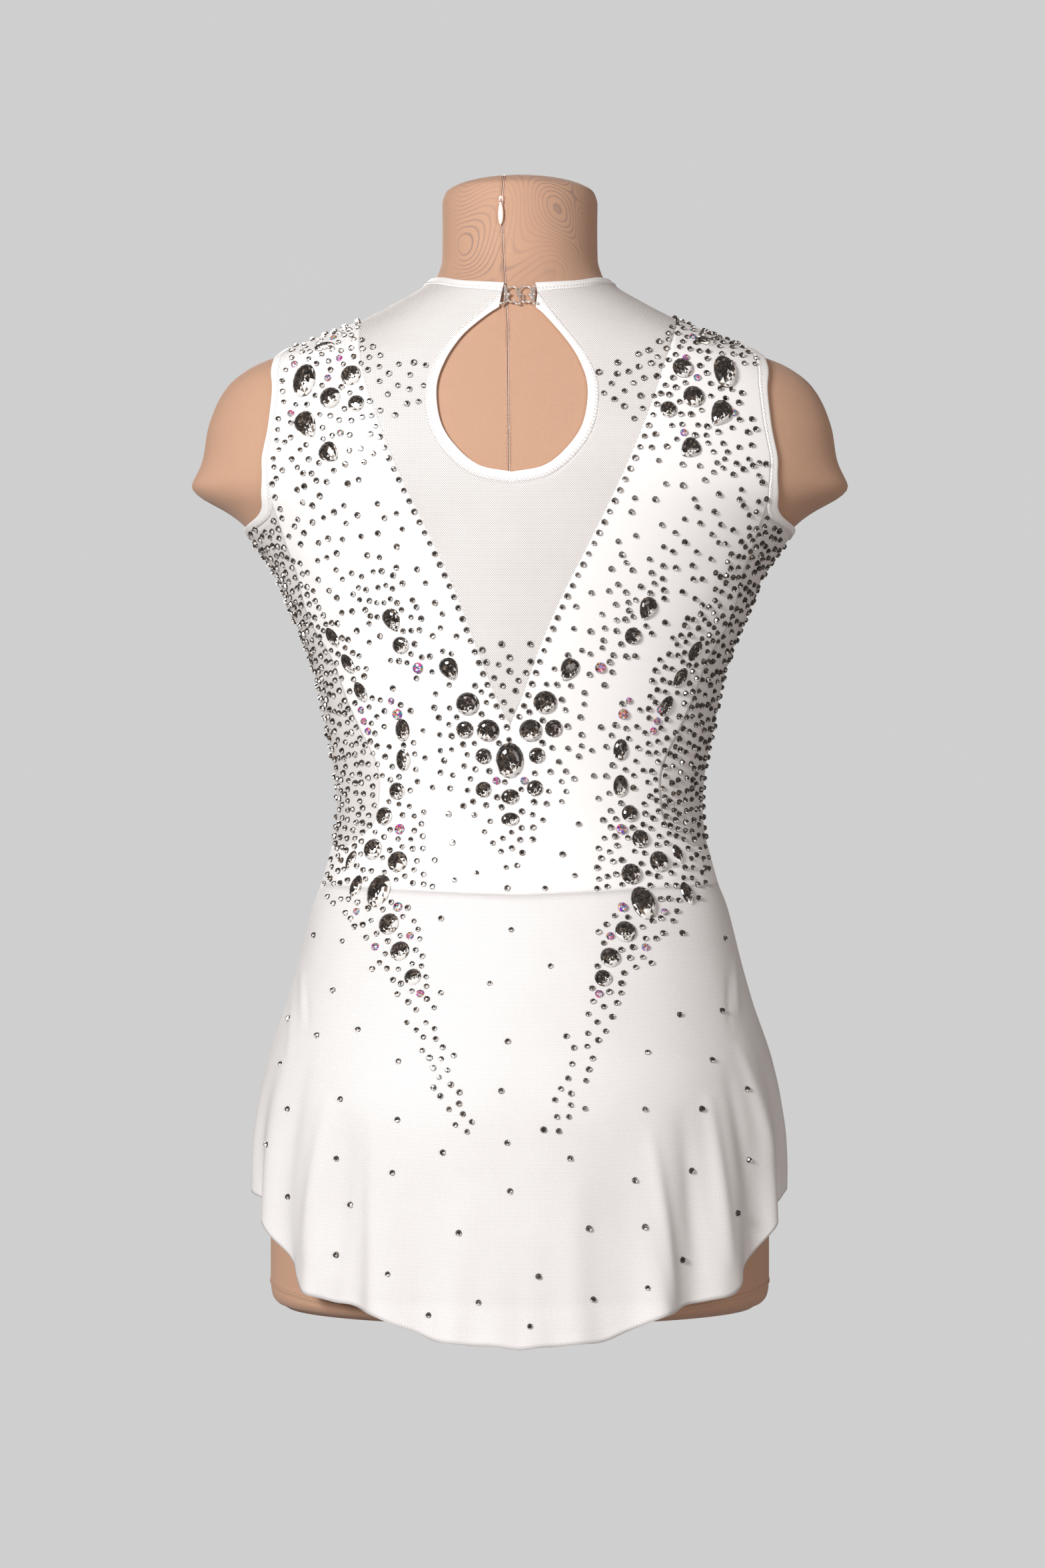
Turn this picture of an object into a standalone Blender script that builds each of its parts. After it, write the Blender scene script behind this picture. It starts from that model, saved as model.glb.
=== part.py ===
"""Rhythmic gymnastics leotard worn by a limbless dress form.

The form's skin is a loft of ellipses. Every piece of cloth is a wall that follows the same skin,
moved out, so panels, bindings, brief and skirt keep their places on each other.

Directions: +Z up, +Y the wearer's back, +X the wearer's left. Tables are in millimetres and degrees.
A point of the skin is named by its turn and its height: turn 0 is the wearer's left side, 90 the
centre back, 180 the right side and -90 the centre front. The origin is under the foot's centre.
"""

import math

import bmesh
import bpy
import numpy as np
from mathutils import Matrix, Vector

MM = 0.001

# Clearances and walls
SKIN_INSET = 1.4
CLOTH_GAP = 0.6
SEAM_GAP = 0.32
CLOTH_WALL = 1.4
BINDING_WALL = 2.0

# Cut sizes
ARMHOLE_BINDING_WIDTH = 6.0
KEYHOLE_BINDING_WIDTH = 8.0
NECK_BINDING_WIDTH = 7.5
BACK_SHIFT = 2.0
SHOULDER_FADE = 40.0
STRAP_SPLIT = 640.0
HIP_LEVEL = 34.0
FLUTE_TROUGH = 0.22
SIDE_PANEL_FOOT = 345.0
SKIRT_GAP = 2.8
CLASP_END_TURN = 82.0

# Foot under the form
FOOT_HALF_WIDTH = 72.0
FOOT_HALF_DEPTH = 50.0
FOOT_HEIGHT = 14.7

# Mesh steps
CURVE_STEPS = 12
FORM_COLUMNS = 28
STRAP_ROWS = 8
STRAP_COLUMNS = 7
SIDE_ROWS = 11
TIP_ROW = {1.0: 4, -1.0: 8}
SIDE_TOP_STEPS = 5
KEYHOLE_STEPS = 11
YOKE_NECK_STEPS = 4
YOKE_COLUMNS = 4
NECK_FRONT_STEPS = 12
BAND_COLUMNS = 1
HIP_ROWS = 2
HIP_CORNER_STEPS = 3
BRIEF_ROWS = 8
SKIRT_COLUMNS = 42
SKIRT_ROWS = 7
BRIEF_COLUMNS = 18

# The form's sections
SECTION_COLUMNS = ("height", "half_width", "back", "front")
SECTIONS = (
    (15.0, 168.0, 96.0, 92.0),
    (18.0, 175.0, 104.0, 100.0),
    (24.0, 179.0, 108.5, 104.5),
    (34.0, 180.3, 110.0, 106.0),
    (62.0, 180.3, 113.0, 108.0),
    (90.0, 180.3, 116.0, 110.0),
    (138.0, 178.0, 121.0, 113.0),
    (162.0, 174.8, 122.0, 114.0),
    (185.0, 170.5, 121.0, 114.0),
    (210.0, 165.5, 118.0, 113.0),
    (234.0, 160.0, 113.0, 112.0),
    (260.0, 154.0, 105.0, 110.0),
    (290.0, 147.5, 95.0, 107.0),
    (319.0, 140.5, 87.0, 102.0),
    (337.0, 135.5, 83.0, 98.0),
    (356.0, 131.0, 79.5, 95.0),
    (374.0, 129.7, 77.5, 93.0),
    (392.0, 130.7, 77.5, 92.0),
    (411.0, 133.5, 79.0, 92.0),
    (429.0, 137.4, 81.5, 92.5),
    (457.0, 142.7, 85.5, 94.0),
    (488.0, 151.7, 89.5, 100.0),
    (512.0, 162.0, 92.5, 103.5),
    (541.0, 174.0, 95.5, 104.5),
    (558.0, 185.5, 96.5, 103.2),
    (573.0, 197.0, 97.2, 101.0),
    (584.0, 207.5, 97.8, 98.8),
    (595.0, 219.0, 98.4, 96.3),
    (606.0, 226.0, 98.8, 93.8),
    (618.0, 228.5, 99.0, 91.0),
    (640.0, 226.5, 98.0, 87.0),
    (656.0, 222.0, 96.8, 84.0),
    (676.0, 211.0, 94.0, 78.0),
    (690.0, 193.0, 91.0, 73.0),
    (701.5, 162.0, 88.0, 69.0),
    (711.0, 137.0, 85.0, 65.5),
    (721.0, 112.8, 81.5, 62.0),
    (735.0, 85.5, 75.5, 60.0),
    (742.5, 72.5, 70.8, 59.1),
    (750.0, 63.5, 66.5, 58.5),
    (758.0, 59.3, 62.3, 57.8),
    (767.0, 57.1, 59.5, 57.0),
    (790.0, 56.8, 57.5, 56.5),
    (806.0, 57.0, 57.0, 56.0),
    (815.0, 54.5, 54.5, 53.5),
    (820.0, 47.0, 47.0, 46.0),
    (824.0, 33.0, 33.0, 32.0),
    (826.5, 14.0, 14.0, 13.5),
)

# Soft rises of the figure, each on both sides of the body
RISE_COLUMNS = ("turn", "height", "turn_spread", "height_spread", "rise")
RISES = (
    (-60.0, 527.0, 27.0, 50.0, 5.5),
    (0.0, 600.0, 22.0, 14.0, 13.0),
    (60.0, 606.0, 22.0, 46.0, 3.5),
    (60.0, 190.0, 26.0, 46.0, 6.0),
)

# The garment's centre line on the back wanders off the form's by this much
LEAN_COLUMNS = ("height", "shift")
LEANS = (
    (300.0, 6.5),
    (430.0, 6.5),
    (480.0, 7.5),
    (560.0, 5.5),
    (700.0, 5.0),
    (732.0, 0.5),
    (760.0, 0.0),
)

# Garment edge round the arm, back half from shoulder to underarm
ARMHOLE_COLUMNS = ("turn", "height")
ARMHOLE = (
    (0.0, 702.0),
    (22.0, 694.0),
    (35.0, 674.0),
    (39.0, 648.0),
    (38.5, 622.0),
    (36.5, 600.0),
    (26.0, 581.0),
    (0.0, 571.0),
)
ARMHOLE_CORNER = 5

# Keyhole opening, half, from the clasp down to its lowest point
KEYHOLE_COLUMNS = ("across", "height")
KEYHOLE = (
    (12.6, 721.5),
    (20.8, 715.3),
    (35.1, 700.9),
    (46.2, 683.8),
    (51.8, 664.9),
    (48.6, 641.0),
    (37.9, 623.8),
    (22.0, 610.8),
    (0.0, 606.2),
)

# Edge of the V between sheer yoke and opaque panel, half, from the shoulder down to the tip
V_COLUMNS = ("across", "height")
V_BACK = (
    (113.0, 721.0),
    (107.5, 690.0),
    (97.3, 657.0),
    (79.0, 613.0),
    (57.8, 566.0),
    (37.0, 522.0),
    (23.1, 488.0),
    (9.2, 451.0),
    (0.0, 431.0),
)
V_FRONT = (
    (113.0, 721.0),
    (104.0, 690.0),
    (92.0, 660.0),
    (73.0, 625.0),
    (50.0, 597.0),
    (25.0, 578.0),
    (0.0, 570.0),
)

# Edge between opaque panel and sheer side panel, from below the waist up to the armhole
SIDE_COLUMNS = ("turn", "height")
SIDE_EDGE = (
    (24.0, 345.0),
    (37.5, 360.0),
    (40.5, 378.0),
    (41.0, 402.0),
    (35.0, 431.0),
    (30.5, 452.0),
    (27.5, 478.0),
    (22.0, 507.0),
    (26.0, 545.0),
    (32.0, 575.0),
    (36.5, 600.0),
)

# Top edge of the neck binding
NECK_COLUMNS = ("turn", "height")
NECK_EDGE = (
    (-90.0, 735.0),
    (-60.0, 739.0),
    (-30.0, 747.0),
    (0.0, 750.5),
    (30.0, 748.5),
    (60.0, 742.5),
    (90.0, 739.0),
)

# Waist seam, hem of the skirt and leg edge of the brief
SEAM_COLUMNS = ("turn", "height")
WAIST_SEAM = ((0.0, 319.0), (45.0, 316.5), (90.0, 312.5))
HEM_BACK = (
    (0.0, 107.0),
    (15.0, 98.0),
    (26.0, 81.0),
    (36.0, 54.0),
    (44.0, 37.0),
    (63.0, 25.0),
    (75.0, 8.5),
    (90.0, 4.0),
)
HEM_FRONT = ((0.0, 107.0), (30.0, 92.0), (60.0, 74.0), (90.0, 68.0))
LEG_BACK = (
    (0.0, 190.0),
    (15.0, 150.0),
    (30.0, 106.0),
    (45.0, 75.0),
    (57.0, 58.0),
    (66.0, 49.5),
    (90.0, 49.0),
)
LEG_FRONT = (
    (0.0, 190.0),
    (20.0, 166.0),
    (42.0, 128.0),
    (60.0, 86.0),
    (74.0, 50.0),
    (90.0, 49.0),
)

# How far the skirt stands off the hips, by the drop below the waist seam
FLARE_COLUMNS = ("drop", "side", "centre")
FLARES = (
    (0.0, 0.0, 0.0),
    (45.0, 1.2, 2.5),
    (85.0, 3.2, 7.0),
    (130.0, 9.0, 13.0),
    (210.0, 13.0, 21.0),
    (315.0, 15.0, 31.0),
)

# Flutes of the skirt, each on both sides: crest turn, drop where it starts, spread, rise at the hem
FLUTE_COLUMNS = ("turn", "start_drop", "spread", "rise")
FLUTES_BACK = (
    (12.0, 120.0, 4.6, 6.0),
    (27.0, 95.0, 5.0, 9.5),
    (45.5, 140.0, 5.2, 10.5),
    (63.5, 150.0, 5.6, 10.0),
    (82.0, 190.0, 7.0, 3.0),
)
FLUTES_FRONT = (
    (14.0, 110.0, 4.8, 6.5),
    (31.0, 90.0, 5.4, 9.5),
    (49.0, 120.0, 5.6, 10.0),
    (69.0, 130.0, 6.0, 9.0),
    (90.0, 120.0, 6.0, 6.0),
)

# Large stones in pairs. across and height of the left and of the right one, tilt of its long axis
PAIR_COLUMNS = (
    "cut", "length", "width", "left_across", "left_height", "right_across", "right_height", "tilt",
)
BODICE_PAIRS = (
    ("oval", 25.0, 17.5, 150.0, 672.0, 143.0, 678.0, 0.0),
    ("oval", 16.0, 10.0, 137.0, 696.0, 130.0, 700.0, 80.0),
    ("round", 15.0, 15.0, 117.0, 674.5, 113.0, 679.5, 0.0),
    ("round", 15.5, 15.5, 131.0, 659.0, 120.0, 659.5, 0.0),
    ("round", 12.0, 12.0, 112.5, 654.5, 102.0, 650.0, 0.0),
    ("drop", 20.5, 15.0, 147.0, 640.5, 138.5, 648.0, -35.0),
    ("drop", 15.5, 13.5, 129.5, 620.5, 115.5, 623.0, -50.0),
    ("drop", 17.0, 12.5, 88.5, 504.5, 88.5, 512.5, -20.0),
    ("round", 12.5, 12.5, 82.5, 487.0, 78.5, 493.5, 0.0),
    ("drop", 17.0, 12.5, 48.5, 470.0, 34.0, 469.5, -25.0),
    ("navette", 16.0, 10.0, 131.0, 494.0, 122.5, 484.0, -32.0),
    ("navette", 16.0, 10.0, 120.0, 475.0, 112.0, 465.0, -32.0),
    ("navette", 16.0, 10.0, 111.0, 455.0, 102.0, 445.0, -28.0),
    ("oval", 16.0, 11.0, 81.5, 428.0, 70.0, 414.0, 0.0),
    ("oval", 16.0, 11.0, 81.0, 407.0, 70.0, 388.5, 0.0),
    ("round", 12.5, 12.5, 85.5, 385.0, 76.5, 369.0, 0.0),
    ("round", 13.5, 13.5, 94.5, 367.0, 84.0, 351.0, 0.0),
    ("round", 15.5, 15.5, 102.5, 343.5, 97.0, 335.0, 0.0),
    ("round", 15.5, 15.5, 85.0, 335.0, 77.5, 326.5, 0.0),
    ("navette", 15.0, 8.5, 118.0, 335.5, 110.5, 340.0, 20.0),
)
BODICE_CENTRE = (
    ("round", 16.5, 16.5, 36.0, 446.0, 17.5, 447.0, 0.0),
    ("round", 16.0, 16.0, 22.0, 427.5, 7.5, 427.5, 0.0),
    ("round", 12.5, 12.5, 38.0, 428.0, 23.5, 429.0, 0.0),
    ("round", 11.5, 11.5, 25.0, 409.5, 12.0, 410.0, 0.0),
    ("round", 11.5, 11.5, 25.0, 386.0, 10.5, 387.0, 0.0),
)
CENTRE_COLUMNS = ("cut", "length", "width", "across", "height", "tilt")
BODICE_LINE = (
    ("oval", 25.5, 19.5, 7.0, 406.5, 0.0),
    ("oval", 13.0, 11.0, 6.5, 381.0, 90.0),
    ("oval", 13.0, 10.0, 6.5, 365.0, 90.0),
)
SKIRT_PAIRS = (
    ("oval", 25.0, 18.5, 97.5, 314.5, 84.5, 306.5, 10.0),
    ("navette", 18.0, 10.5, 114.0, 317.0, 116.0, 312.5, 10.0),
    ("round", 15.5, 15.5, 88.0, 292.0, 70.5, 287.0, 0.0),
    ("round", 14.5, 14.5, 79.5, 273.5, 59.5, 269.5, 0.0),
    ("round", 12.5, 12.5, 69.5, 256.0, 54.0, 255.5, 0.0),
)
STONE_SINK = 1.1
STONE_SIDES = 6
LARGE_STONE_SIDES = 8
LARGE_STONE = 15.0
STONE_TABLE = 0.56

# Zip of the form's cover
ZIP_TURN = 76.6
ZIP_HEIGHT = 801.0
ZIP_GAP = 0.15
SLIDER_WIDTH = 3.6
SLIDER_LENGTH = 7.0
SLIDER_WALL = 1.6
BAIL_WIRE = 0.7
BAIL_WINDOW = 1.5
BAIL_REACH = 3.2
PULL_BAR = 0.7
PULL_EYE_WIDTH = 3.2
PULL_EYE_LENGTH = 2.6
PULL_LENGTH = 18.5
PULL_WIDTH = 4.3
PULL_WALL = 0.9

# Clasp at the neck
CLASP_HEIGHT = 731.0
CLASP_LOOP_RADIUS = 4.2
CLASP_WIRE = 0.75
CLASP_BAR_LENGTH = 16.0
CLASP_HALF_WIDTH = 11.1
CLASP_TAB_WIDTH = 2.4
CLASP_TAB_REACH = 11.9
CLASP_OUT = 1.0

# Finishes: base colour, roughness, metallic
FINISHES = {
    "knit": ((0.72, 0.47, 0.33), 0.85, 0.0),
    "lycra": ((0.93, 0.93, 0.93), 0.45, 0.0),
    "mesh": ((0.90, 0.88, 0.87), 0.6, 0.0),
    "elastic": ((0.95, 0.95, 0.95), 0.5, 0.0),
    "zip": ((0.80, 0.60, 0.48), 0.35, 0.2),
    "metal": ((0.78, 0.72, 0.68), 0.25, 1.0),
    "plinth": ((0.35, 0.28, 0.23), 0.6, 0.0),
}


def column(table, columns, name):
    """One named column of a table, as an array."""
    return np.array([row[columns.index(name)] for row in table], dtype=float)


def smooth(at, knots, values):
    """Monotone cubic reading of a table."""
    at = np.clip(np.asarray(at, dtype=float), knots[0], knots[-1])
    width = np.diff(knots)
    slope = np.diff(values) / width
    tangent = np.zeros_like(values, dtype=float)
    product = slope[:-1] * slope[1:]
    weight_a = 2.0 * width[1:] + width[:-1]
    weight_b = width[1:] + 2.0 * width[:-1]
    safe = np.where(product > 0.0, product, 1.0)
    harmonic = (weight_a + weight_b) * safe / (weight_a * slope[1:] + weight_b * slope[:-1] + (product <= 0.0))
    tangent[1:-1] = np.where(product > 0.0, harmonic, 0.0)
    tangent[0] = slope[0]
    tangent[-1] = slope[-1]
    index = np.clip(np.searchsorted(knots, at, side="right") - 1, 0, len(width) - 1)
    u = (at - knots[index]) / width[index]
    rise = width[index]
    return (
        (2 * u**3 - 3 * u**2 + 1) * values[index]
        + (u**3 - 2 * u**2 + u) * rise * tangent[index]
        + (3 * u**2 - 2 * u**3) * values[index + 1]
        + (u**3 - u**2) * rise * tangent[index + 1]
    )


def read(table, columns, key, name, at):
    """Smooth reading of one column of a table against another."""
    return smooth(at, column(table, columns, key), column(table, columns, name))


def mirrored(turn):
    """Turn of the same place on the body's other side."""
    return 180.0 - turn


def skin(turn, height, offset=0.0):
    """Points of the skin in millimetres, moved out along its normal by an offset."""
    turn, height, offset = np.broadcast_arrays(
        np.asarray(turn, float), np.asarray(height, float), np.asarray(offset, float)
    )
    base = bare_skin(turn, height)
    step = 0.4
    across = bare_skin(turn + step, height) - bare_skin(turn - step, height)
    up = bare_skin(turn, height + step) - bare_skin(turn, height - step)
    normal = np.cross(across, up)
    normal /= np.linalg.norm(normal, axis=-1, keepdims=True)
    return base + normal * offset[..., None]


def bare_skin(turn, height):
    """Ellipse of the section at a height, with the figure's rises."""
    half_width = section_width(height)
    back = read(SECTIONS, SECTION_COLUMNS, "height", "back", height)
    front = read(SECTIONS, SECTION_COLUMNS, "height", "front", height)
    angle = np.radians(turn)
    depth = np.where(np.sin(angle) >= 0.0, back, front)
    x = half_width * np.cos(angle)
    y = depth * np.sin(angle)
    reach = np.hypot(x, y)
    growth = np.zeros_like(reach)
    for rise_turn, rise_height, turn_spread, height_spread, rise in RISES:
        for centre in (rise_turn, mirrored(rise_turn)):
            away = (turn - centre + 180.0) % 360.0 - 180.0
            growth += rise * np.exp(-((away / turn_spread) ** 2) - ((height - rise_height) / height_spread) ** 2)
    scale = 1.0 + growth / np.maximum(reach, 1.0)
    return np.stack([x * scale, y * scale + BACK_SHIFT, height + 0.0 * x], axis=-1)


def section_width(height):
    """Half width of the section at a height."""
    return read(SECTIONS, SECTION_COLUMNS, "height", "half_width", height)


def turn_at(across, height, face):
    """Turn of a point at a signed distance from the form's centre line, seen square on."""
    turn = np.degrees(np.arccos(np.clip(across / section_width(height), -1.0, 1.0)))
    return turn * face


def lean(height):
    """Sideways shift of the garment's centre line on the back."""
    return read(LEANS, LEAN_COLUMNS, "height", "shift", height)


def curve_through(points):
    """Fine Catmull-Rom curve through table points."""
    points = np.asarray(points, float)
    padded = np.vstack([2 * points[0] - points[1], points, 2 * points[-1] - points[-2]])
    at = np.linspace(0.0, len(points) - 1, CURVE_STEPS * (len(points) - 1) + 1)
    index = np.minimum(at.astype(int), len(points) - 2)
    u = (at - index)[:, None]
    p0, p1, p2, p3 = (padded[index + k] for k in range(4))
    return 0.5 * (
        2 * p1 + (p2 - p0) * u + (2 * p0 - 5 * p1 + 4 * p2 - p3) * u**2 + (3 * p1 - p0 - 3 * p2 + p3) * u**3
    )


def evenly(chart, steps):
    """Points of a fine (turn, height) line at equal lengths along the skin."""
    place = bare_skin(chart[:, 0], chart[:, 1])
    lengths = np.concatenate([[0.0], np.cumsum(np.linalg.norm(np.diff(place, axis=0), axis=1))])
    wanted = np.linspace(0.0, lengths[-1], steps + 1)
    return np.stack([np.interp(wanted, lengths, chart[:, k]) for k in range(2)], axis=1)


def chart_shift(chart, distance, closed):
    """Move a line of (turn, height) points sideways over the skin, to the left of its way along it."""
    turn, height = chart[:, 0], chart[:, 1]
    place = skin(turn, height)
    if closed:
        along = np.roll(place, -1, axis=0) - np.roll(place, 1, axis=0)
    else:
        along = np.gradient(place, axis=0)
    step = 0.4
    by_turn = (skin(turn + step, height) - skin(turn - step, height)) / (2 * step)
    by_height = (skin(turn, height + step) - skin(turn, height - step)) / (2 * step)
    normal = np.cross(by_turn, by_height)
    sideways = np.cross(normal, along)
    sideways *= distance / np.linalg.norm(sideways, axis=1, keepdims=True)
    d_turn = (sideways * by_turn).sum(1) / (by_turn**2).sum(1)
    d_height = (sideways * by_height).sum(1) / (by_height**2).sum(1)
    return np.stack([turn + d_turn, height + d_height], axis=1)


def ruled(edge_a, edge_b, steps):
    """Grid of (turn, height) points between two edges with the same number of points."""
    share = np.linspace(0.0, 1.0, steps + 1)[None, :, None]
    return edge_a[:, None, :] * (1.0 - share) + edge_b[:, None, :] * share


def faced(chart, face, right):
    """Put a chart of the left back on another quarter of the body."""
    result = np.array(chart, float)
    if right:
        result[..., 0] = mirrored(result[..., 0])
    result[..., 0] *= face
    return result


def drawn_in(grid, sides):
    """Pull the named borders of a grid of points in by the seam gap."""
    grid = grid.copy()
    for side in sides:
        view = {"low": grid, "high": grid[::-1], "first": grid.swapaxes(0, 1), "last": grid.swapaxes(0, 1)[::-1]}[side]
        inward = view[1] - view[0]
        inward /= np.maximum(np.linalg.norm(inward, axis=-1, keepdims=True), 1e-6)
        view[0] += inward * SEAM_GAP
    return grid


def collection(name):
    """A collection linked to the scene."""
    group = bpy.data.collections.new(name)
    bpy.context.scene.collection.children.link(group)
    return group


def finish(name, kind):
    """One Principled material for a sub-part."""
    colour, roughness, metallic = FINISHES[kind]
    material = bpy.data.materials.new(name)
    material.use_nodes = True
    shader = material.node_tree.nodes["Principled BSDF"]
    shader.inputs["Base Color"].default_value = (*colour, 1.0)
    shader.inputs["Roughness"].default_value = roughness
    shader.inputs["Metallic"].default_value = metallic
    material.diffuse_color = (*colour, 1.0)
    return material


def add_object(name, mesh, group, kind):
    """Link a mesh as a named piece with its material."""
    thing = bpy.data.objects.new(name, mesh)
    group.objects.link(thing)
    mesh.materials.append(finish(name, kind))
    return thing


def grid_faces(rows, columns, start, wrap):
    """Quads of a grid of points, rows going up and columns going round."""
    faces = []
    last = columns if wrap else columns - 1
    for row in range(rows - 1):
        for step in range(last):
            here = start + row * columns + step
            there = start + row * columns + (step + 1) % columns
            faces.append((here, there, there + columns, here + columns))
    return faces


def grids_mesh(name, grids):
    """One open mesh from grids of millimetre points that share their meeting rows."""
    points, faces = [], []
    for grid in grids:
        rows, columns = grid.shape[:2]
        quads = grid_faces(rows, columns, len(points), False)
        middle = grid[rows // 2, columns // 2]
        across = grid[rows // 2, min(columns // 2 + 1, columns - 1)] - grid[rows // 2, columns // 2 - 1]
        up = grid[min(rows // 2 + 1, rows - 1), columns // 2] - grid[rows // 2 - 1, columns // 2]
        outward = middle - np.array([0.0, BACK_SHIFT, middle[2] - 60.0])
        if np.dot(np.cross(across, up), outward) < 0.0:
            quads = [quad[::-1] for quad in quads]
        points.extend(grid.reshape(-1, 3) * MM)
        faces.extend(quads)
    mesh = bpy.data.meshes.new(name)
    mesh.from_pydata([tuple(point) for point in points], [], faces)
    work = bmesh.new()
    work.from_mesh(mesh)
    bmesh.ops.remove_doubles(work, verts=work.verts, dist=0.02 * MM)
    work.to_mesh(mesh)
    work.free()
    return mesh


def cloth(name, grids, group, kind, wall):
    """A cloth piece: an open surface with a wall grown outwards."""
    piece = add_object(name, grids_mesh(name, grids), group, kind)
    solid = piece.modifiers.new("wall", "SOLIDIFY")
    solid.thickness = wall * MM
    solid.offset = 1.0
    solid.use_even_offset = False
    solid.use_quality_normals = True
    return piece


def armhole_edges():
    """Garment edge round the left arm and the panels' edge beside it, as closed loops."""
    line = curve_through(ARMHOLE)
    back_high = evenly(line[: ARMHOLE_CORNER * CURVE_STEPS + 1], STRAP_ROWS)
    back_low = evenly(line[ARMHOLE_CORNER * CURVE_STEPS:], SIDE_TOP_STEPS)
    back = np.vstack([back_high, back_low[1:]])
    front = back[1:-1][::-1] * (-1.0, 1.0)
    edge = np.vstack([back, front])
    inner = chart_shift(edge, ARMHOLE_BINDING_WIDTH, True)[: len(back)]
    inner[[0, -1], 0] = 0.0
    return edge, np.vstack([inner, inner[1:-1][::-1] * (-1.0, 1.0)])


def side_edge(corner):
    """Edge between opaque and side panel, from its foot up to the armhole's corner."""
    table = [row for row in SIDE_EDGE if row[1] < corner[1] - 12.0]
    return evenly(curve_through([*table, tuple(corner)]), SIDE_ROWS)


def v_edge(face, right):
    """One half of the V's edge as (turn, height), from its tip up to the shoulder."""
    table = V_BACK if face > 0 else V_FRONT
    line = curve_through(table[::-1])
    sign = -1.0 if right else 1.0
    shift = lean(line[:, 1]) if face > 0 else 0.0
    fade = np.clip((V_BACK[0][1] - line[:, 1]) / SHOULDER_FADE, 0.0, 1.0)
    turn = turn_at(sign * line[:, 0] + shift * fade, line[:, 1], face)
    turn[-1] = 180.0 * face if right else 0.0
    chart = np.stack([turn, line[:, 1]], axis=1)
    split = int(np.argmax(line[:, 1] > STRAP_SPLIT))
    low = evenly(chart[: split + 1], SIDE_ROWS - TIP_ROW[face])
    return np.vstack([low, evenly(chart[split:], STRAP_ROWS)[1:]])


def waist_seam(turn):
    """Height of the waist seam, lowest at the centre back and front."""
    fold = 90.0 - np.abs(90.0 - np.abs(turn))
    return read(WAIST_SEAM, SEAM_COLUMNS, "turn", "height", fold)


def neck_top(turn):
    """Height of the neck binding's upper edge."""
    fold = np.degrees(np.arcsin(np.clip(np.sin(np.radians(turn)), -1.0, 1.0)))
    return read(NECK_EDGE, NECK_COLUMNS, "turn", "height", fold)


def neck_low(turn):
    """Height of the neck binding's lower edge, its width away down the skin."""
    height = neck_top(turn)
    steps = 5
    for _ in range(steps):
        slope = (bare_skin(turn, height) - bare_skin(turn, height - 1.0))
        height = height - NECK_BINDING_WIDTH / steps / np.linalg.norm(slope, axis=-1)
    return height


def keyhole_edges():
    """Opening edge and outer edge of the keyhole binding, down its left side and up its right."""
    half = curve_through(KEYHOLE)
    half = evenly(np.stack([turn_at(half[:, 0], half[:, 1], 1.0), half[:, 1]], axis=1), KEYHOLE_STEPS)
    half[:, 0] = section_width(half[:, 1]) * np.cos(np.radians(half[:, 0]))
    shift = lean(half[:, 1])
    left = np.stack([turn_at(half[:, 0] + shift, half[:, 1], 1.0), half[:, 1]], axis=1)
    right = np.stack([turn_at(shift - half[:, 0], half[:, 1], 1.0), half[:, 1]], axis=1)
    edge = np.vstack([left, right[::-1][1:]])
    outer = chart_shift(edge, -KEYHOLE_BINDING_WIDTH, False)
    for index, turn in ((0, CLASP_END_TURN), (-1, mirrored(CLASP_END_TURN))):
        outer[index] = (turn, neck_low(np.array(turn)))
    return edge, outer


def opaque_panel(name, face, loop_in, group):
    """Front or back panel: hip band, waist, both straps and the V notch between them."""
    tip_row = TIP_ROW[face]
    corner = loop_in[STRAP_ROWS]
    side = side_edge(corner)
    armhole = loop_in[: STRAP_ROWS + 1][::-1].copy()
    armhole[-1, 0] = 0.0
    outer = np.vstack([side[tip_row:], armhole[1:]])
    straps = []
    for right in (False, True):
        strap = ruled(faced(outer, face, right), v_edge(face, right), STRAP_COLUMNS)
        straps.append(strap)
    top = np.vstack([straps[0][0], straps[1][0][::-1][1:]])
    even = np.linspace(0.0, 1.0, len(top))
    uneven = (top[:, 0] - top[0, 0]) / (top[-1, 0] - top[0, 0])
    waist = []
    for row in range(tip_row + 1):
        blend = row / tip_row
        left = faced(side[row], face, False)
        right = faced(side[row], face, True)
        share = even * (1.0 - blend) + uneven * blend
        turn = left[0] + (right[0] - left[0]) * share
        height = left[1] + (top[:, 1] - side[tip_row, 1]) * blend
        waist.append(np.stack([turn, height], axis=1))
    waist = np.array(waist)
    corners = np.linspace(0.0, 1.0, HIP_CORNER_STEPS + 1)[:-1]
    hip_turn = np.concatenate([
        face * side[0, 0] * corners, waist[0, :, 0], face * (180.0 - side[0, 0] * corners[::-1]),
    ])
    hips = []
    for row in range(HIP_ROWS + 1):
        blend = row / HIP_ROWS
        height = (waist_seam(hip_turn) + SEAM_GAP) * (1.0 - blend) + SIDE_PANEL_FOOT * blend
        hips.append(np.stack([hip_turn, height], axis=1))
    grids = [skin(chart[..., 0], chart[..., 1], CLOTH_GAP) for chart in (*straps, waist, np.array(hips))]
    grids[0] = drawn_in(grids[0], ("first", "last", "high"))
    grids[1] = drawn_in(grids[1], ("first", "last", "high"))
    grids[2] = drawn_in(grids[2], ("first", "last"))
    grids[3] = drawn_in(grids[3], ("first", "last"))
    middle = STRAP_COLUMNS
    tip = grids[2][-1, middle].copy()
    grids[0][0, 0], grids[1][0, 0] = grids[2][-1, 0], grids[2][-1, -1]
    grids[0][0, -1], grids[1][0, -1] = tip, tip
    grids[3][-1, HIP_CORNER_STEPS: -HIP_CORNER_STEPS] = grids[2][0]
    for corner_part in (grids[3][-1, :HIP_CORNER_STEPS], grids[3][-1, -HIP_CORNER_STEPS:]):
        corner_part[:, 2] -= SEAM_GAP
    return cloth(name, grids, group, "lycra", CLOTH_WALL)


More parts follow.
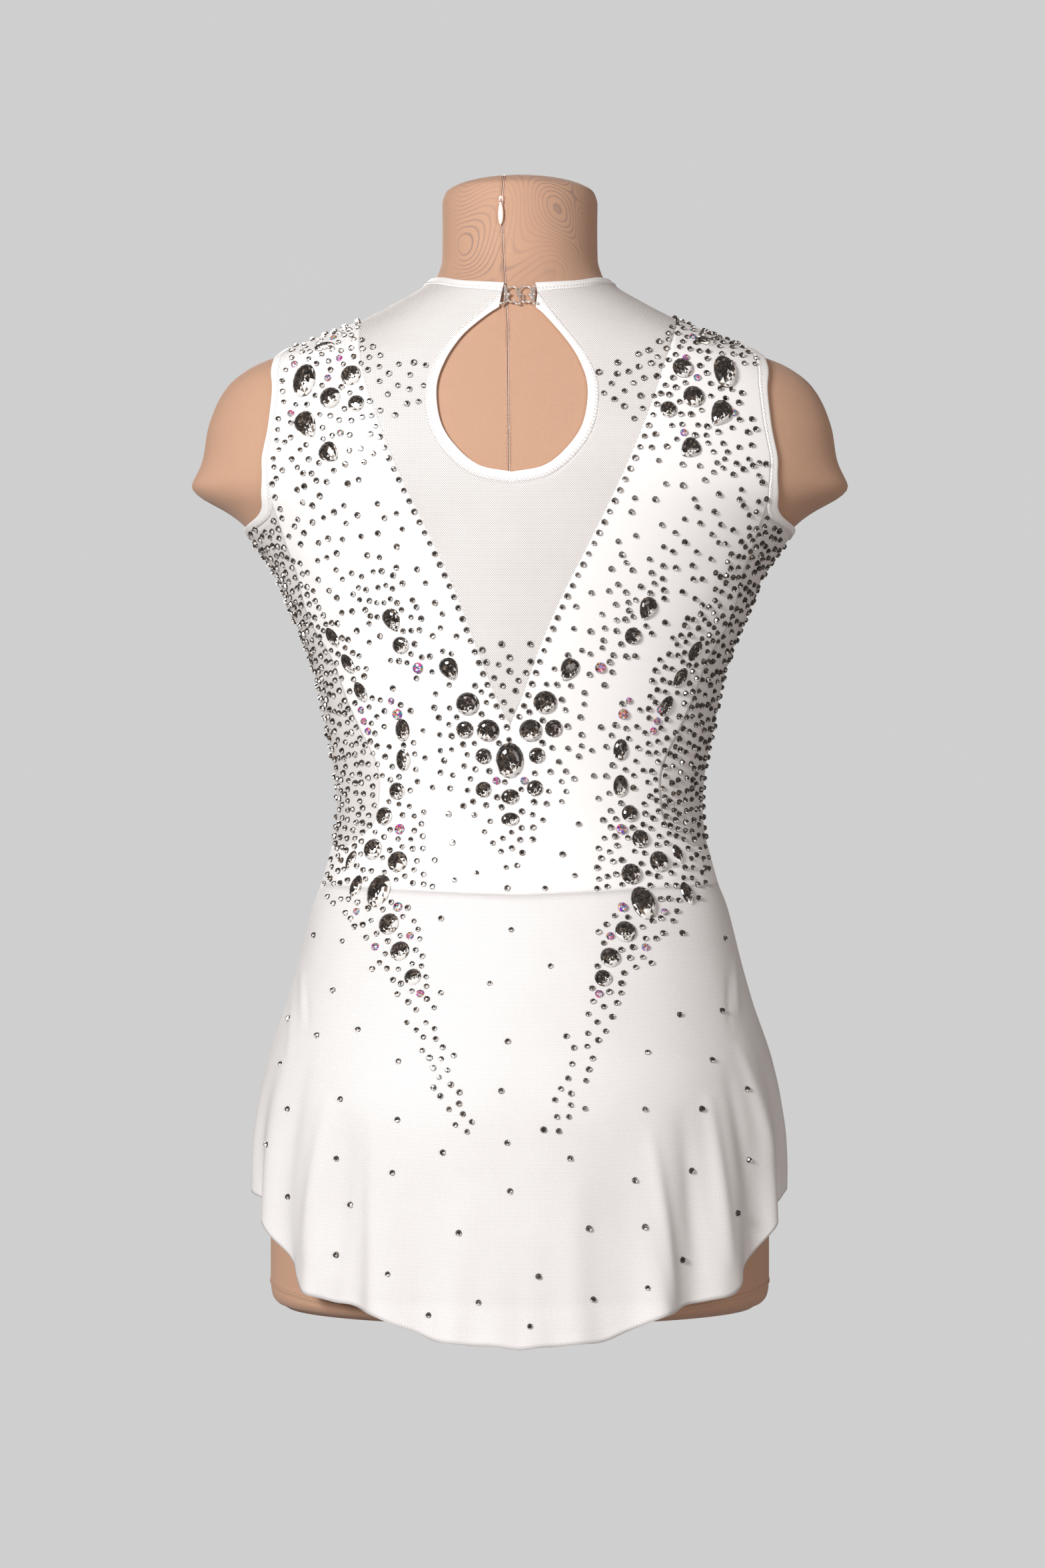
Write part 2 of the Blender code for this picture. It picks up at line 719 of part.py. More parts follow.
def side_panel(name, right, loop_in, group):
    """Sheer panel under one arm, from the hip band up to the armhole."""
    top = loop_in[STRAP_ROWS: 2 * (STRAP_ROWS + SIDE_TOP_STEPS) - STRAP_ROWS + 1]
    side = side_edge(loop_in[STRAP_ROWS])
    even = np.linspace(0.0, 1.0, len(top))
    uneven = (top[0, 0] - top[:, 0]) / (top[0, 0] - top[-1, 0])
    rows = []
    for row, (turn, height) in enumerate(side):
        blend = row / (len(side) - 1)
        share = even * (1.0 - blend) + uneven * blend
        heights = height + (top[:, 1] - top[0, 1]) * blend**2
        rows.append(np.stack([turn * (1.0 - 2.0 * share), heights], axis=1))
    chart = faced(np.array(rows), 1.0, right)
    grid = drawn_in(skin(chart[..., 0], chart[..., 1], CLOTH_GAP), ("low", "high", "first", "last"))
    return cloth(name, [grid], group, "mesh", CLOTH_WALL)


def yoke(name, face, keyhole_outer, group):
    """Sheer yoke between the neck and the V's edge, round the keyhole on the back."""
    grids = []
    for right in (False, True):
        outer = v_edge(face, right)[::-1]
        if face > 0:
            turn = np.linspace(0.0, CLASP_END_TURN, YOKE_NECK_STEPS + 1)
            neck = faced(np.stack([turn, neck_low(turn)], axis=1), 1.0, right)
            hole = keyhole_outer[::-1] if right else keyhole_outer
            inner = np.vstack([neck, hole[1: KEYHOLE_STEPS + 1]])
        else:
            fine = np.linspace(0.0, 90.0, CURVE_STEPS * 4)
            inner = evenly(np.stack([fine, neck_low(-fine)], axis=1), len(outer) - 1)
            inner = faced(inner, -1.0, right)
        chart = ruled(inner, outer, YOKE_COLUMNS)
        grids.append(drawn_in(skin(chart[..., 0], chart[..., 1], CLOTH_GAP), ("low", "first", "last")))
    for border in (0, -1):
        grids[1][-1, border] = grids[0][-1, border]
    return cloth(name, grids, group, "mesh", CLOTH_WALL)


def band(name, edge, inner, group, closed):
    """Binding between two lines of (turn, height) points."""
    chart = ruled(edge, inner, BAND_COLUMNS)
    grid = skin(chart[..., 0], chart[..., 1], CLOTH_GAP)
    grid = drawn_in(grid, ("first", "last") if closed else ("first", "last", "low", "high"))
    if closed:
        grid = np.concatenate([grid, grid[:1]])
    return cloth(name, [grid], group, "elastic", BINDING_WALL)


def neck_binding(group):
    """Binding round the neck, open at the clasp."""
    back = np.linspace(CLASP_END_TURN, 0.0, YOKE_NECK_STEPS + 1)
    front = np.linspace(0.0, -180.0, NECK_FRONT_STEPS + 1)
    turn = np.concatenate([back, front[1:], -180.0 - back[::-1][1:]])
    upper = np.stack([turn, neck_top(turn)], axis=1)
    lower = np.stack([turn, neck_low(turn)], axis=1)
    return band("neck_binding", upper, lower, group, False)


def hem(turn, face):
    """Height of the skirt's hem."""
    fold = 90.0 - np.abs(90.0 - np.abs(turn))
    return read(HEM_BACK if face > 0 else HEM_FRONT, SEAM_COLUMNS, "turn", "height", fold)


def skirt_point(turn, share, face):
    """Inner face of the skirt, from the waist seam (share 0) to the hem (share 1)."""
    fold = 90.0 - np.abs(90.0 - np.abs(turn))
    seam = waist_seam(turn)
    height = seam + (hem(turn, face) - seam) * share
    drop = seam - height
    weight = np.sin(np.radians(fold)) ** 2
    flare = read(FLARES, FLARE_COLUMNS, "drop", "side", drop) * (1.0 - weight)
    flare += read(FLARES, FLARE_COLUMNS, "drop", "centre", drop) * weight
    fall = seam - hem(turn, face)
    for crest, start, spread, rise in FLUTES_BACK if face > 0 else FLUTES_FRONT:
        grow = np.clip((drop - start) / np.maximum(fall - start, 1.0), 0.0, 1.0) ** 1.25
        shape = np.exp(-(((fold - crest) / spread) ** 2)) - FLUTE_TROUGH
        flare += rise * grow * shape
    hips = bare_skin(turn, np.maximum(height, HIP_LEVEL))
    middle = np.array([0.0, BACK_SHIFT, 0.0])
    outward = hips - middle
    outward[..., 2] = 0.0
    outward /= np.linalg.norm(outward, axis=-1, keepdims=True)
    place = hips + outward * (flare + SKIRT_GAP)[..., None]
    place[..., 2] = height
    return place


def skirt(name, face, group):
    """Half of the skirt, from side seam to side seam."""
    turn = np.linspace(0.0, 180.0, SKIRT_COLUMNS + 1)[None, :] * face
    share = (np.linspace(0.0, 1.0, SKIRT_ROWS + 1) ** 0.9)[::-1][:, None]
    turn, share = np.broadcast_arrays(turn, share)
    grid = drawn_in(skirt_point(turn, share, face), ("first", "last"))
    return cloth(name, [grid], group, "mesh", CLOTH_WALL)


def brief(name, face, group):
    """Half of the brief under the skirt, from the waist seam down to the leg edge."""
    table = LEG_BACK if face > 0 else LEG_FRONT
    turn = np.linspace(0.0, 180.0, BRIEF_COLUMNS + 1)
    fold = 90.0 - np.abs(90.0 - turn)
    low = read(table, SEAM_COLUMNS, "turn", "height", fold)
    high = waist_seam(turn) - SEAM_GAP
    edge_low = np.stack([turn * face, low], axis=1)
    edge_high = np.stack([turn * face, high], axis=1)
    chart = ruled(edge_low, edge_high, BRIEF_ROWS).swapaxes(0, 1)
    grid = drawn_in(skin(chart[..., 0], chart[..., 1], CLOTH_GAP), ("first", "last"))
    return cloth(name, [grid], group, "lycra", CLOTH_WALL)


def seat(turn, height, offset):
    """Frame on the skin: X along the tangent to the right seen from outside, Y up it, Z out."""
    place = skin(turn, height, offset)
    tangent = skin(turn + 0.4, height) - skin(turn - 0.4, height)
    normal = skin(turn, height, 1.0) - skin(turn, height)
    x_axis = Vector(tangent).normalized()
    z_axis = Vector(normal).normalized()
    y_axis = z_axis.cross(x_axis)
    frame = Matrix((x_axis, y_axis, z_axis)).transposed().to_4x4()
    frame.translation = Vector(place) * MM
    return frame


def stone_outline(cut, length, width, tilt):
    """Outline of a stone about its centre, long axis upright before the tilt."""
    sides = LARGE_STONE_SIDES if length >= LARGE_STONE else STONE_SIDES
    angle = np.arange(sides) * 2.0 * np.pi / sides
    x = 0.5 * width * np.sin(angle)
    y = 0.5 * length * np.cos(angle)
    if cut == "drop":
        x *= 1.0 - 0.35 * np.cos(angle)
    if cut == "navette":
        x *= 0.82 + 0.18 * np.abs(np.sin(angle))
    lean_angle = math.radians(tilt)
    return np.stack([
        x * math.cos(lean_angle) - y * math.sin(lean_angle),
        x * math.sin(lean_angle) + y * math.cos(lean_angle),
    ], axis=1)


def stones(name, rows, surface, group):
    """One cutter mesh with every stone of a panel. rows hold cut, length, width, turn, height, tilt."""
    points, faces = [], []
    for cut, length, width, turn, height, tilt in rows:
        outline = stone_outline(cut, length, width, tilt)
        rise = 0.24 * width
        start = len(points)
        for ring, depth in ((outline, -STONE_SINK), (outline * STONE_TABLE, rise)):
            points.extend(surface(turn, height, ring, depth) * MM)
        sides = len(outline)
        base = list(range(start, start + sides))
        table = list(range(start + sides, start + 2 * sides))
        faces.append(base)
        faces.append(table[::-1])
        for step in range(sides):
            after = (step + 1) % sides
            faces.append((base[after], base[step], table[step], table[after]))
    mesh = bpy.data.meshes.new(name)
    mesh.from_pydata([tuple(point) for point in points], [], faces)
    work = bmesh.new()
    work.from_mesh(mesh)
    bmesh.ops.recalc_face_normals(work, faces=work.faces)
    bmesh.ops.triangulate(work, faces=work.faces)
    work.to_mesh(mesh)
    work.free()
    cutter = bpy.data.objects.new(name, mesh)
    cutter.hide_render = True
    cutter.display_type = "WIRE"
    group.objects.link(cutter)
    return cutter


def chart_step(turn, height, ring):
    """Turns and heights of a flat ring laid on the skin round a seat, its second axis up the slope."""
    step = 0.4
    by_turn = (bare_skin(turn + step, height) - bare_skin(turn - step, height)) / (2 * step)
    by_height = (bare_skin(turn, height + step) - bare_skin(turn, height - step)) / (2 * step)
    normal = np.cross(by_turn, by_height)
    normal /= np.linalg.norm(normal)
    level = np.cross(normal, (0.0, 0.0, 1.0))
    level /= np.linalg.norm(level)
    slope = np.cross(level, normal)
    wanted = ring[:, :1] * level + ring[:, 1:] * slope
    basis = np.stack([by_turn, by_height], axis=1)
    moved = wanted @ np.linalg.pinv(basis).T
    return turn + moved[:, 0], height + moved[:, 1]


def on_panel(turn, height, ring, depth):
    """Points of a ring laid on the back panel round a seat, depth measured from its outer face."""
    turns, heights = chart_step(turn, height, ring)
    return skin(turns, heights, CLOTH_GAP + CLOTH_WALL + depth)


def on_skirt(turn, height, ring, depth):
    """Points of a ring laid on the skirt round a seat, depth measured from its outer face."""
    turns, heights = chart_step(turn, height, ring)
    step = 0.4
    seam = waist_seam(turns)
    share = (seam - heights) / (seam - hem(turns, 1.0))
    over = np.maximum(share, 0.0)
    place = skirt_point(turns, over, 1.0)
    place[:, 2] = heights
    nudge = 0.002
    across = skirt_point(turns + step, over, 1.0) - skirt_point(turns - step, over, 1.0)
    up = skirt_point(turns, over, 1.0) - skirt_point(turns, over + nudge, 1.0)
    normal = np.cross(across, up)
    normal /= np.linalg.norm(normal, axis=1, keepdims=True)
    return place + normal * (CLOTH_WALL + depth)


def paired_rows(pairs):
    """Rows of single stones, left and right, with their turns."""
    rows = []
    for cut, length, width, left, left_height, right, right_height, tilt in pairs:
        rows.append((cut, length, width, float(turn_at(left, left_height, 1.0)), left_height, tilt))
        rows.append((cut, length, width, float(turn_at(-right, right_height, 1.0)), right_height, -tilt))
    return rows


def set_stones(piece, name, rows, surface, cutters):
    """Raise the large stones out of a panel's outer face."""
    cutter = stones(name, rows, surface, cutters)
    piece.modifiers.new("flat_faces", "TRIANGULATE")
    join = piece.modifiers.new("stones", "BOOLEAN")
    join.operation = "UNION"
    join.solver = "EXACT"
    join.object = cutter


def form_body(group):
    """The dress form: torso, arm stumps and neck in one closed body with a flat bottom."""
    heights = column(SECTIONS, SECTION_COLUMNS, "height")
    turns = np.arange(FORM_COLUMNS) * 360.0 / FORM_COLUMNS
    turn, height = np.meshgrid(turns, heights)
    grid = skin(turn, height, -SKIN_INSET)
    grid[0, :, 2] = heights[0]
    rows, columns = turn.shape
    faces = grid_faces(rows, columns, 0, True)
    faces.append(tuple(range(columns))[::-1])
    faces.append(tuple(range((rows - 1) * columns, rows * columns)))
    mesh = bpy.data.meshes.new("form_body")
    mesh.from_pydata([tuple(point) for point in grid.reshape(-1, 3) * MM], [], faces)
    return add_object("form_body", mesh, group, "knit")


def form_foot(group):
    """Low oval foot that holds the form clear of the hem."""
    work = bmesh.new()
    bmesh.ops.create_cone(
        work, cap_ends=True, segments=40, radius1=1.0, radius2=1.0, depth=1.0,
        matrix=Matrix.Diagonal((FOOT_HALF_WIDTH * MM, FOOT_HALF_DEPTH * MM, FOOT_HEIGHT * MM, 1.0)),
    )
    bmesh.ops.translate(work, verts=work.verts, vec=(0.0, 0.0, 0.5 * FOOT_HEIGHT * MM))
    mesh = bpy.data.meshes.new("form_foot")
    work.to_mesh(mesh)
    work.free()
    return add_object("form_foot", mesh, group, "plinth")


def box_into(work, size, centre):
    """Add a box to a bmesh, sizes in millimetres."""
    matrix = Matrix.Translation(Vector(centre) * MM) @ Matrix.Diagonal((*(Vector(size) * MM), 1.0))
    bmesh.ops.create_cube(work, size=1.0, matrix=matrix)


def union_of(name, boxes, group, kind, cutters):
    """One piece from boxes (size, centre) joined by Boolean unions."""
    pieces = []
    for index, (size, centre) in enumerate(boxes):
        work = bmesh.new()
        box_into(work, size, centre)
        label = name if index == 0 else f"{name}_add{index}"
        mesh = bpy.data.meshes.new(label)
        work.to_mesh(mesh)
        work.free()
        if index == 0:
            piece = add_object(name, mesh, group, kind)
        else:
            extra = bpy.data.objects.new(label, mesh)
            extra.hide_render = True
            extra.display_type = "WIRE"
            cutters.objects.link(extra)
            pieces.append(extra)
            join = piece.modifiers.new(label, "BOOLEAN")
            join.operation = "UNION"
            join.solver = "EXACT"
            join.object = extra
    return piece, pieces


def zip_parts(group, cutters):
    """Slider with its bail, fixed on the cover, and the pull that swings in the bail."""
    frame = seat(ZIP_TURN, ZIP_HEIGHT, ZIP_GAP - SKIN_INSET)
    bar_out = SLIDER_WALL + 0.5 * BAIL_WINDOW
    top_out = SLIDER_WALL + BAIL_WINDOW
    post_at = 0.5 * (BAIL_REACH - BAIL_WIRE)
    boxes = [
        ((SLIDER_WIDTH, SLIDER_LENGTH, SLIDER_WALL), (0.0, 0.0, 0.5 * SLIDER_WALL)),
        ((BAIL_WIRE, BAIL_WIRE, BAIL_WINDOW + 0.6), (0.0, post_at, SLIDER_WALL + 0.5 * BAIL_WINDOW)),
        ((BAIL_WIRE, BAIL_WIRE, BAIL_WINDOW + 0.6), (0.0, -post_at, SLIDER_WALL + 0.5 * BAIL_WINDOW)),
        ((BAIL_WIRE + 0.1, BAIL_REACH, BAIL_WIRE), (0.0, 0.0, top_out + 0.5 * BAIL_WIRE)),
    ]
    slider, extras = union_of("zip_slider", boxes, group, "zip", cutters)
    for thing in (slider, *extras):
        thing.matrix_world = frame
    hinge = frame @ Matrix.Translation(Vector((0.0, 0.0, bar_out)) * MM)
    side_at = 0.5 * (PULL_EYE_WIDTH - PULL_BAR)
    leaf_top = -PULL_EYE_LENGTH
    boxes = [
        ((PULL_EYE_WIDTH, PULL_BAR, PULL_BAR), (0.0, 0.0, 0.0)),
        ((PULL_BAR, PULL_EYE_LENGTH + 0.4, PULL_BAR), (side_at, -0.5 * PULL_EYE_LENGTH, 0.0)),
        ((PULL_BAR, PULL_EYE_LENGTH + 0.4, PULL_BAR), (-side_at, -0.5 * PULL_EYE_LENGTH, 0.0)),
    ]
    pull, extras = union_of("zip_pull", boxes, group, "zip", cutters)
    leaf = leaf_cutter(leaf_top, cutters)
    join = pull.modifiers.new("leaf", "BOOLEAN")
    join.operation = "UNION"
    join.solver = "EXACT"
    join.object = leaf
    for thing in (pull, *extras, leaf):
        thing.matrix_world = hinge
    return hinge


def leaf_cutter(leaf_top, cutters):
    """Leaf-shaped plate of the pull, a flat outline with thickness."""
    steps = 7
    share = np.linspace(0.0, 1.0, steps)
    half = 0.5 * PULL_WIDTH * (0.42 + 0.58 * np.sin(np.pi * np.clip(share * 1.02, 0.0, 1.0)) ** 0.8)
    half[-1] = 0.3
    along = leaf_top - share * (PULL_LENGTH + leaf_top)
    ring = [(float(h), float(y)) for h, y in zip(half, along)]
    ring += [(-float(h), float(y)) for h, y in zip(half[::-1], along[::-1])]
    count = len(ring)
    low = [(x * MM, y * MM, -0.5 * PULL_WALL * MM) for x, y in ring]
    high = [(x * MM, y * MM, 0.5 * PULL_WALL * MM) for x, y in ring]
    faces = [tuple(range(count)), tuple(range(2 * count - 1, count - 1, -1))]
    for step in range(count):
        after = (step + 1) % count
        faces.append((after, step, step + count, after + count))
    mesh = bpy.data.meshes.new("leaf")
    mesh.from_pydata(low + high, [], faces)
    work = bmesh.new()
    work.from_mesh(mesh)
    bmesh.ops.recalc_face_normals(work, faces=work.faces)
    work.to_mesh(mesh)
    work.free()
    leaf = bpy.data.objects.new("leaf", mesh)
    leaf.hide_render = True
    leaf.display_type = "WIRE"
    cutters.objects.link(leaf)
    return leaf


def clasp_half(name, right, group, cutters):
    """One half of the clasp: a ring of wire on an upright bar beside the binding's end."""
    centre = turn_at(0.0, CLASP_HEIGHT, 1.0)
    frame = seat(float(centre), CLASP_HEIGHT, CLOTH_GAP)
    side = 1.0 if right else -1.0
    ring_at = side * (CLASP_LOOP_RADIUS + 1.1)
    bpy.ops.mesh.primitive_torus_add(
        major_segments=14, minor_segments=6,
        major_radius=CLASP_LOOP_RADIUS * MM, minor_radius=CLASP_WIRE * MM,
    )
    ring = bpy.context.object
    ring.data.transform(Matrix.Translation(Vector((ring_at, 2.2, CLASP_OUT)) * MM))
    ring.name = name
    ring.data.name = name
    ring.data.materials.append(finish(name, "metal"))
    for old in list(ring.users_collection):
        old.objects.unlink(ring)
    group.objects.link(ring)
    bars = [
        ((1.7, CLASP_BAR_LENGTH, 1.3), (side * (CLASP_HALF_WIDTH - 0.85), 0.0, CLASP_OUT)),
        ((CLASP_HALF_WIDTH - 1.2, 1.2, 1.1), (side * 0.5 * CLASP_HALF_WIDTH, -5.2, CLASP_OUT)),
        ((CLASP_TAB_WIDTH, 3.0, 1.1), (side * (CLASP_TAB_REACH - 0.5 * CLASP_TAB_WIDTH), 6.3, CLASP_OUT)),
    ]
    ring.matrix_world = frame
    for index, (size, place) in enumerate(bars):
        work = bmesh.new()
        box_into(work, size, place)
        mesh = bpy.data.meshes.new(f"{name}_bar{index}")
        work.to_mesh(mesh)
        work.free()
        bar = bpy.data.objects.new(f"{name}_bar{index}", mesh)
        bar.hide_render = True
        bar.display_type = "WIRE"
        bar.matrix_world = frame
        cutters.objects.link(bar)
        join = ring.modifiers.new(f"bar{index}", "BOOLEAN")
        join.operation = "UNION"
        join.solver = "EXACT"
        join.object = bar
    return ring


def main():
    """Build every piece."""
    for thing in list(bpy.data.objects):
        bpy.data.objects.remove(thing, do_unlink=True)
    parts = collection("leotard_on_form")
    cutters = collection("cutters")
    form_body(parts)
    form_foot(parts)
    arm_edge, arm_in = armhole_edges()
    hole_edge, hole_outer = keyhole_edges()
    back = opaque_panel("back_panel", 1.0, arm_in, parts)
    opaque_panel("front_panel", -1.0, arm_in, parts)
    side_panel("side_panel_left", False, arm_in, parts)
    side_panel("side_panel_right", True, arm_in, parts)
    yoke("back_yoke", 1.0, hole_outer, parts)
    yoke("front_yoke", -1.0, hole_outer, parts)
    band("armhole_binding_left", arm_edge, arm_in, parts, True)
    band("armhole_binding_right", faced(arm_edge, 1.0, True), faced(arm_in, 1.0, True), parts, True)
    band("keyhole_binding", hole_edge, hole_outer, parts, False)
    neck_binding(parts)
    skirt_back = skirt("skirt_back", 1.0, parts)
    skirt("skirt_front", -1.0, parts)
    brief("brief_back", 1.0, parts)
    brief("brief_front", -1.0, parts)
    centre = [(c, l, w, float(turn_at(x, h, 1.0)), h, t) for c, l, w, x, h, t in BODICE_LINE]
    bodice = paired_rows(BODICE_PAIRS) + paired_rows(BODICE_CENTRE) + centre
    set_stones(back, "bodice_stones", bodice, on_panel, cutters)
    set_stones(skirt_back, "skirt_stones", paired_rows(SKIRT_PAIRS), on_skirt, cutters)
    zip_parts(parts, cutters)
    clasp_half("clasp_left", False, parts, cutters)
    clasp_half("clasp_right", True, parts, cutters)


if __name__ == "__main__":
    main()
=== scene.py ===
"""Looks of a rhythmic gymnastics leotard on its dress form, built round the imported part."""

import logging
import math
from collections.abc import Sequence
from dataclasses import dataclass, field
from enum import Enum
from typing import Any

import bmesh
import bpy
import numpy as np
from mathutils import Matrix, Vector


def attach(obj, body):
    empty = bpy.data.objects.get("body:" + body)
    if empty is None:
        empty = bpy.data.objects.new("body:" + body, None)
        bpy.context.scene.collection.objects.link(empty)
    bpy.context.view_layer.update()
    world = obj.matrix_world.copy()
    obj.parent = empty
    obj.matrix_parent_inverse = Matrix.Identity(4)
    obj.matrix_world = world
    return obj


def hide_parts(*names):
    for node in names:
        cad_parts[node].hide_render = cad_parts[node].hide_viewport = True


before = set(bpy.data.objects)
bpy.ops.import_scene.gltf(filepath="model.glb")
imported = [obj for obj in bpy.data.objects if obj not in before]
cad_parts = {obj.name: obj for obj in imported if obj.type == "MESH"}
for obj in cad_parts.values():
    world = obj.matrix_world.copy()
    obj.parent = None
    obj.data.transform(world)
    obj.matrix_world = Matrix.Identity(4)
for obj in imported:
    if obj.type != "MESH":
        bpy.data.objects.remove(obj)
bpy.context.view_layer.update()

LOG = logging.getLogger("leotard")
Array = np.ndarray
Rgb = tuple[float, float, float]
Points = tuple[tuple[float, float], ...]
Rings = Points
Solid = tuple[Array, list[Array]]
Row = tuple[Array, Array, Array]

# Sizes in millimetres
MM = 0.001
FORM_INSET = 1.1
CLOTH_GAP = 0.6
SEAM_GAP = 0.32
SEAM_LAP = 0.45
TUCK = 0.9
SHEER_DROP = 0.2
CLOTH_WALL = 1.4
BINDING_WALL = 2.0
FINE_WALL = 0.6
CLOTH_FACE = CLOTH_GAP + CLOTH_WALL - 0.1
ARMHOLE_BINDING_WIDTH = 6.0
KEYHOLE_BINDING_WIDTH = 8.0
NECK_BINDING_WIDTH = 7.5
BACK_SHIFT = 2.0
SHOULDER_FADE = 40.0
STRAP_SPLIT = 640.0
HIP_LEVEL = 34.0
FLUTE_TROUGH = 0.22
SIDE_PANEL_FOOT = 345.0
SKIRT_GAP = 2.8
SEAM_DIP = 2.1
SEAM_DIP_FADE = 11.0
CLASP_END_TURN = 82.0
KEYHOLE_TOP = (90.0, 740.0)
UP = (0.0, 0.0, 1.0)

# Stitch rows: shares of the way over a binding, and places on the form's base seam
BINDING_STITCHES = (0.70, 0.84)
THREAD_SINK = 0.12
BASE_STITCH_RISE = 3.6
WELT_RISE = 0.3

# Steps of the fine grids
DETAIL = 6
CURVE_STEPS = 36
STRAP_ROWS = 8 * DETAIL
STRAP_COLUMNS = 42
SIDE_ROWS = 11 * DETAIL
BACK_TIP_ROW = 4 * DETAIL
FRONT_TIP_ROW = 8 * DETAIL
SIDE_TOP_STEPS = 30
KEYHOLE_STEPS = 11 * DETAIL
YOKE_NECK_STEPS = 4 * DETAIL
YOKE_COLUMNS = 34
NECK_FRONT_STEPS = 80
HIP_ROWS = 12
HIP_CORNER_STEPS = 12
BRIEF_ROWS = 40
BRIEF_COLUMNS = 90
SKIRT_ROWS = 84
SKIRT_COLUMNS = 300
FORM_COLUMNS = 220
FORM_ROWS = 300
PROFILE_STEPS = 16
FLAT_STEP = 0.4


class Face(Enum):
    """Which side of the body a panel covers."""

    BACK = 1.0
    FRONT = -1.0


class Cut(Enum):
    """Outline of a stone."""

    ROUND = "round"
    OVAL = "oval"
    DROP = "drop"
    NAVETTE = "navette"


@dataclass(frozen=True)
class Table:
    """A short table with named columns."""

    columns: tuple[str, ...]
    rows: tuple[tuple[Any, ...], ...]

    def column(self, name: str) -> Array:
        """Values of one named column."""
        return np.array([row[self.columns.index(name)] for row in self.rows], dtype=float)

    def read(self, key: str, name: str, at: Array) -> Array:
        """Smooth reading of the column name at places along the rising column key."""
        return monotone(at, self.column(key), self.column(name))


SECTIONS = Table(
    ("height", "half_width", "back", "front"),
    (
        (15.0, 168.0, 96.0, 92.0),
        (18.0, 175.0, 104.0, 100.0),
        (24.0, 179.0, 108.5, 104.5),
        (34.0, 180.3, 110.0, 106.0),
        (62.0, 180.3, 113.0, 108.0),
        (90.0, 180.3, 116.0, 110.0),
        (138.0, 178.0, 121.0, 113.0),
        (162.0, 174.8, 122.0, 114.0),
        (185.0, 170.5, 121.0, 114.0),
        (210.0, 165.5, 118.0, 113.0),
        (234.0, 160.0, 113.0, 112.0),
        (260.0, 154.0, 105.0, 110.0),
        (290.0, 147.5, 95.0, 107.0),
        (319.0, 140.5, 87.0, 102.0),
        (337.0, 135.5, 83.0, 98.0),
        (356.0, 131.0, 79.5, 95.0),
        (374.0, 129.7, 77.5, 93.0),
        (392.0, 130.7, 77.5, 92.0),
        (411.0, 133.5, 79.0, 92.0),
        (429.0, 137.4, 81.5, 92.5),
        (457.0, 142.7, 85.5, 94.0),
        (488.0, 151.7, 89.5, 100.0),
        (512.0, 162.0, 92.5, 103.5),
        (541.0, 174.0, 95.5, 104.5),
        (558.0, 185.5, 96.5, 103.2),
        (573.0, 197.0, 97.2, 101.0),
        (584.0, 207.5, 97.8, 98.8),
        (595.0, 219.0, 98.4, 96.3),
        (606.0, 226.0, 98.8, 93.8),
        (618.0, 228.5, 99.0, 91.0),
        (640.0, 226.5, 98.0, 87.0),
        (656.0, 222.0, 96.8, 84.0),
        (676.0, 211.0, 94.0, 78.0),
        (690.0, 193.0, 91.0, 73.0),
        (701.5, 162.0, 88.0, 69.0),
        (711.0, 137.0, 85.0, 65.5),
        (721.0, 112.8, 81.5, 62.0),
        (735.0, 85.5, 75.5, 60.0),
        (742.5, 72.5, 70.8, 59.1),
        (750.0, 63.5, 66.5, 58.5),
        (758.0, 59.3, 62.3, 57.8),
        (767.0, 57.1, 59.5, 57.0),
        (790.0, 56.8, 57.5, 56.5),
        (806.0, 57.0, 57.0, 56.0),
        (815.0, 54.5, 54.5, 53.5),
        (820.0, 47.0, 47.0, 46.0),
        (824.0, 33.0, 33.0, 32.0),
        (826.5, 14.0, 14.0, 13.5),
    ),
)
RISES = Table(
    ("turn", "height", "turn_spread", "height_spread", "rise"),
    (
        (-60.0, 527.0, 27.0, 50.0, 5.5),
        (0.0, 600.0, 22.0, 14.0, 13.0),
        (60.0, 606.0, 22.0, 46.0, 3.5),
        (60.0, 190.0, 26.0, 46.0, 6.0),
    ),
)
LEANS = Table(
    ("height", "shift"),
    (
        (300.0, 6.5),
        (430.0, 6.5),
        (480.0, 7.5),
        (560.0, 5.5),
        (700.0, 5.0),
        (732.0, 0.5),
        (760.0, 0.0),
    ),
)
ARMHOLE = (
    (0.0, 702.0),
    (22.0, 694.0),
    (35.0, 674.0),
    (39.0, 648.0),
    (38.5, 622.0),
    (36.5, 600.0),
    (26.0, 581.0),
    (0.0, 571.0),
)
ARMHOLE_CORNER = 5
KEYHOLE = (
    (12.6, 721.5),
    (20.8, 715.3),
    (35.1, 700.9),
    (46.2, 683.8),
    (51.8, 664.9),
    (48.6, 641.0),
    (37.9, 623.8),
    (22.0, 610.8),
    (0.0, 606.2),
)
V_BACK = (
    (113.0, 721.0),
    (107.5, 690.0),
    (97.3, 657.0),
    (79.0, 613.0),
    (57.8, 566.0),
    (37.0, 522.0),
    (23.1, 488.0),
    (9.2, 451.0),
    (0.0, 431.0),
)
V_FRONT = (
    (113.0, 721.0),
    (104.0, 690.0),
    (92.0, 660.0),
    (73.0, 625.0),
    (50.0, 597.0),
    (25.0, 578.0),
    (0.0, 570.0),
)
SIDE_EDGE = (
    (24.0, 345.0),
    (37.5, 360.0),
    (40.5, 378.0),
    (41.0, 402.0),
    (35.0, 431.0),
    (30.5, 452.0),
    (27.5, 478.0),
    (22.0, 507.0),
    (26.0, 545.0),
    (32.0, 575.0),
    (36.5, 600.0),
)
NECK_EDGE = Table(
    ("turn", "height"),
    (
        (-90.0, 735.0),
        (-60.0, 739.0),
        (-30.0, 747.0),
        (0.0, 750.5),
        (30.0, 748.5),
        (60.0, 742.5),
        (90.0, 739.0),
    ),
)
WAIST_SEAM = Table(("turn", "height"), ((0.0, 319.0), (45.0, 316.5), (90.0, 312.5)))
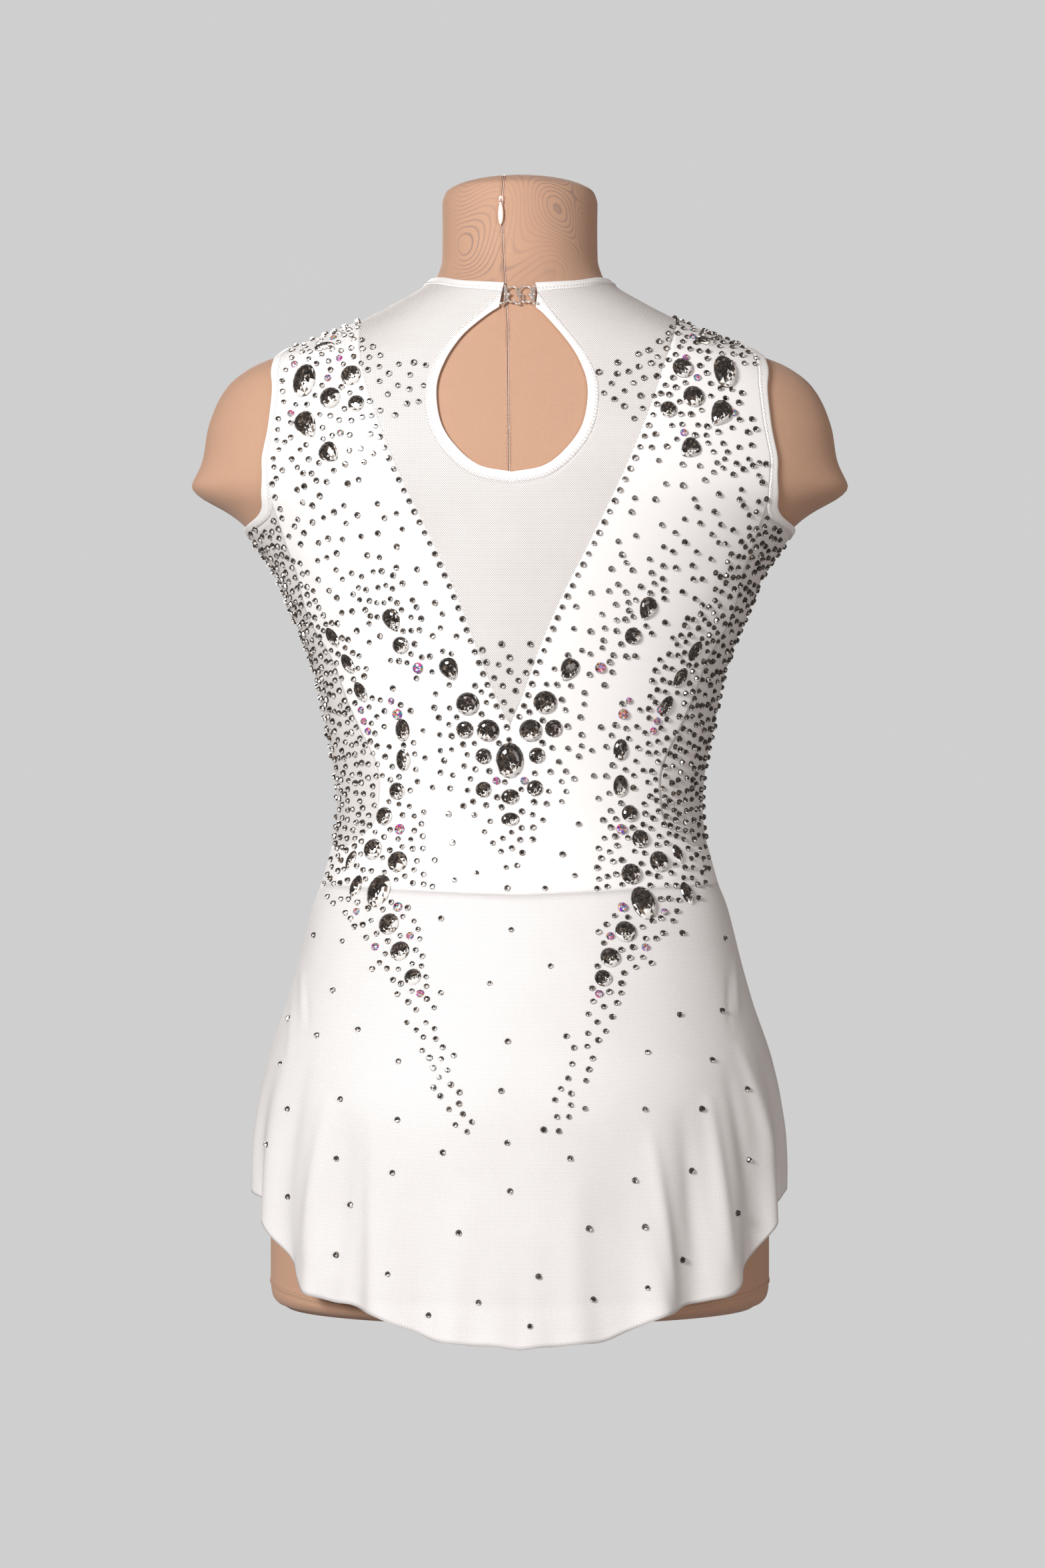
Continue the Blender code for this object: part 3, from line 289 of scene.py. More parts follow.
ZIP_WAY = Table(
    ("height", "across"),
    (
        (590.0, 7.6),
        (612.0, 7.7),
        (712.0, 8.8),
        (735.0, 10.4),
        (778.0, 12.6),
        (806.0, 12.9),
        (830.0, 10.7),
    ),
)
HEM_BACK = Table(
    ("turn", "height"),
    (
        (0.0, 107.0),
        (15.0, 98.0),
        (26.0, 81.0),
        (36.0, 54.0),
        (44.0, 37.0),
        (63.0, 25.0),
        (75.0, 8.5),
        (90.0, 4.0),
    ),
)
HEM_FRONT = Table(("turn", "height"), ((0.0, 107.0), (30.0, 92.0), (60.0, 74.0), (90.0, 68.0)))
LEG_BACK = Table(
    ("turn", "height"),
    (
        (0.0, 190.0),
        (15.0, 150.0),
        (30.0, 106.0),
        (45.0, 75.0),
        (57.0, 58.0),
        (66.0, 49.5),
        (90.0, 49.0),
    ),
)
LEG_FRONT = Table(
    ("turn", "height"),
    (
        (0.0, 190.0),
        (20.0, 166.0),
        (42.0, 128.0),
        (60.0, 86.0),
        (74.0, 50.0),
        (90.0, 49.0),
    ),
)
FLARES = Table(
    ("drop", "side", "centre"),
    (
        (0.0, 0.0, 0.0),
        (45.0, 1.2, 2.5),
        (85.0, 3.2, 7.0),
        (130.0, 9.0, 13.0),
        (210.0, 13.0, 21.0),
        (315.0, 15.0, 31.0),
    ),
)
FLUTES_BACK = Table(
    ("turn", "start_drop", "spread", "rise"),
    (
        (12.0, 120.0, 4.6, 6.0),
        (27.0, 95.0, 5.0, 9.5),
        (45.5, 140.0, 5.2, 10.5),
        (63.5, 150.0, 5.6, 10.0),
        (82.0, 190.0, 7.0, 3.0),
    ),
)
FLUTES_FRONT = Table(
    ("turn", "start_drop", "spread", "rise"),
    (
        (14.0, 110.0, 4.8, 6.5),
        (31.0, 90.0, 5.4, 9.5),
        (49.0, 120.0, 5.6, 10.0),
        (69.0, 130.0, 6.0, 9.0),
        (90.0, 120.0, 6.0, 6.0),
    ),
)

# Large stones in pairs: the left one's and the right one's place, tilt of the long axis
STONE_PAIRS = Table(
    ("cut", "length", "width", "left_across", "left_height", "right_across", "right_height", "tilt"),
    (
        (Cut.OVAL, 25.0, 17.5, 150.0, 672.0, 143.0, 678.0, 0.0),
        (Cut.OVAL, 16.0, 10.0, 137.0, 696.0, 130.0, 700.0, 80.0),
        (Cut.ROUND, 15.0, 15.0, 117.0, 674.5, 113.0, 679.5, 0.0),
        (Cut.ROUND, 15.5, 15.5, 131.0, 659.0, 120.0, 659.5, 0.0),
        (Cut.ROUND, 12.0, 12.0, 112.5, 654.5, 102.0, 650.0, 0.0),
        (Cut.DROP, 20.5, 15.0, 147.0, 640.5, 138.5, 648.0, -35.0),
        (Cut.DROP, 15.5, 13.5, 129.5, 620.5, 115.5, 623.0, -50.0),
        (Cut.DROP, 17.0, 12.5, 88.5, 504.5, 88.5, 512.5, -20.0),
        (Cut.ROUND, 12.5, 12.5, 82.5, 487.0, 78.5, 493.5, 0.0),
        (Cut.DROP, 17.0, 12.5, 48.5, 470.0, 34.0, 469.5, -25.0),
        (Cut.NAVETTE, 16.0, 10.0, 131.0, 494.0, 122.5, 484.0, -32.0),
        (Cut.NAVETTE, 16.0, 10.0, 120.0, 475.0, 112.0, 465.0, -32.0),
        (Cut.NAVETTE, 16.0, 10.0, 111.0, 455.0, 102.0, 445.0, -28.0),
        (Cut.OVAL, 16.0, 11.0, 81.5, 428.0, 70.0, 414.0, 0.0),
        (Cut.OVAL, 16.0, 11.0, 81.0, 407.0, 70.0, 388.5, 0.0),
        (Cut.ROUND, 12.5, 12.5, 85.5, 385.0, 76.5, 369.0, 0.0),
        (Cut.ROUND, 13.5, 13.5, 94.5, 367.0, 84.0, 351.0, 0.0),
        (Cut.ROUND, 15.5, 15.5, 102.5, 343.5, 97.0, 335.0, 0.0),
        (Cut.ROUND, 15.5, 15.5, 85.0, 335.0, 77.5, 326.5, 0.0),
        (Cut.NAVETTE, 15.0, 8.5, 118.0, 335.5, 110.5, 340.0, 20.0),
        (Cut.ROUND, 16.5, 16.5, 36.0, 446.0, 17.5, 447.0, 0.0),
        (Cut.ROUND, 16.0, 16.0, 22.0, 427.5, 7.5, 427.5, 0.0),
        (Cut.ROUND, 12.5, 12.5, 38.0, 428.0, 23.5, 429.0, 0.0),
        (Cut.ROUND, 11.5, 11.5, 25.0, 409.5, 12.0, 410.0, 0.0),
        (Cut.ROUND, 11.5, 11.5, 25.0, 386.0, 10.5, 387.0, 0.0),
    ),
)
STONE_LINE = Table(
    ("cut", "length", "width", "across", "height", "tilt"),
    (
        (Cut.OVAL, 25.5, 19.5, 7.0, 406.5, 0.0),
        (Cut.OVAL, 13.0, 11.0, 6.5, 381.0, 90.0),
        (Cut.OVAL, 13.0, 10.0, 6.5, 365.0, 90.0),
    ),
)
SKIRT_STONE_PAIRS = Table(
    STONE_PAIRS.columns,
    (
        (Cut.OVAL, 25.0, 18.5, 97.5, 314.5, 84.5, 306.5, 10.0),
        (Cut.NAVETTE, 18.0, 10.5, 114.0, 317.0, 116.0, 312.5, 10.0),
        (Cut.ROUND, 15.5, 15.5, 88.0, 292.0, 70.5, 287.0, 0.0),
        (Cut.ROUND, 14.5, 14.5, 79.5, 273.5, 59.5, 269.5, 0.0),
        (Cut.ROUND, 12.5, 12.5, 69.5, 256.0, 54.0, 255.5, 0.0),
    ),
)

# Rainbow stones, mirrored about the garment's centre line
RAINBOW_PAIRS = Table(
    ("across", "height", "size"),
    (
        (63.1, 471.2, 8.2),
        (78.4, 439.2, 8.0),
        (82.5, 448.5, 5.2),
        (104.0, 442.4, 5.6),
        (102.1, 434.5, 5.6),
        (99.3, 427.6, 5.6),
        (77.0, 358.0, 8.0),
        (9.7, 392.3, 6.0),
        (152.4, 684.0, 5.6),
        (128.0, 673.0, 5.6),
        (153.3, 649.0, 5.6),
        (117.0, 634.0, 5.6),
        (120.5, 686.9, 5.2),
        (126.0, 703.0, 5.6),
    ),
)
SKIRT_RAINBOW_PAIRS = Table(
    RAINBOW_PAIRS.columns,
    (
        (76.0, 303.5, 7.5),
        (104.5, 300.0, 5.5),
        (66.5, 284.0, 6.0),
        (90.0, 276.0, 6.0),
        (57.0, 245.0, 6.0),
    ),
)


@dataclass(frozen=True)
class Cluster:
    """A zone strewn with small crystals, its outline taken from the garment's centre line."""

    spacing: float
    outline: Points


BACK_CLUSTERS = (
    Cluster(6.8, (
        (172.0, 684.0), (172.0, 735.0), (114.0, 735.0), (108.0, 704.0), (124.0, 694.0),
        (150.0, 684.0),
    )),
    Cluster(7.0, (
        (156.0, 691.0), (141.0, 699.0), (112.0, 702.0), (92.0, 696.0), (102.0, 667.0),
        (95.0, 649.0), (106.0, 640.0), (127.0, 628.0), (156.0, 640.0), (162.0, 668.0),
    )),
    Cluster(8.6, (
        (166.0, 646.0), (104.0, 660.0), (92.0, 640.0), (84.0, 618.0), (120.0, 606.0),
        (172.0, 606.0),
    )),
    Cluster(6.4, (
        (190.0, 574.0), (168.0, 572.0), (152.0, 552.0), (136.0, 520.0), (118.0, 494.0),
        (150.0, 490.0),
    )),
    Cluster(6.4, (
        (126.0, 508.0), (111.0, 492.0), (100.0, 468.0), (92.0, 440.0), (92.0, 374.0),
        (109.0, 352.0), (134.0, 352.0), (140.0, 430.0), (150.0, 500.0),
    )),
    Cluster(8.0, (
        (100.0, 540.0), (74.0, 520.0), (62.0, 500.0), (52.0, 478.0), (70.0, 474.0), (96.0, 500.0),
        (110.0, 530.0),
    )),
    Cluster(7.2, (
        (92.0, 450.0), (76.0, 446.0), (66.0, 420.0), (64.0, 390.0), (76.0, 372.0), (94.0, 400.0),
        (96.0, 430.0),
    )),
    Cluster(6.6, (
        (122.0, 362.0), (72.0, 384.0), (60.0, 360.0), (60.0, 318.0), (140.0, 318.0), (140.0, 346.0),
    )),
    Cluster(7.4, (
        (51.0, 436.0), (24.0, 462.0), (10.0, 470.0), (0.0, 452.0), (-1.0, 452.0), (-1.0, 326.0),
        (5.0, 326.0), (16.0, 350.0), (30.0, 371.0), (46.0, 389.0), (53.0, 410.0),
    )),
    Cluster(16.0, (
        (100.0, 541.0), (70.0, 541.0), (48.0, 440.0), (30.0, 340.0), (30.0, 320.0), (80.0, 320.0),
        (80.0, 430.0),
    )),
    Cluster(22.0, ((62.0, 330.0), (-1.0, 330.0), (-1.0, 316.0), (62.0, 316.0))),
)
YOKE_CLUSTERS = (
    Cluster(8.2, (
        (103.0, 700.0), (92.0, 692.0), (74.0, 684.0), (59.0, 682.0), (60.0, 665.0), (66.0, 650.0),
        (78.0, 642.0), (90.0, 644.0), (103.0, 660.0),
    )),
    Cluster(8.6, ((22.0, 487.0), (-1.0, 490.0), (-1.0, 437.0), (1.0, 437.0))),
)
SKIRT_CLUSTERS = (
    Cluster(6.8, (
        (134.0, 311.0), (66.0, 308.0), (54.0, 262.0), (52.0, 248.0), (76.0, 250.0), (98.0, 280.0),
        (118.0, 302.0),
    )),
    Cluster(7.4, (
        (78.0, 256.0), (52.0, 252.0), (36.0, 200.0), (18.0, 152.0), (30.0, 150.0), (46.0, 186.0),
        (62.0, 222.0),
    )),
    Cluster(33.0, (
        (150.0, 290.0), (-1.0, 300.0), (-1.0, 10.0), (60.0, 24.0), (110.0, 60.0), (160.0, 110.0),
    )),
)



@dataclass(frozen=True)
class EdgeRow:
    """A row of crystals beside an edge."""

    top: float
    aside: float
    pitch: float


V_ROW = EdgeRow(664.0, 2.8, 8.0)

# Rows over each side panel, at shares of the way from the side to its back edge
SIDE_ROW_PARTS = (0.96, 0.76, 0.54, 0.30, 0.04, -0.24, -0.52, -0.80)
SIDE_ROW_FOOT = 350.0
SIDE_ROW_PITCH = 7.2
SIDE_ROW_SWAY = 0.5

# Rows that flow down each strap beside the V: share of the way to the V, ends, pitch
STRAP_FLOWS = Table(
    ("share", "top", "low", "pitch"),
    (
        (0.03, 640.0, 566.0, 11.0),
        (0.10, 604.0, 470.0, 9.5),
        (0.18, 640.0, 492.0, 11.5),
        (0.27, 600.0, 470.0, 10.5),
        (0.35, 625.0, 486.0, 12.5),
        (0.44, 640.0, 500.0, 11.0),
        (0.53, 616.0, 474.0, 11.5),
        (0.62, 640.0, 466.0, 13.0),
        (0.70, 600.0, 452.0, 11.0),
        (0.79, 622.0, 456.0, 12.0),
        (0.88, 590.0, 446.0, 10.5),
    ),
)


@dataclass(frozen=True)
class Crease:
    """A soft ridge or trough in the cloth between two places, in millimetres seen square on."""

    start: tuple[float, float]
    end: tuple[float, float]
    width: float
    rise: float


BACK_CREASES = (
    Crease((134.0, 338.0), (92.0, 322.0), 4.0, 0.5),
    Crease((-134.0, 338.0), (-96.0, 320.0), 4.0, 0.5),
    Crease((128.0, 352.0), (100.0, 360.0), 5.0, -0.4),
    Crease((-128.0, 356.0), (-104.0, 366.0), 5.0, -0.4),
    Crease((160.0, 556.0), (120.0, 520.0), 7.0, 0.5),
    Crease((-160.0, 560.0), (-124.0, 522.0), 7.0, 0.5),
    Crease((60.0, 320.0), (-50.0, 318.0), 5.0, 0.35),
    Crease((20.0, 330.0), (90.0, 334.0), 6.0, -0.3),
    Crease((-20.0, 332.0), (-88.0, 330.0), 6.0, -0.3),
)
SKIRT_CREASES = (
    Crease((150.0, 262.0), (144.0, 222.0), 2.4, 1.1),
    Crease((146.0, 250.0), (139.0, 214.0), 2.2, -0.8),
    Crease((156.0, 246.0), (150.0, 196.0), 2.6, 0.9),
    Crease((-148.0, 268.0), (-146.0, 226.0), 2.4, 0.9),
    Crease((-142.0, 258.0), (-138.0, 218.0), 2.4, -0.7),
    Crease((120.0, 176.0), (132.0, 60.0), 5.0, 1.7),
    Crease((136.0, 200.0), (150.0, 96.0), 5.0, -1.2),
    Crease((104.0, 168.0), (110.0, 50.0), 6.0, -1.3),
    Crease((-78.0, 156.0), (-90.0, 24.0), 4.5, 1.9),
    Crease((-100.0, 170.0), (-108.0, 50.0), 6.5, -1.8),
    Crease((-118.0, 178.0), (-126.0, 52.0), 4.5, 2.2),
    Crease((-132.0, 196.0), (-146.0, 90.0), 5.0, -1.6),
    Crease((-142.0, 210.0), (-162.0, 124.0), 4.0, 1.8),
    Crease((90.0, 164.0), (84.0, 24.0), 5.0, 1.5),
    Crease((30.0, 120.0), (34.0, 14.0), 9.0, 0.8),
    Crease((-34.0, 130.0), (-28.0, 14.0), 9.0, 0.8),
)


def monotone(at: Array, knots: Array, values: Array) -> Array:
    """Monotone cubic through knots, its slope at a knot the harmonic mean of the slopes beside it.

    Args:
        at: places where it is read.
        knots: rising places of the values.
        values: values at the knots.

    Returns:
        The values at the places.
    """
    at = np.clip(np.asarray(at, dtype=float), knots[0], knots[-1])
    width = np.diff(knots)
    slope = np.diff(values) / width
    tangent = np.zeros_like(values, dtype=float)
    product = slope[:-1] * slope[1:]
    weight_a = 2.0 * width[1:] + width[:-1]
    weight_b = width[1:] + 2.0 * width[:-1]
    safe = np.where(product > 0.0, product, 1.0)
    below = weight_a * slope[1:] + weight_b * slope[:-1] + (product <= 0.0)
    tangent[1:-1] = np.where(product > 0.0, (weight_a + weight_b) * safe / below, 0.0)
    tangent[0] = slope[0]
    tangent[-1] = slope[-1]
    index = np.clip(np.searchsorted(knots, at, side="right") - 1, 0, len(width) - 1)
    u = (at - knots[index]) / width[index]
    rise = width[index]
    return (
        (2 * u**3 - 3 * u**2 + 1) * values[index]
        + (u**3 - 2 * u**2 + u) * rise * tangent[index]
        + (3 * u**2 - 2 * u**3) * values[index + 1]
        + (u**3 - u**2) * rise * tangent[index + 1]
    )


def curve_through(points: Sequence[tuple[float, float]]) -> Array:
    """Catmull-Rom curve: each stretch is the cubic whose end slopes join the points beside it.

    Args:
        points: places that the curve passes.

    Returns:
        Fine points along it.
    """
    points = np.asarray(points, float)
    padded = np.vstack([2 * points[0] - points[1], points, 2 * points[-1] - points[-2]])
    at = np.linspace(0.0, len(points) - 1, CURVE_STEPS * (len(points) - 1) + 1)
    index = np.minimum(at.astype(int), len(points) - 2)
    u = (at - index)[:, None]
    p0, p1, p2, p3 = (padded[index + k] for k in range(4))
    cubic = 3 * p1 - p0 - 3 * p2 + p3
    return 0.5 * (2 * p1 + (p2 - p0) * u + (2 * p0 - 5 * p1 + 4 * p2 - p3) * u**2 + cubic * u**3)


def unit(vectors: Array) -> Array:
    """Vectors at length one.

    Args:
        vectors: vectors along the last axis.

    Returns:
        The same directions at length one.
    """
    return vectors / np.maximum(np.linalg.norm(vectors, axis=-1, keepdims=True), 1e-9)


def powered(wave: Array, power: float) -> Array:
    """A wave raised to a power with its sign kept.

    Args:
        wave: values from -1 to 1.
        power: under 1 for a fuller wave.

    Returns:
        The changed wave.
    """
    return np.sign(wave) * np.abs(wave) ** power


def mirrored(turn: Array) -> Array:
    """Turn of the same place on the body's other side.

    Args:
        turn: turns in degrees.

    Returns:
        Turns in degrees.
    """
    return 180.0 - turn


def ruled(edge_a: Array, edge_b: Array, steps: int) -> Array:
    """Straight lines between two edges: P(u, v) = A(u)(1 - v) + B(u)v.

    Args:
        edge_a: points of the first edge.
        edge_b: as many points of the second edge.
        steps: steps from edge to edge.

    Returns:
        Grid of points.
    """
    share = np.linspace(0.0, 1.0, steps + 1)[None, :, None]
    return edge_a[:, None, :] * (1.0 - share) + edge_b[:, None, :] * share


def faced(chart: Array, face: Face, right: bool) -> Array:
    """A chart of the left back put on another quarter of the body.

    Args:
        chart: (turn, height) points.
        face: back or front.
        right: whether it goes on the wearer's right.

    Returns:
        The moved chart.
    """
    result = np.array(chart, float)
    if right:
        result[..., 0] = mirrored(result[..., 0])
    result[..., 0] *= face.value
    return result


def spread_out(grid: Array, sides: Sequence[str], lap: float) -> Array:
    """A grid whose named borders are pushed out, so that they lap under or over what they are sewn to.

    Args:
        grid: grid of points.
        sides: low and high for its first and last row, first and last for its columns.
        lap: way out in millimetres.

    Returns:
        The changed grid.
    """
    grid = grid.copy()
    turned = grid.swapaxes(0, 1)
    views = {"low": grid, "high": grid[::-1], "first": turned, "last": turned[::-1]}
    for side in sides:
        view = views[side]
        view[0] += unit(view[0] - view[1]) * lap
    return grid


class Figure:
    """The body's skin as a function of turn (0 left, 90 centre back) and height, in millimetres."""

    def __init__(self) -> None:
        """Work out the length round the body at each height."""
        self.girth_heights = np.linspace(0.0, 830.0, 167)
        self.girth_turns = np.linspace(-180.0, 360.0, 541)
        turn, height = np.meshgrid(self.girth_turns, self.girth_heights)
        place = self.bare(turn, height)
        steps = np.linalg.norm(np.diff(place, axis=1), axis=-1)
        total = np.concatenate([np.zeros((len(steps), 1)), np.cumsum(steps, axis=1)], axis=1)
        middle = int(np.searchsorted(self.girth_turns, 90.0))
        self.girth_table = total - total[:, middle:middle + 1]

    def half_width(self, height: Array) -> Array:
        """Half width of the section, by height."""
        return SECTIONS.read("height", "half_width", height)

    def lean(self, height: Array) -> Array:
        """Sideways shift of the garment's centre line on the back, by height."""
        return LEANS.read("height", "shift", height)

    def bare(self, turn: Array, height: Array) -> Array:
        """The skin: an ellipse at each height, scaled up by Gaussian rises on both sides.

        Args:
            turn: turns in degrees.
            height: heights.

        Returns:
            Points.
        """
        turn, height = np.asarray(turn, float), np.asarray(height, float)
        half_width = self.half_width(height)
        back = SECTIONS.read("height", "back", height)
        front = SECTIONS.read("height", "front", height)
        angle = np.radians(turn)
        x = half_width * np.cos(angle)
        y = np.where(np.sin(angle) >= 0.0, back, front) * np.sin(angle)
        reach = np.hypot(x, y)
        growth = np.zeros_like(reach)
        for rise_turn, rise_height, turn_spread, height_spread, rise in RISES.rows:
            for centre in (rise_turn, mirrored(rise_turn)):
                away = (turn - centre + 180.0) % 360.0 - 180.0
                far = (away / turn_spread) ** 2 + ((height - rise_height) / height_spread) ** 2
                growth += rise * np.exp(-far)
        scale = 1.0 + growth / np.maximum(reach, 1.0)
        return np.stack([x * scale, y * scale + BACK_SHIFT, height + 0.0 * x], axis=-1)

    def slopes(self, turn: Array, height: Array) -> tuple[Array, Array]:
        """Change of the skin by a degree of turn and by a millimetre of height.

        Args:
            turn: turns in degrees.
            height: heights.

        Returns:
            Both changes, as vectors.
        """
        by_turn = self.bare(turn + FLAT_STEP, height) - self.bare(turn - FLAT_STEP, height)
        by_height = self.bare(turn, height + FLAT_STEP) - self.bare(turn, height - FLAT_STEP)
        return by_turn / (2 * FLAT_STEP), by_height / (2 * FLAT_STEP)

    def skin(self, turn: Array, height: Array, offset: Array | float = 0.0) -> Array:
        """The skin moved out along its normal.

        Args:
            turn: turns in degrees.
            height: heights.
            offset: way out.

        Returns:
            Points.
        """
        turn, height, offset = np.broadcast_arrays(
            np.asarray(turn, float), np.asarray(height, float), np.asarray(offset, float)
        )
        normal = unit(np.cross(*self.slopes(turn, height)))
        return self.bare(turn, height) + normal * offset[..., None]

    def turn_at(self, across: Array, height: Array, face: Face = Face.BACK) -> Array:
        """Turn of a place seen square on, from its signed way across and its height."""
        return np.degrees(np.arccos(np.clip(across / self.half_width(height), -1.0, 1.0))) * face.value

    def girth(self, turn: Array, height: Array) -> Array:
        """Length round the body from the centre back, read between the worked-out heights and turns.

        Args:
            turn: turns in degrees.
            height: heights.

        Returns:
            Lengths.
        """
        last_row, last_column = (count - 1.001 for count in self.girth_table.shape)
        row = np.interp(height, self.girth_heights, np.arange(len(self.girth_heights)))
        column = np.interp(turn, self.girth_turns, np.arange(len(self.girth_turns)))
        row, column = np.clip(row, 0, last_row), np.clip(column, 0, last_column)
        low, left = row.astype(int), column.astype(int)
        up, over = row - low, column - left
        table = self.girth_table
        return (
            table[low, left] * (1 - up) * (1 - over) + table[low + 1, left] * up * (1 - over)
            + table[low, left + 1] * (1 - up) * over + table[low + 1, left + 1] * up * over
        )

    def evenly(self, chart: Array, steps: int) -> Array:
        """A (turn, height) line at equal lengths along the skin.

        Args:
            chart: fine points of the line.
            steps: steps wanted.

        Returns:
            The points.
        """
        place = self.bare(chart[:, 0], chart[:, 1])
        lengths = np.concatenate([[0.0], np.cumsum(np.linalg.norm(np.diff(place, axis=0), axis=1))])
        wanted = np.linspace(0.0, lengths[-1], steps + 1)
        return np.stack([np.interp(wanted, lengths, chart[:, k]) for k in range(2)], axis=1)

    def shifted(self, chart: Array, distance: float, closed: bool) -> Array:
        """A line moved sideways over the skin, to the left of its way along it.

        Args:
            chart: (turn, height) points.
            distance: way to the left.
            closed: whether the line is a loop.

        Returns:
            The moved points.
        """
        turn, height = chart[:, 0], chart[:, 1]
        place = self.bare(turn, height)
        if closed:
            along = np.roll(place, -1, axis=0) - np.roll(place, 1, axis=0)
        else:
            along = np.gradient(place, axis=0)
        by_turn, by_height = self.slopes(turn, height)
        sideways = unit(np.cross(np.cross(by_turn, by_height), along)) * distance
        d_turn = (sideways * by_turn).sum(1) / (by_turn**2).sum(1)
        d_height = (sideways * by_height).sum(1) / (by_height**2).sum(1)
        return np.stack([turn + d_turn, height + d_height], axis=1)


BODY = Figure()


class Pattern:
    """Edges of the garment's pieces on the skin, as (turn, height) lines."""

    def armhole(self) -> tuple[Array, Array]:
        """Garment edge round the left arm and the panels' edge beside it.

        Returns:
            Two closed loops.
        """
        line = curve_through(ARMHOLE)
        back_high = BODY.evenly(line[: ARMHOLE_CORNER * CURVE_STEPS + 1], STRAP_ROWS)
        back_low = BODY.evenly(line[ARMHOLE_CORNER * CURVE_STEPS:], SIDE_TOP_STEPS)
        back = np.vstack([back_high, back_low[1:]])
        edge = np.vstack([back, back[1:-1][::-1] * (-1.0, 1.0)])
        inner = BODY.shifted(edge, ARMHOLE_BINDING_WIDTH, True)[: len(back)]
        inner[[0, -1], 0] = 0.0
        return edge, np.vstack([inner, inner[1:-1][::-1] * (-1.0, 1.0)])

    def side(self, corner: Array) -> Array:
        """Edge between opaque and side panel.

        Args:
            corner: its upper end at the armhole.

        Returns:
            Points from its foot up.
        """
        table = [row for row in SIDE_EDGE if row[1] < corner[1] - 12.0]
        return BODY.evenly(curve_through([*table, tuple(corner)]), SIDE_ROWS)

    def tip_row(self, face: Face) -> int:
        """Row of the side edge that meets the V's tip."""
        return BACK_TIP_ROW if face is Face.BACK else FRONT_TIP_ROW

    def v_line(self, face: Face, right: bool) -> Array:
        """Half of the V's edge.

        Args:
            face: back or front.
            right: whether it is the wearer's right half.

        Returns:
            Points from its tip up to the shoulder.
        """
        table = V_BACK if face is Face.BACK else V_FRONT
        line = curve_through(table[::-1])
        sign = -1.0 if right else 1.0
        shift = BODY.lean(line[:, 1]) if face is Face.BACK else 0.0
        fade = np.clip((V_BACK[0][1] - line[:, 1]) / SHOULDER_FADE, 0.0, 1.0)
        turn = BODY.turn_at(sign * line[:, 0] + shift * fade, line[:, 1], face)
        turn[-1] = 180.0 * face.value if right else 0.0
        chart = np.stack([turn, line[:, 1]], axis=1)
        split = int(np.argmax(line[:, 1] > STRAP_SPLIT))
        low = BODY.evenly(chart[: split + 1], SIDE_ROWS - self.tip_row(face))
        return np.vstack([low, BODY.evenly(chart[split:], STRAP_ROWS)[1:]])

    def fold(self, turn: Array) -> Array:
        """Turn counted from the nearer side, so that it is 90 at both centres."""
        return 90.0 - np.abs(90.0 - np.abs(turn))

    def waist(self, turn: Array) -> Array:
        """Height of the waist seam, by turn."""
        return WAIST_SEAM.read("turn", "height", self.fold(turn))

    def neck_top(self, turn: Array) -> Array:
        """Height of the neck binding's upper edge, by turn."""
        level = np.degrees(np.arcsin(np.clip(np.sin(np.radians(turn)), -1.0, 1.0)))
        return NECK_EDGE.read("turn", "height", level)

    def neck_low(self, turn: Array) -> Array:
        """Height of the neck binding's lower edge, its width away down the skin.

        Args:
            turn: turns in degrees.

        Returns:
            Heights.
        """
        turn = np.asarray(turn, float)
        height = self.neck_top(turn)
        steps = 5
        for _ in range(steps):
            slope = BODY.bare(turn, height) - BODY.bare(turn, height - 1.0)
            height = height - NECK_BINDING_WIDTH / steps / np.linalg.norm(slope, axis=-1)
        return height

    def keyhole(self) -> tuple[Array, Array]:
        """Opening edge and outer edge of the keyhole binding, down its left side and up its right.

        Returns:
            Two lines.
        """
        half = curve_through(KEYHOLE)
        chart = np.stack([BODY.turn_at(half[:, 0], half[:, 1]), half[:, 1]], axis=1)
        half = BODY.evenly(chart, KEYHOLE_STEPS)
        half[:, 0] = BODY.half_width(half[:, 1]) * np.cos(np.radians(half[:, 0]))
        shift = BODY.lean(half[:, 1])
        left = np.stack([BODY.turn_at(half[:, 0] + shift, half[:, 1]), half[:, 1]], axis=1)
        right = np.stack([BODY.turn_at(shift - half[:, 0], half[:, 1]), half[:, 1]], axis=1)
        edge = np.vstack([left, right[::-1][1:]])
        outer = BODY.shifted(edge, -KEYHOLE_BINDING_WIDTH, False)
        ends = ((0, CLASP_END_TURN), (-1, mirrored(CLASP_END_TURN)))
        blend = np.clip(1.0 - np.arange(len(outer)) / DETAIL, 0.0, 1.0)
        for index, turn in ends:
            goal = np.array((turn, float(self.neck_low(np.array(turn)))))
            weight = blend if index == 0 else blend[::-1]
            outer += weight[:, None] * (goal - outer[index])
        return edge, outer

    def hem(self, turn: Array, face: Face) -> Array:
        """Height of the skirt's hem, with a small even unevenness from the scissors.

        Args:
            turn: turns in degrees.
            face: back or front.

        Returns:
            Heights.
        """
        table = HEM_BACK if face is Face.BACK else HEM_FRONT
        height = table.read("turn", "height", self.fold(turn))
        angle = np.radians(turn)
        return height + 0.7 * np.sin(37.0 * angle) * np.sin(11.0 * angle + 0.6) + 0.5

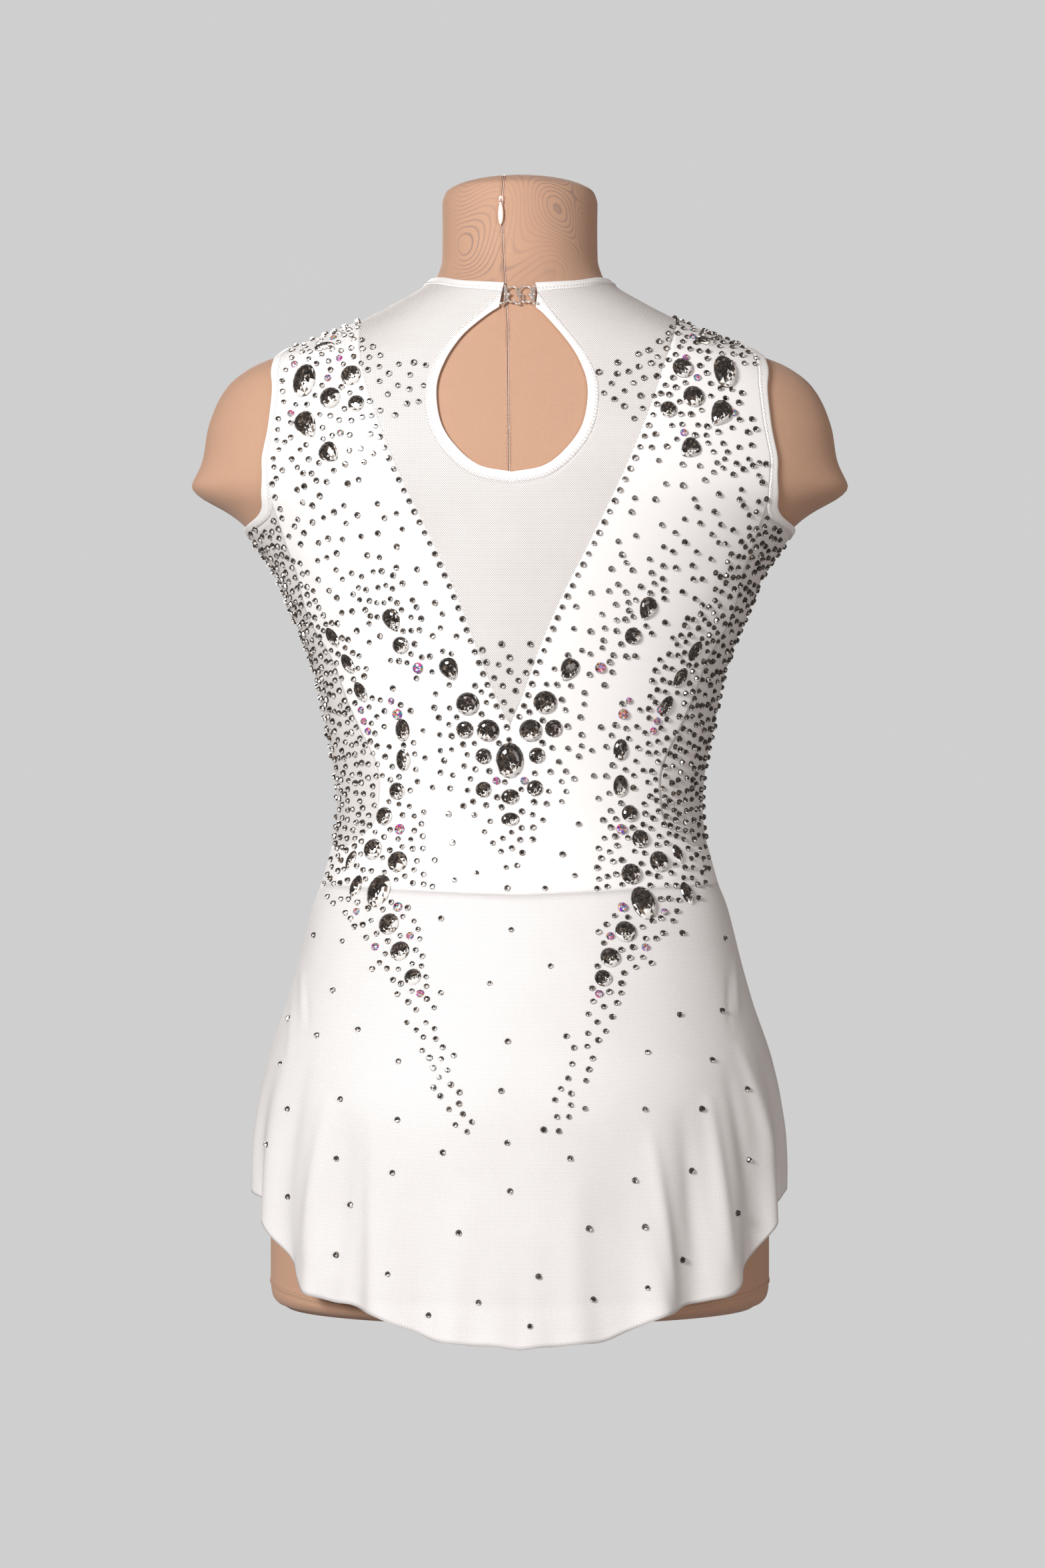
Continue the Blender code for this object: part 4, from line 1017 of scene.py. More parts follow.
    def skirt(self, turn: Array, share: Array, face: Face, offset: float = 0.0) -> Array:
        """The skirt: the hips moved out by a flare by drop, by Gaussian flutes and by hem ripples.

        Args:
            turn: turns in degrees.
            share: 0 at the waist seam, 1 at the hem.
            face: back or front.
            offset: way out from the skirt's inner face.

        Returns:
            Points.
        """
        turn, share = np.broadcast_arrays(np.asarray(turn, float), np.asarray(share, float))
        fold = self.fold(turn)
        seam = self.waist(turn)
        fall = seam - self.hem(turn, face)
        drop = fall * share
        height = seam - drop
        weight = np.sin(np.radians(fold)) ** 2
        flare = FLARES.read("drop", "side", drop) * (1.0 - weight)
        flare += FLARES.read("drop", "centre", drop) * weight
        table = FLUTES_BACK if face is Face.BACK else FLUTES_FRONT
        for crest, start, spread, rise in table.rows:
            grow = np.clip((drop - start) / np.maximum(fall - start, 1.0), 0.0, 1.0) ** 1.25
            flare += rise * grow * (np.exp(-(((fold - crest) / spread) ** 2)) - FLUTE_TROUGH)
        angle = np.radians(turn)
        coarse = 1.1 * np.sin(29.0 * angle + 0.7 * np.sin(5.0 * angle))
        fine = 0.6 * np.sin(47.0 * angle + 1.0)
        flare += (coarse + fine) * share**7 + 0.35 * np.sin(17.0 * angle + 0.02 * drop) * share
        flare -= SEAM_DIP * np.exp(-((drop / SEAM_DIP_FADE) ** 2))
        hips = BODY.bare(turn, np.maximum(height, HIP_LEVEL))
        outward = hips - np.array([0.0, BACK_SHIFT, 0.0])
        outward[..., 2] = 0.0
        if face is Face.BACK:
            flare += relief(SKIRT_CREASES, hips[..., 0], height)
        place = hips + unit(outward) * (flare + SKIRT_GAP + offset)[..., None]
        place[..., 2] = height
        return place


PATTERN = Pattern()


def relief(creases: Sequence[Crease], across: Array, height: Array) -> Array:
    """Sum of creases: each is a Gaussian of the way to its line, fading to nothing at both its ends.

    Args:
        creases: the creases.
        across: places from the form's centre line.
        height: heights.

    Returns:
        The way out of the cloth there.
    """
    total = np.zeros(np.broadcast(across, height).shape)
    for crease in creases:
        start, end = np.array(crease.start), np.array(crease.end)
        run = end - start
        length = float(np.hypot(*run))
        along = ((across - start[0]) * run[0] + (height - start[1]) * run[1]) / length**2
        aside = ((across - start[0]) * run[1] - (height - start[1]) * run[0]) / length
        fade = np.clip(np.sin(np.pi * np.clip(along, 0.0, 1.0)), 0.0, 1.0) ** 0.8
        total += crease.rise * fade * np.exp(-((aside / crease.width) ** 2))
    return total


def quads_of(
    rows: int, columns: int, start: int = 0, round_rows: bool = False, round_columns: bool = False
) -> Array:
    """Quads of a grid of points, each joining a point, the next in its row and the two above.

    Args:
        rows: rows of points.
        columns: points in a row.
        start: index of the first point.
        round_rows: whether the last row joins the first.
        round_columns: whether each row closes.

    Returns:
        Quads as point indices.
    """
    row = np.arange(rows if round_rows else rows - 1)[:, None]
    column = np.arange(columns if round_columns else columns - 1)[None, :]
    over, up = (column + 1) % columns, (row + 1) % rows
    here, above = row * columns, up * columns
    quads = np.stack([here + column, here + over, above + over, above + column], axis=-1)
    return quads.reshape(-1, 4) + start


def mesh_of(name: str, points: Array, faces: list[Array]) -> bpy.types.Mesh:
    """A mesh from millimetre points and groups of faces.

    Args:
        name: the mesh's name.
        points: points.
        faces: arrays of triangles, quads or larger faces.

    Returns:
        The mesh.
    """
    mesh = bpy.data.meshes.new(name)
    mesh.from_pydata((points * MM).tolist(), [], [face for group in faces for face in group.tolist()])
    return mesh


def mend(mesh: bpy.types.Mesh, merge: float = 0.0, outward: bool = False) -> None:
    """Merge near points of a mesh, or turn its faces outwards.

    Args:
        mesh: the mesh.
        merge: distance under which points are merged, or 0.
        outward: whether the faces are turned outwards.
    """
    work = bmesh.new()
    work.from_mesh(mesh)
    if merge > 0.0:
        bmesh.ops.remove_doubles(work, verts=work.verts, dist=merge * MM)
    if outward:
        bmesh.ops.recalc_face_normals(work, faces=work.faces)
    work.to_mesh(mesh)
    work.free()


def tube_of(grid: Array, closed: bool = False) -> tuple[Array, list[Array]]:
    """A tube whose rings are a grid's rows, with a face over each end unless it is a loop.

    Args:
        grid: rings of points.
        closed: whether the last ring joins the first.

    Returns:
        Points and face groups.
    """
    rows, columns = grid.shape[:2]
    faces = [quads_of(rows, columns, 0, closed, True)]
    if not closed:
        ring = np.arange(columns)[None, :]
        faces.extend((ring[:, ::-1], ring + (rows - 1) * columns))
    return grid.reshape(-1, 3), faces


@dataclass
class Pile:
    """Solids that become one mesh: their points, faces and face colours."""

    points: list[Array] = field(default_factory=list)
    faces: list[Array] = field(default_factory=list)
    colours: list[Array] = field(default_factory=list)
    count: int = 0

    def put(self, points: Array, groups: list[Array], *colours: Array) -> None:
        """Put a solid, or several at once, on the pile.

        Args:
            points: points.
            groups: face groups, as indices of these points.
            colours: colours of the faces, if they have any.
        """
        self.points.append(points)
        self.faces.extend(group + self.count for group in groups)
        self.colours.extend(colours)
        self.count += len(points)


def colour_corners(mesh: bpy.types.Mesh, name: str, colours: Array) -> None:
    """Give each face one colour, held at its corners.

    Args:
        mesh: the mesh.
        name: the attribute's name.
        colours: a colour for each face.
    """
    counts = np.zeros(len(mesh.polygons), dtype=int)
    mesh.polygons.foreach_get("loop_total", counts)
    corners = np.repeat(np.column_stack([colours, np.ones(len(colours))]), counts, axis=0)
    layer = mesh.color_attributes.new(name, "FLOAT_COLOR", "CORNER")
    layer.data.foreach_set("color", corners.astype(np.float32).ravel())


def place_attribute(mesh: bpy.types.Mesh, values: Array) -> None:
    """Store where each point lies on the flat cloth.

    Args:
        mesh: the mesh.
        values: three numbers a point, in millimetres.
    """
    layer = mesh.attributes.new("cloth", "FLOAT_VECTOR", "POINT")
    layer.data.foreach_set("vector", values.astype(np.float32).ravel())


@dataclass
class Outfit:
    """Puts pieces into the scene on their bodies and keeps count of them."""

    names: list[str] = field(default_factory=list)

    def add(
        self,
        name: str,
        mesh: bpy.types.Mesh,
        material: bpy.types.Material,
        slot: str,
        body: str = "form",
        replaces: Sequence[str] = (),
        smooth: bool = True,
        sharp: float = 180.0,
    ) -> bpy.types.Object:
        """Link a piece, shade it and let it ride.

        Args:
            name: the piece's name.
            mesh: its mesh.
            material: its finish.
            slot: the record's slot; not used.
            body: the CAD body it rides on.
            replaces: CAD nodes that it stands for.
            smooth: whether it is shaded smooth.
            sharp: angle in degrees past which an edge stays sharp.

        Returns:
            The object.
        """
        piece = bpy.data.objects.new(name, mesh)
        bpy.context.scene.collection.objects.link(piece)
        mesh.materials.append(material)
        if smooth:
            mesh.shade_smooth()
            if sharp < 180.0:
                mesh.set_sharp_from_angle(angle=math.radians(sharp))
        else:
            mesh.shade_flat()
        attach(piece, body)
        if replaces:
            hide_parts(*replaces)
        self.names.append(name)
        area = sum(face.area for face in mesh.polygons)
        LOG.info("%s: %d faces, %.4f m2", name, len(mesh.polygons), area)
        return piece


class Value:
    """A shader value: an expression on it adds its Math nodes."""

    def __init__(self, weaver: "Weaver", socket: bpy.types.NodeSocket) -> None:
        """Wrap a socket.

        Args:
            weaver: the material's builder.
            socket: an output socket.
        """
        self.weaver = weaver
        self.socket = socket

    def math(self, operation: str, *others: "Value | float") -> "Value":
        """Add a Math node with this value as its first number."""
        inputs = dict(enumerate((self, *others)))
        return self.weaver.value("ShaderNodeMath", {"operation": operation}, inputs)

    def __add__(self, other: "Value | float") -> "Value":
        """Sum."""
        return self.math("ADD", other)

    __radd__ = __add__

    def __mul__(self, other: "Value | float") -> "Value":
        """Product."""
        return self.math("MULTIPLY", other)

    __rmul__ = __mul__

    def __sub__(self, other: "Value | float") -> "Value":
        """Difference."""
        return self.math("SUBTRACT", other)

    def __rsub__(self, other: float) -> "Value":
        """Difference from a number."""
        return self.math("MULTIPLY", -1.0) + other

    def __pow__(self, other: float) -> "Value":
        """Power."""
        return self.math("POWER", other)

    def sine(self) -> "Value":
        """Sine."""
        return self.math("SINE")

    def wave(self, pitch: float) -> "Value":
        """Wave from 0 to 1 that repeats each pitch."""
        return (self * (math.tau / pitch)).sine() * 0.5 + 0.5

    def size(self) -> "Value":
        """Absolute value."""
        return self.math("ABSOLUTE")

    def held(self, low: float, high: float) -> "Value":
        """Value kept between two limits."""
        return self.math("MAXIMUM", low).math("MINIMUM", high)


class Weaver:
    """Builds one Principled material."""

    def __init__(self, name: str, **sockets: float | tuple[float, ...]) -> None:
        """Start a material.

        Args:
            name: the material's name.
            sockets: values set on the shader's own sockets, with underscores for spaces.
        """
        self.material = bpy.data.materials.new(name)
        self.material.use_nodes = True
        self.tree = self.material.node_tree
        self.shader = self.tree.nodes["Principled BSDF"]
        for label, number in sockets.items():
            self.shader.inputs[label.replace("_", " ")].default_value = number

    def node(self, kind: str, settings: dict[str, Any], inputs: dict[Any, Any]) -> bpy.types.Node:
        """Add a node, set it up and feed it.

        Args:
            kind: the node's type.
            settings: properties, and stops for a ramp.
            inputs: values or links by socket name or number.

        Returns:
            The node.
        """
        node = self.tree.nodes.new(kind)
        for label, setting in settings.items():
            if label == "stops":
                elements = node.color_ramp.elements
                for index, (place, colour) in enumerate(setting):
                    stop = elements[index] if index < 2 else elements.new(place)
                    stop.position, stop.color = place, (*colour, 1.0)
            else:
                setattr(node, label, setting)
        for label, entry in inputs.items():
            if isinstance(entry, Value):
                self.tree.links.new(entry.socket, node.inputs[label])
            elif isinstance(entry, bpy.types.NodeSocket):
                self.tree.links.new(entry, node.inputs[label])
            else:
                node.inputs[label].default_value = entry
        return node

    def value(
        self, kind: str, settings: dict[str, Any], inputs: dict[Any, Any], output: int | str = 0
    ) -> Value:
        """Add a node and take one output of it, by number or name."""
        return Value(self, self.node(kind, settings, inputs).outputs[output])

    def object_place(self) -> bpy.types.NodeSocket:
        """Socket of the object coordinates."""
        return self.node("ShaderNodeTexCoord", {}, {}).outputs["Object"]

    def cloth_place(self) -> tuple[Value, Value]:
        """Where the surface lies on the flat cloth, in millimetres.

        Returns:
            The way across and the way up.
        """
        place = self.node("ShaderNodeAttribute", {"attribute_name": "cloth"}, {}).outputs["Vector"]
        split = self.node("ShaderNodeSeparateXYZ", {}, {"Vector": place})
        return Value(self, split.outputs["X"]), Value(self, split.outputs["Y"])

    def noise(self, scale: float, detail: float = 2.0) -> Value:
        """Noise over the object, about 0.5, with scale waves a metre."""
        inputs = {"Vector": self.object_place(), "Scale": scale, "Detail": detail}
        return self.value("ShaderNodeTexNoise", {}, inputs, "Fac")

    def tint(self, factor: Value, low: Rgb | bpy.types.NodeSocket, high: Rgb) -> bpy.types.NodeSocket:
        """Colour between two colours.

        Args:
            factor: 0 for the first, 1 for the second.
            low: first colour, or a socket that gives it.
            high: second colour.

        Returns:
            The mixed colour.
        """
        first = low if isinstance(low, bpy.types.NodeSocket) else (*low, 1.0)
        inputs = {"Factor": factor, "A": first, "B": (*high, 1.0)}
        return self.node("ShaderNodeMix", {"data_type": "RGBA"}, inputs).outputs["Result"]

    def feed(self, **sockets: Value | bpy.types.NodeSocket) -> None:
        """Link values to the shader.

        Args:
            sockets: links by socket name, with underscores for spaces.
        """
        for label, entry in sockets.items():
            source = entry.socket if isinstance(entry, Value) else entry
            self.tree.links.new(source, self.shader.inputs[label.replace("_", " ")])

    def tones(self, blend: Value, low: Rgb, high: Rgb) -> None:
        """Feed the base colour, low where the blend is 0 or less and high where it is 1 or more."""
        self.feed(Base_Color=self.tint(blend.held(0.0, 1.0), low, high))

    def bump(self, height: Value, strength: float, distance: float) -> None:
        """Feed a height from 0 to 1 to the shader's normal, distance being 1's height in metres."""
        inputs = {"Height": height, "Strength": strength, "Distance": distance}
        self.feed(Normal=self.value("ShaderNodeBump", {}, inputs))


def weave(across: Value, up: Value, pitch: float, slant: float) -> Value:
    """Two crossing sets of threads: the greater of two sine waves, from 0 in a gap to 1 on a thread.

    Args:
        across: way across the cloth in millimetres.
        up: way up the cloth in millimetres.
        pitch: millimetres from thread to thread.
        slant: how much each set slants.

    Returns:
        The pattern.
    """
    turn = math.pi / pitch
    first = ((across + up * slant) * turn).sine().size()
    second = ((across - up * slant) * turn).sine().size()
    return first.math("MAXIMUM", second)


@dataclass(frozen=True)
class StretchCloth:
    """Opaque white stretch knit with fine wales."""

    colour: Rgb = (0.93, 0.925, 0.925)
    shade: Rgb = (0.88, 0.87, 0.87)
    pitch: float = 0.9

    def material(self, name: str) -> bpy.types.Material:
        """The finish.

        Args:
            name: the material's name.

        Returns:
            The material.
        """
        weaver = Weaver(name, Roughness=0.62, Sheen_Weight=0.15, Sheen_Roughness=0.4)
        across, up = weaver.cloth_place()
        wales = across.wave(self.pitch)
        courses = (up + wales * 0.4).wave(self.pitch)
        knit = wales * 0.6 + courses * 0.4
        cloud = weaver.noise(14.0, 3.0)
        weaver.tones(knit * 0.55 + cloud * 0.7 - 0.1, self.shade, self.colour)
        weaver.feed(Roughness=cloud * 0.2 + 0.5)
        weaver.bump(knit, 0.35, 0.00012)
        return weaver.material


@dataclass(frozen=True)
class SheerCloth:
    """Fine white net over whatever lies under it."""

    colour: Rgb = (0.87, 0.85, 0.845)
    shade: Rgb = (0.74, 0.70, 0.69)
    pitch: float = 1.3
    thin: float = 0.36
    thick: float = 0.92

    def material(self, name: str) -> bpy.types.Material:
        """The finish.

        Args:
            name: the material's name.

        Returns:
            The material.
        """
        weaver = Weaver(name, Roughness=0.6, Sheen_Weight=0.1)
        across, up = weaver.cloth_place()
        threads = weave(across, up, self.pitch, 0.8)
        cloud = weaver.noise(16.0, 3.0)
        cover = ((threads - 0.55) * 2.4).held(0.0, 1.0)
        cover = cover * (self.thick - self.thin) + self.thin
        weaver.feed(Alpha=(cover + (cloud - 0.5) * 0.1).held(0.05, 1.0))
        weaver.tones(threads * 0.6 + cloud * 0.5, self.shade, self.colour)
        weaver.bump(threads, 0.4, 0.0001)
        return weaver.material


@dataclass(frozen=True)
class FoldedElastic:
    """Shiny folded elastic with fine ribs along it."""

    colour: Rgb = (0.95, 0.945, 0.94)
    shade: Rgb = (0.88, 0.87, 0.87)
    rib: float = 1.1
    pick: float = 0.8

    def material(self, name: str) -> bpy.types.Material:
        """The finish.

        Args:
            name: the material's name.

        Returns:
            The material.
        """
        weaver = Weaver(name, Roughness=0.45, Sheen_Weight=0.1)
        along, across = weaver.cloth_place()
        ribs = across.wave(self.rib)
        picks = along.wave(self.pick)
        cloud = weaver.noise(40.0, 2.0)
        height = ribs * 0.65 + picks * 0.35
        weaver.tones(height * 0.6 + cloud * 0.5, self.shade, self.colour)
        weaver.bump(height, 0.35, 0.00015)
        return weaver.material


@dataclass(frozen=True)
class CoverKnit:
    """Matt nude knit stretched over the form."""

    colour: Rgb = (0.585, 0.352, 0.238)
    shade: Rgb = (0.47, 0.275, 0.182)
    ripple: Rgb = (0.27, 0.185, 0.165)
    pitch: float = 1.0

    def material(self, name: str) -> bpy.types.Material:
        """The finish.

        Args:
            name: the material's name.

        Returns:
            The material.
        """
        weaver = Weaver(name, Roughness=0.8, Sheen_Weight=0.12, Sheen_Roughness=0.5)
        across, up = weaver.cloth_place()
        wales = across.wave(self.pitch)
        courses = (up + wales * 0.45).wave(self.pitch)
        knit = wales * 0.55 + courses * 0.45
        cloud = weaver.noise(9.0, 4.0)
        fleck = weaver.noise(420.0, 2.0)
        blend = (knit * 0.35 + cloud * 0.5 + fleck * 0.35).held(0.0, 1.0)
        bow = (across * 0.046 + up * 0.021).sine() * 9.0
        level = ((across + bow) * 0.062 + 0.4).sine()
        swell = level * ((up + bow * 1.4 - 776.0) * 0.066 + 0.9).sine() * 36.0
        ring = ((swell + cloud * 8.0 + across * 0.50 + up * 0.22).sine() * 1.6 - 0.6).held(0.0, 1.0)
        lull = ((across * 0.05 + up * 0.03).sine() * 0.5 + 0.75).held(0.0, 1.0)
        above = ((up - 736.0) * 0.06).held(0.05, 1.0)
        on_neck = above * ((60.0 - across.size()) * 0.05).held(0.0, 1.0) * lull
        knitted = weaver.tint(blend, self.shade, self.colour)
        weaver.feed(Base_Color=weaver.tint(ring * on_neck * 0.75, knitted, self.ripple))
        weaver.bump(knit * 0.7 + fleck * 0.3, 0.4, 0.00012)
        return weaver.material


@dataclass(frozen=True)
class Thread:
    """Twisted sewing thread."""

    colour: Rgb
    shade: Rgb

    def material(self, name: str) -> bpy.types.Material:
        """The finish.

        Args:
            name: the material's name.

        Returns:
            The material.
        """
        weaver = Weaver(name, Roughness=0.6)
        twist = weaver.noise(2600.0, 1.0)
        weaver.feed(Base_Color=weaver.tint(twist, self.shade, self.colour))
        weaver.bump(twist, 0.5, 0.0001)
        return weaver.material


@dataclass(frozen=True)
class CutCrystal:
    """Foil-backed crystal whose facets carry painted reflections and painted shade, held in the facet
    attribute.
    """

    veil: Rgb = (0.75, 0.72, 0.70)

    def material(self, name: str) -> bpy.types.Material:
        """The finish.

        Args:
            name: the material's name.

        Returns:
            The material.
        """
        weaver = Weaver(name, Roughness=0.06, IOR=1.6, Coat_Weight=0.3, Coat_Roughness=0.03)
        # The facet colours are painted light: dark facets are painted dark reflection and shade, light
        # facets are painted bright reflection.
        facet = weaver.node("ShaderNodeAttribute", {"attribute_name": "facet"}, {}).outputs["Color"]
        flaw = weaver.noise(700.0, 2.0)
        cloudy = weaver.tint((flaw * 0.16 - 0.06).held(0.0, 1.0), facet, self.veil)
        weaver.feed(Base_Color=cloudy, Roughness=flaw * 0.08 + 0.03)
        return weaver.material


@dataclass(frozen=True)
class Plating:
    """Polished metal: fine wear in its roughness, and patches of painted brown shade in its colour."""

    colour: Rgb = (0.95, 0.92, 0.90)
    # Painted shade: a brown tone that stands in for the shadows on the metal.
    shade: Rgb = (0.62, 0.54, 0.49)

    def material(self, name: str) -> bpy.types.Material:
        """The finish.

        Args:
            name: the material's name.

        Returns:
            The material.
        """
        weaver = Weaver(name, Roughness=0.2, Metallic=0.7)
        mottle = weaver.noise(500.0, 3.0)
        # Painted shade: noise mixes the brown shade colour into the bright metal.
        weaver.tones(mottle * 1.6 - 0.3, self.shade, self.colour)
        weaver.feed(Roughness=mottle * 0.25 + 0.08)
        return weaver.material


@dataclass(frozen=True)
class Lacquer:
    """Coloured lacquer with a soft gloss."""

    colour: Rgb
    shade: Rgb
    gloss: float = 0.35

    def material(self, name: str) -> bpy.types.Material:
        """The finish.

        Args:
            name: the material's name.

        Returns:
            The material.
        """
        weaver = Weaver(name, Roughness=self.gloss, Coat_Weight=0.2)
        mottle = weaver.noise(260.0, 3.0)
        weaver.feed(Base_Color=weaver.tint(mottle, self.shade, self.colour))
        weaver.feed(Roughness=mottle * 0.2 + self.gloss - 0.1)
        weaver.bump(mottle, 0.1, 0.0001)
        return weaver.material


def cloth_points(chart: Array) -> Array:
    """Where chart points lie on the flat cloth: the girth from the centre back, and the height.

    Args:
        chart: (turn, height) grid.

    Returns:
        Three numbers a point.
    """
    across = BODY.girth(chart[..., 0], chart[..., 1])
    return np.stack([across, chart[..., 1], 0.0 * across], axis=-1)


def cloth_mesh(name: str, grids: list[Array], flats: list[Array]) -> bpy.types.Mesh:
    """One open cloth surface from grids that share their meeting rows, faces turned outwards.

    Args:
        name: the mesh's name.
        grids: grids of points.
        flats: where each point lies on the flat cloth.

    Returns:
        The mesh.
    """
    faces, start = [], 0
    for grid in grids:
        rows, columns = grid.shape[:2]
        quads = quads_of(rows, columns, start)
        row, column = rows // 2, columns // 2
        across = grid[row, column] - grid[row, column - 1]
        up = grid[row, column] - grid[row - 1, column]
        outward = grid[row, column] - np.array([0.0, BACK_SHIFT, grid[row, column][2] - 60.0])
        if np.dot(np.cross(across, up), outward) < 0.0:
            quads = quads[:, ::-1]
        faces.append(quads)
        start += rows * columns
    points = np.concatenate([grid.reshape(-1, 3) for grid in grids])
    mesh = mesh_of(name, points, faces)
    place_attribute(mesh, np.concatenate([flat.reshape(-1, 3) for flat in flats]))
    mend(mesh, merge=0.03)
    return mesh


def give_wall(piece: bpy.types.Object, wall: float) -> None:
    """Grow a cloth surface outwards into a closed thin shell.

    Args:
        piece: the cloth.
        wall: thickness in millimetres.
    """
    solid = piece.modifiers.new("wall", "SOLIDIFY")
    solid.thickness = wall * MM
    solid.offset = 1.0
    solid.use_even_offset = False
    solid.use_quality_normals = True


@dataclass(frozen=True)
class FlatCut:
    """Size of a piece of cloth before it was sewn, in metres and square metres."""

    width: float
    length: float
    area: float


@dataclass
class DressForm:
    """The limbless form: its knit cover with the base seam's welt and the zip's groove, and its foot."""

    outfit: Outfit
    bottom: float = 15.0
    height: float = 811.5
    end_rows: float = 0.085
    seam_side: float = 31.0
    seam_middle: float = 19.0
    foot_half_width: float = 72.0
    foot_half_depth: float = 50.0
    foot_height: float = 14.7
    foot_round: float = 3.0
    welt: float = 0.5
    welt_place: float = 2.2
    welt_width: float = 1.6
    seam_width: float = 0.9
    groove: float = 0.5
    groove_width: float = 1.6
    groove_foot: float = 600.0
    groove_fade: float = 20.0

    def seam_height(self, turn: Array) -> Array:
        """Height of the cover's base seam, rising as a power from the middle to the sides."""
        share = np.abs(np.cos(np.radians(turn))) ** 3
        return self.seam_middle + (self.seam_side - self.seam_middle) * share

    def zip_across(self, height: Array) -> Array:
        """Way of the cover's zip from the centre line, wandering a little with the height.

        Args:
            height: heights.

        Returns:
            Ways towards the wearer's left.
        """
        return np.interp(height, ZIP_WAY.column("height"), ZIP_WAY.column("across"))

    def cover(self) -> None:
        """The knit cover: the skin set in, a welt along the base seam and a groove along the zip."""
        share = np.linspace(0.0, 1.0, FORM_ROWS)
        heights = self.bottom + self.height * (share - self.end_rows * np.sin(math.tau * share))
        turns = np.arange(FORM_COLUMNS) * 360.0 / FORM_COLUMNS
        turn, height = np.meshgrid(turns, heights)
        away = height - self.seam_height(turn)
        welt = self.welt * np.exp(-(((away - self.welt_place) / self.welt_width) ** 2))
        welt -= self.welt * np.exp(-((away / self.seam_width) ** 2))
        across = BODY.half_width(height) * np.cos(np.radians(turn))
        near = (across - self.zip_across(height)) / self.groove_width
        back = np.sin(np.radians(turn)) > 0.0
        fade = np.clip((height - self.groove_foot) / self.groove_fade, 0.0, 1.0)
        groove = self.groove * np.exp(-(near**2)) * back * fade
        grid = BODY.skin(turn, height, welt - groove - FORM_INSET)
        grid[0, :, 2] = heights[0]
        rows, columns = turn.shape
        points = grid.reshape(-1, 3)
        ends = np.array([grid[0].mean(0), grid[-1].mean(0) + (0.0, 0.0, 0.3)])
        ring = np.arange(columns)
        after = (ring + 1) % columns
        base = np.stack([after, ring, np.full(columns, len(points))], axis=1)
        top_start = (rows - 1) * columns
        top = np.stack([top_start + ring, top_start + after, np.full(columns, len(points) + 1)], axis=1)
        faces = [quads_of(rows, columns, 0, False, True), base, top]
        mesh = mesh_of("form_cover", np.vstack([points, ends]), faces)
        flat = cloth_points(np.stack([turn, height], axis=-1)).reshape(-1, 3)
        place_attribute(mesh, np.vstack([flat, np.zeros((2, 3))]))
        finish = CoverKnit().material("cover_knit")
        self.outfit.add("form_cover", mesh, finish, "cover_knit", replaces=["form_body"], sharp=50.0)

    def foot(self) -> None:
        """The foot: an oval turned from a profile with rounded edges."""
        angle = np.linspace(0.0, 0.5 * math.pi, 7)
        inset = self.foot_round * (1.0 - np.sin(angle))
        height = self.foot_round * (1.0 - np.cos(angle))
        depth, top = self.foot_half_depth, self.foot_height
        profile_in = np.concatenate([[depth], inset, inset[::-1], [depth]])
        profile_up = np.concatenate([[0.0], height, top - height[::-1], [top]])
        turn = np.arange(96) * math.tau / 96
        x = (self.foot_half_width - profile_in[:, None]) * np.cos(turn)
        y = (depth - profile_in[:, None]) * np.sin(turn)
        grid = np.stack([x, y, profile_up[:, None] + 0.0 * x], axis=-1)
        mesh = mesh_of("form_foot_turned", grid.reshape(-1, 3), [quads_of(*x.shape, 0, False, True)])
        mend(mesh, merge=0.01)
        finish = Lacquer((0.30, 0.24, 0.20), (0.22, 0.17, 0.14), 0.5).material("foot_plastic")
        self.outfit.add(
            "form_foot_turned", mesh, finish, "foot_plastic", replaces=["form_foot"], sharp=50.0
        )

    def build(self) -> None:
        """Make every piece of the form."""
        self.cover()
        self.foot()


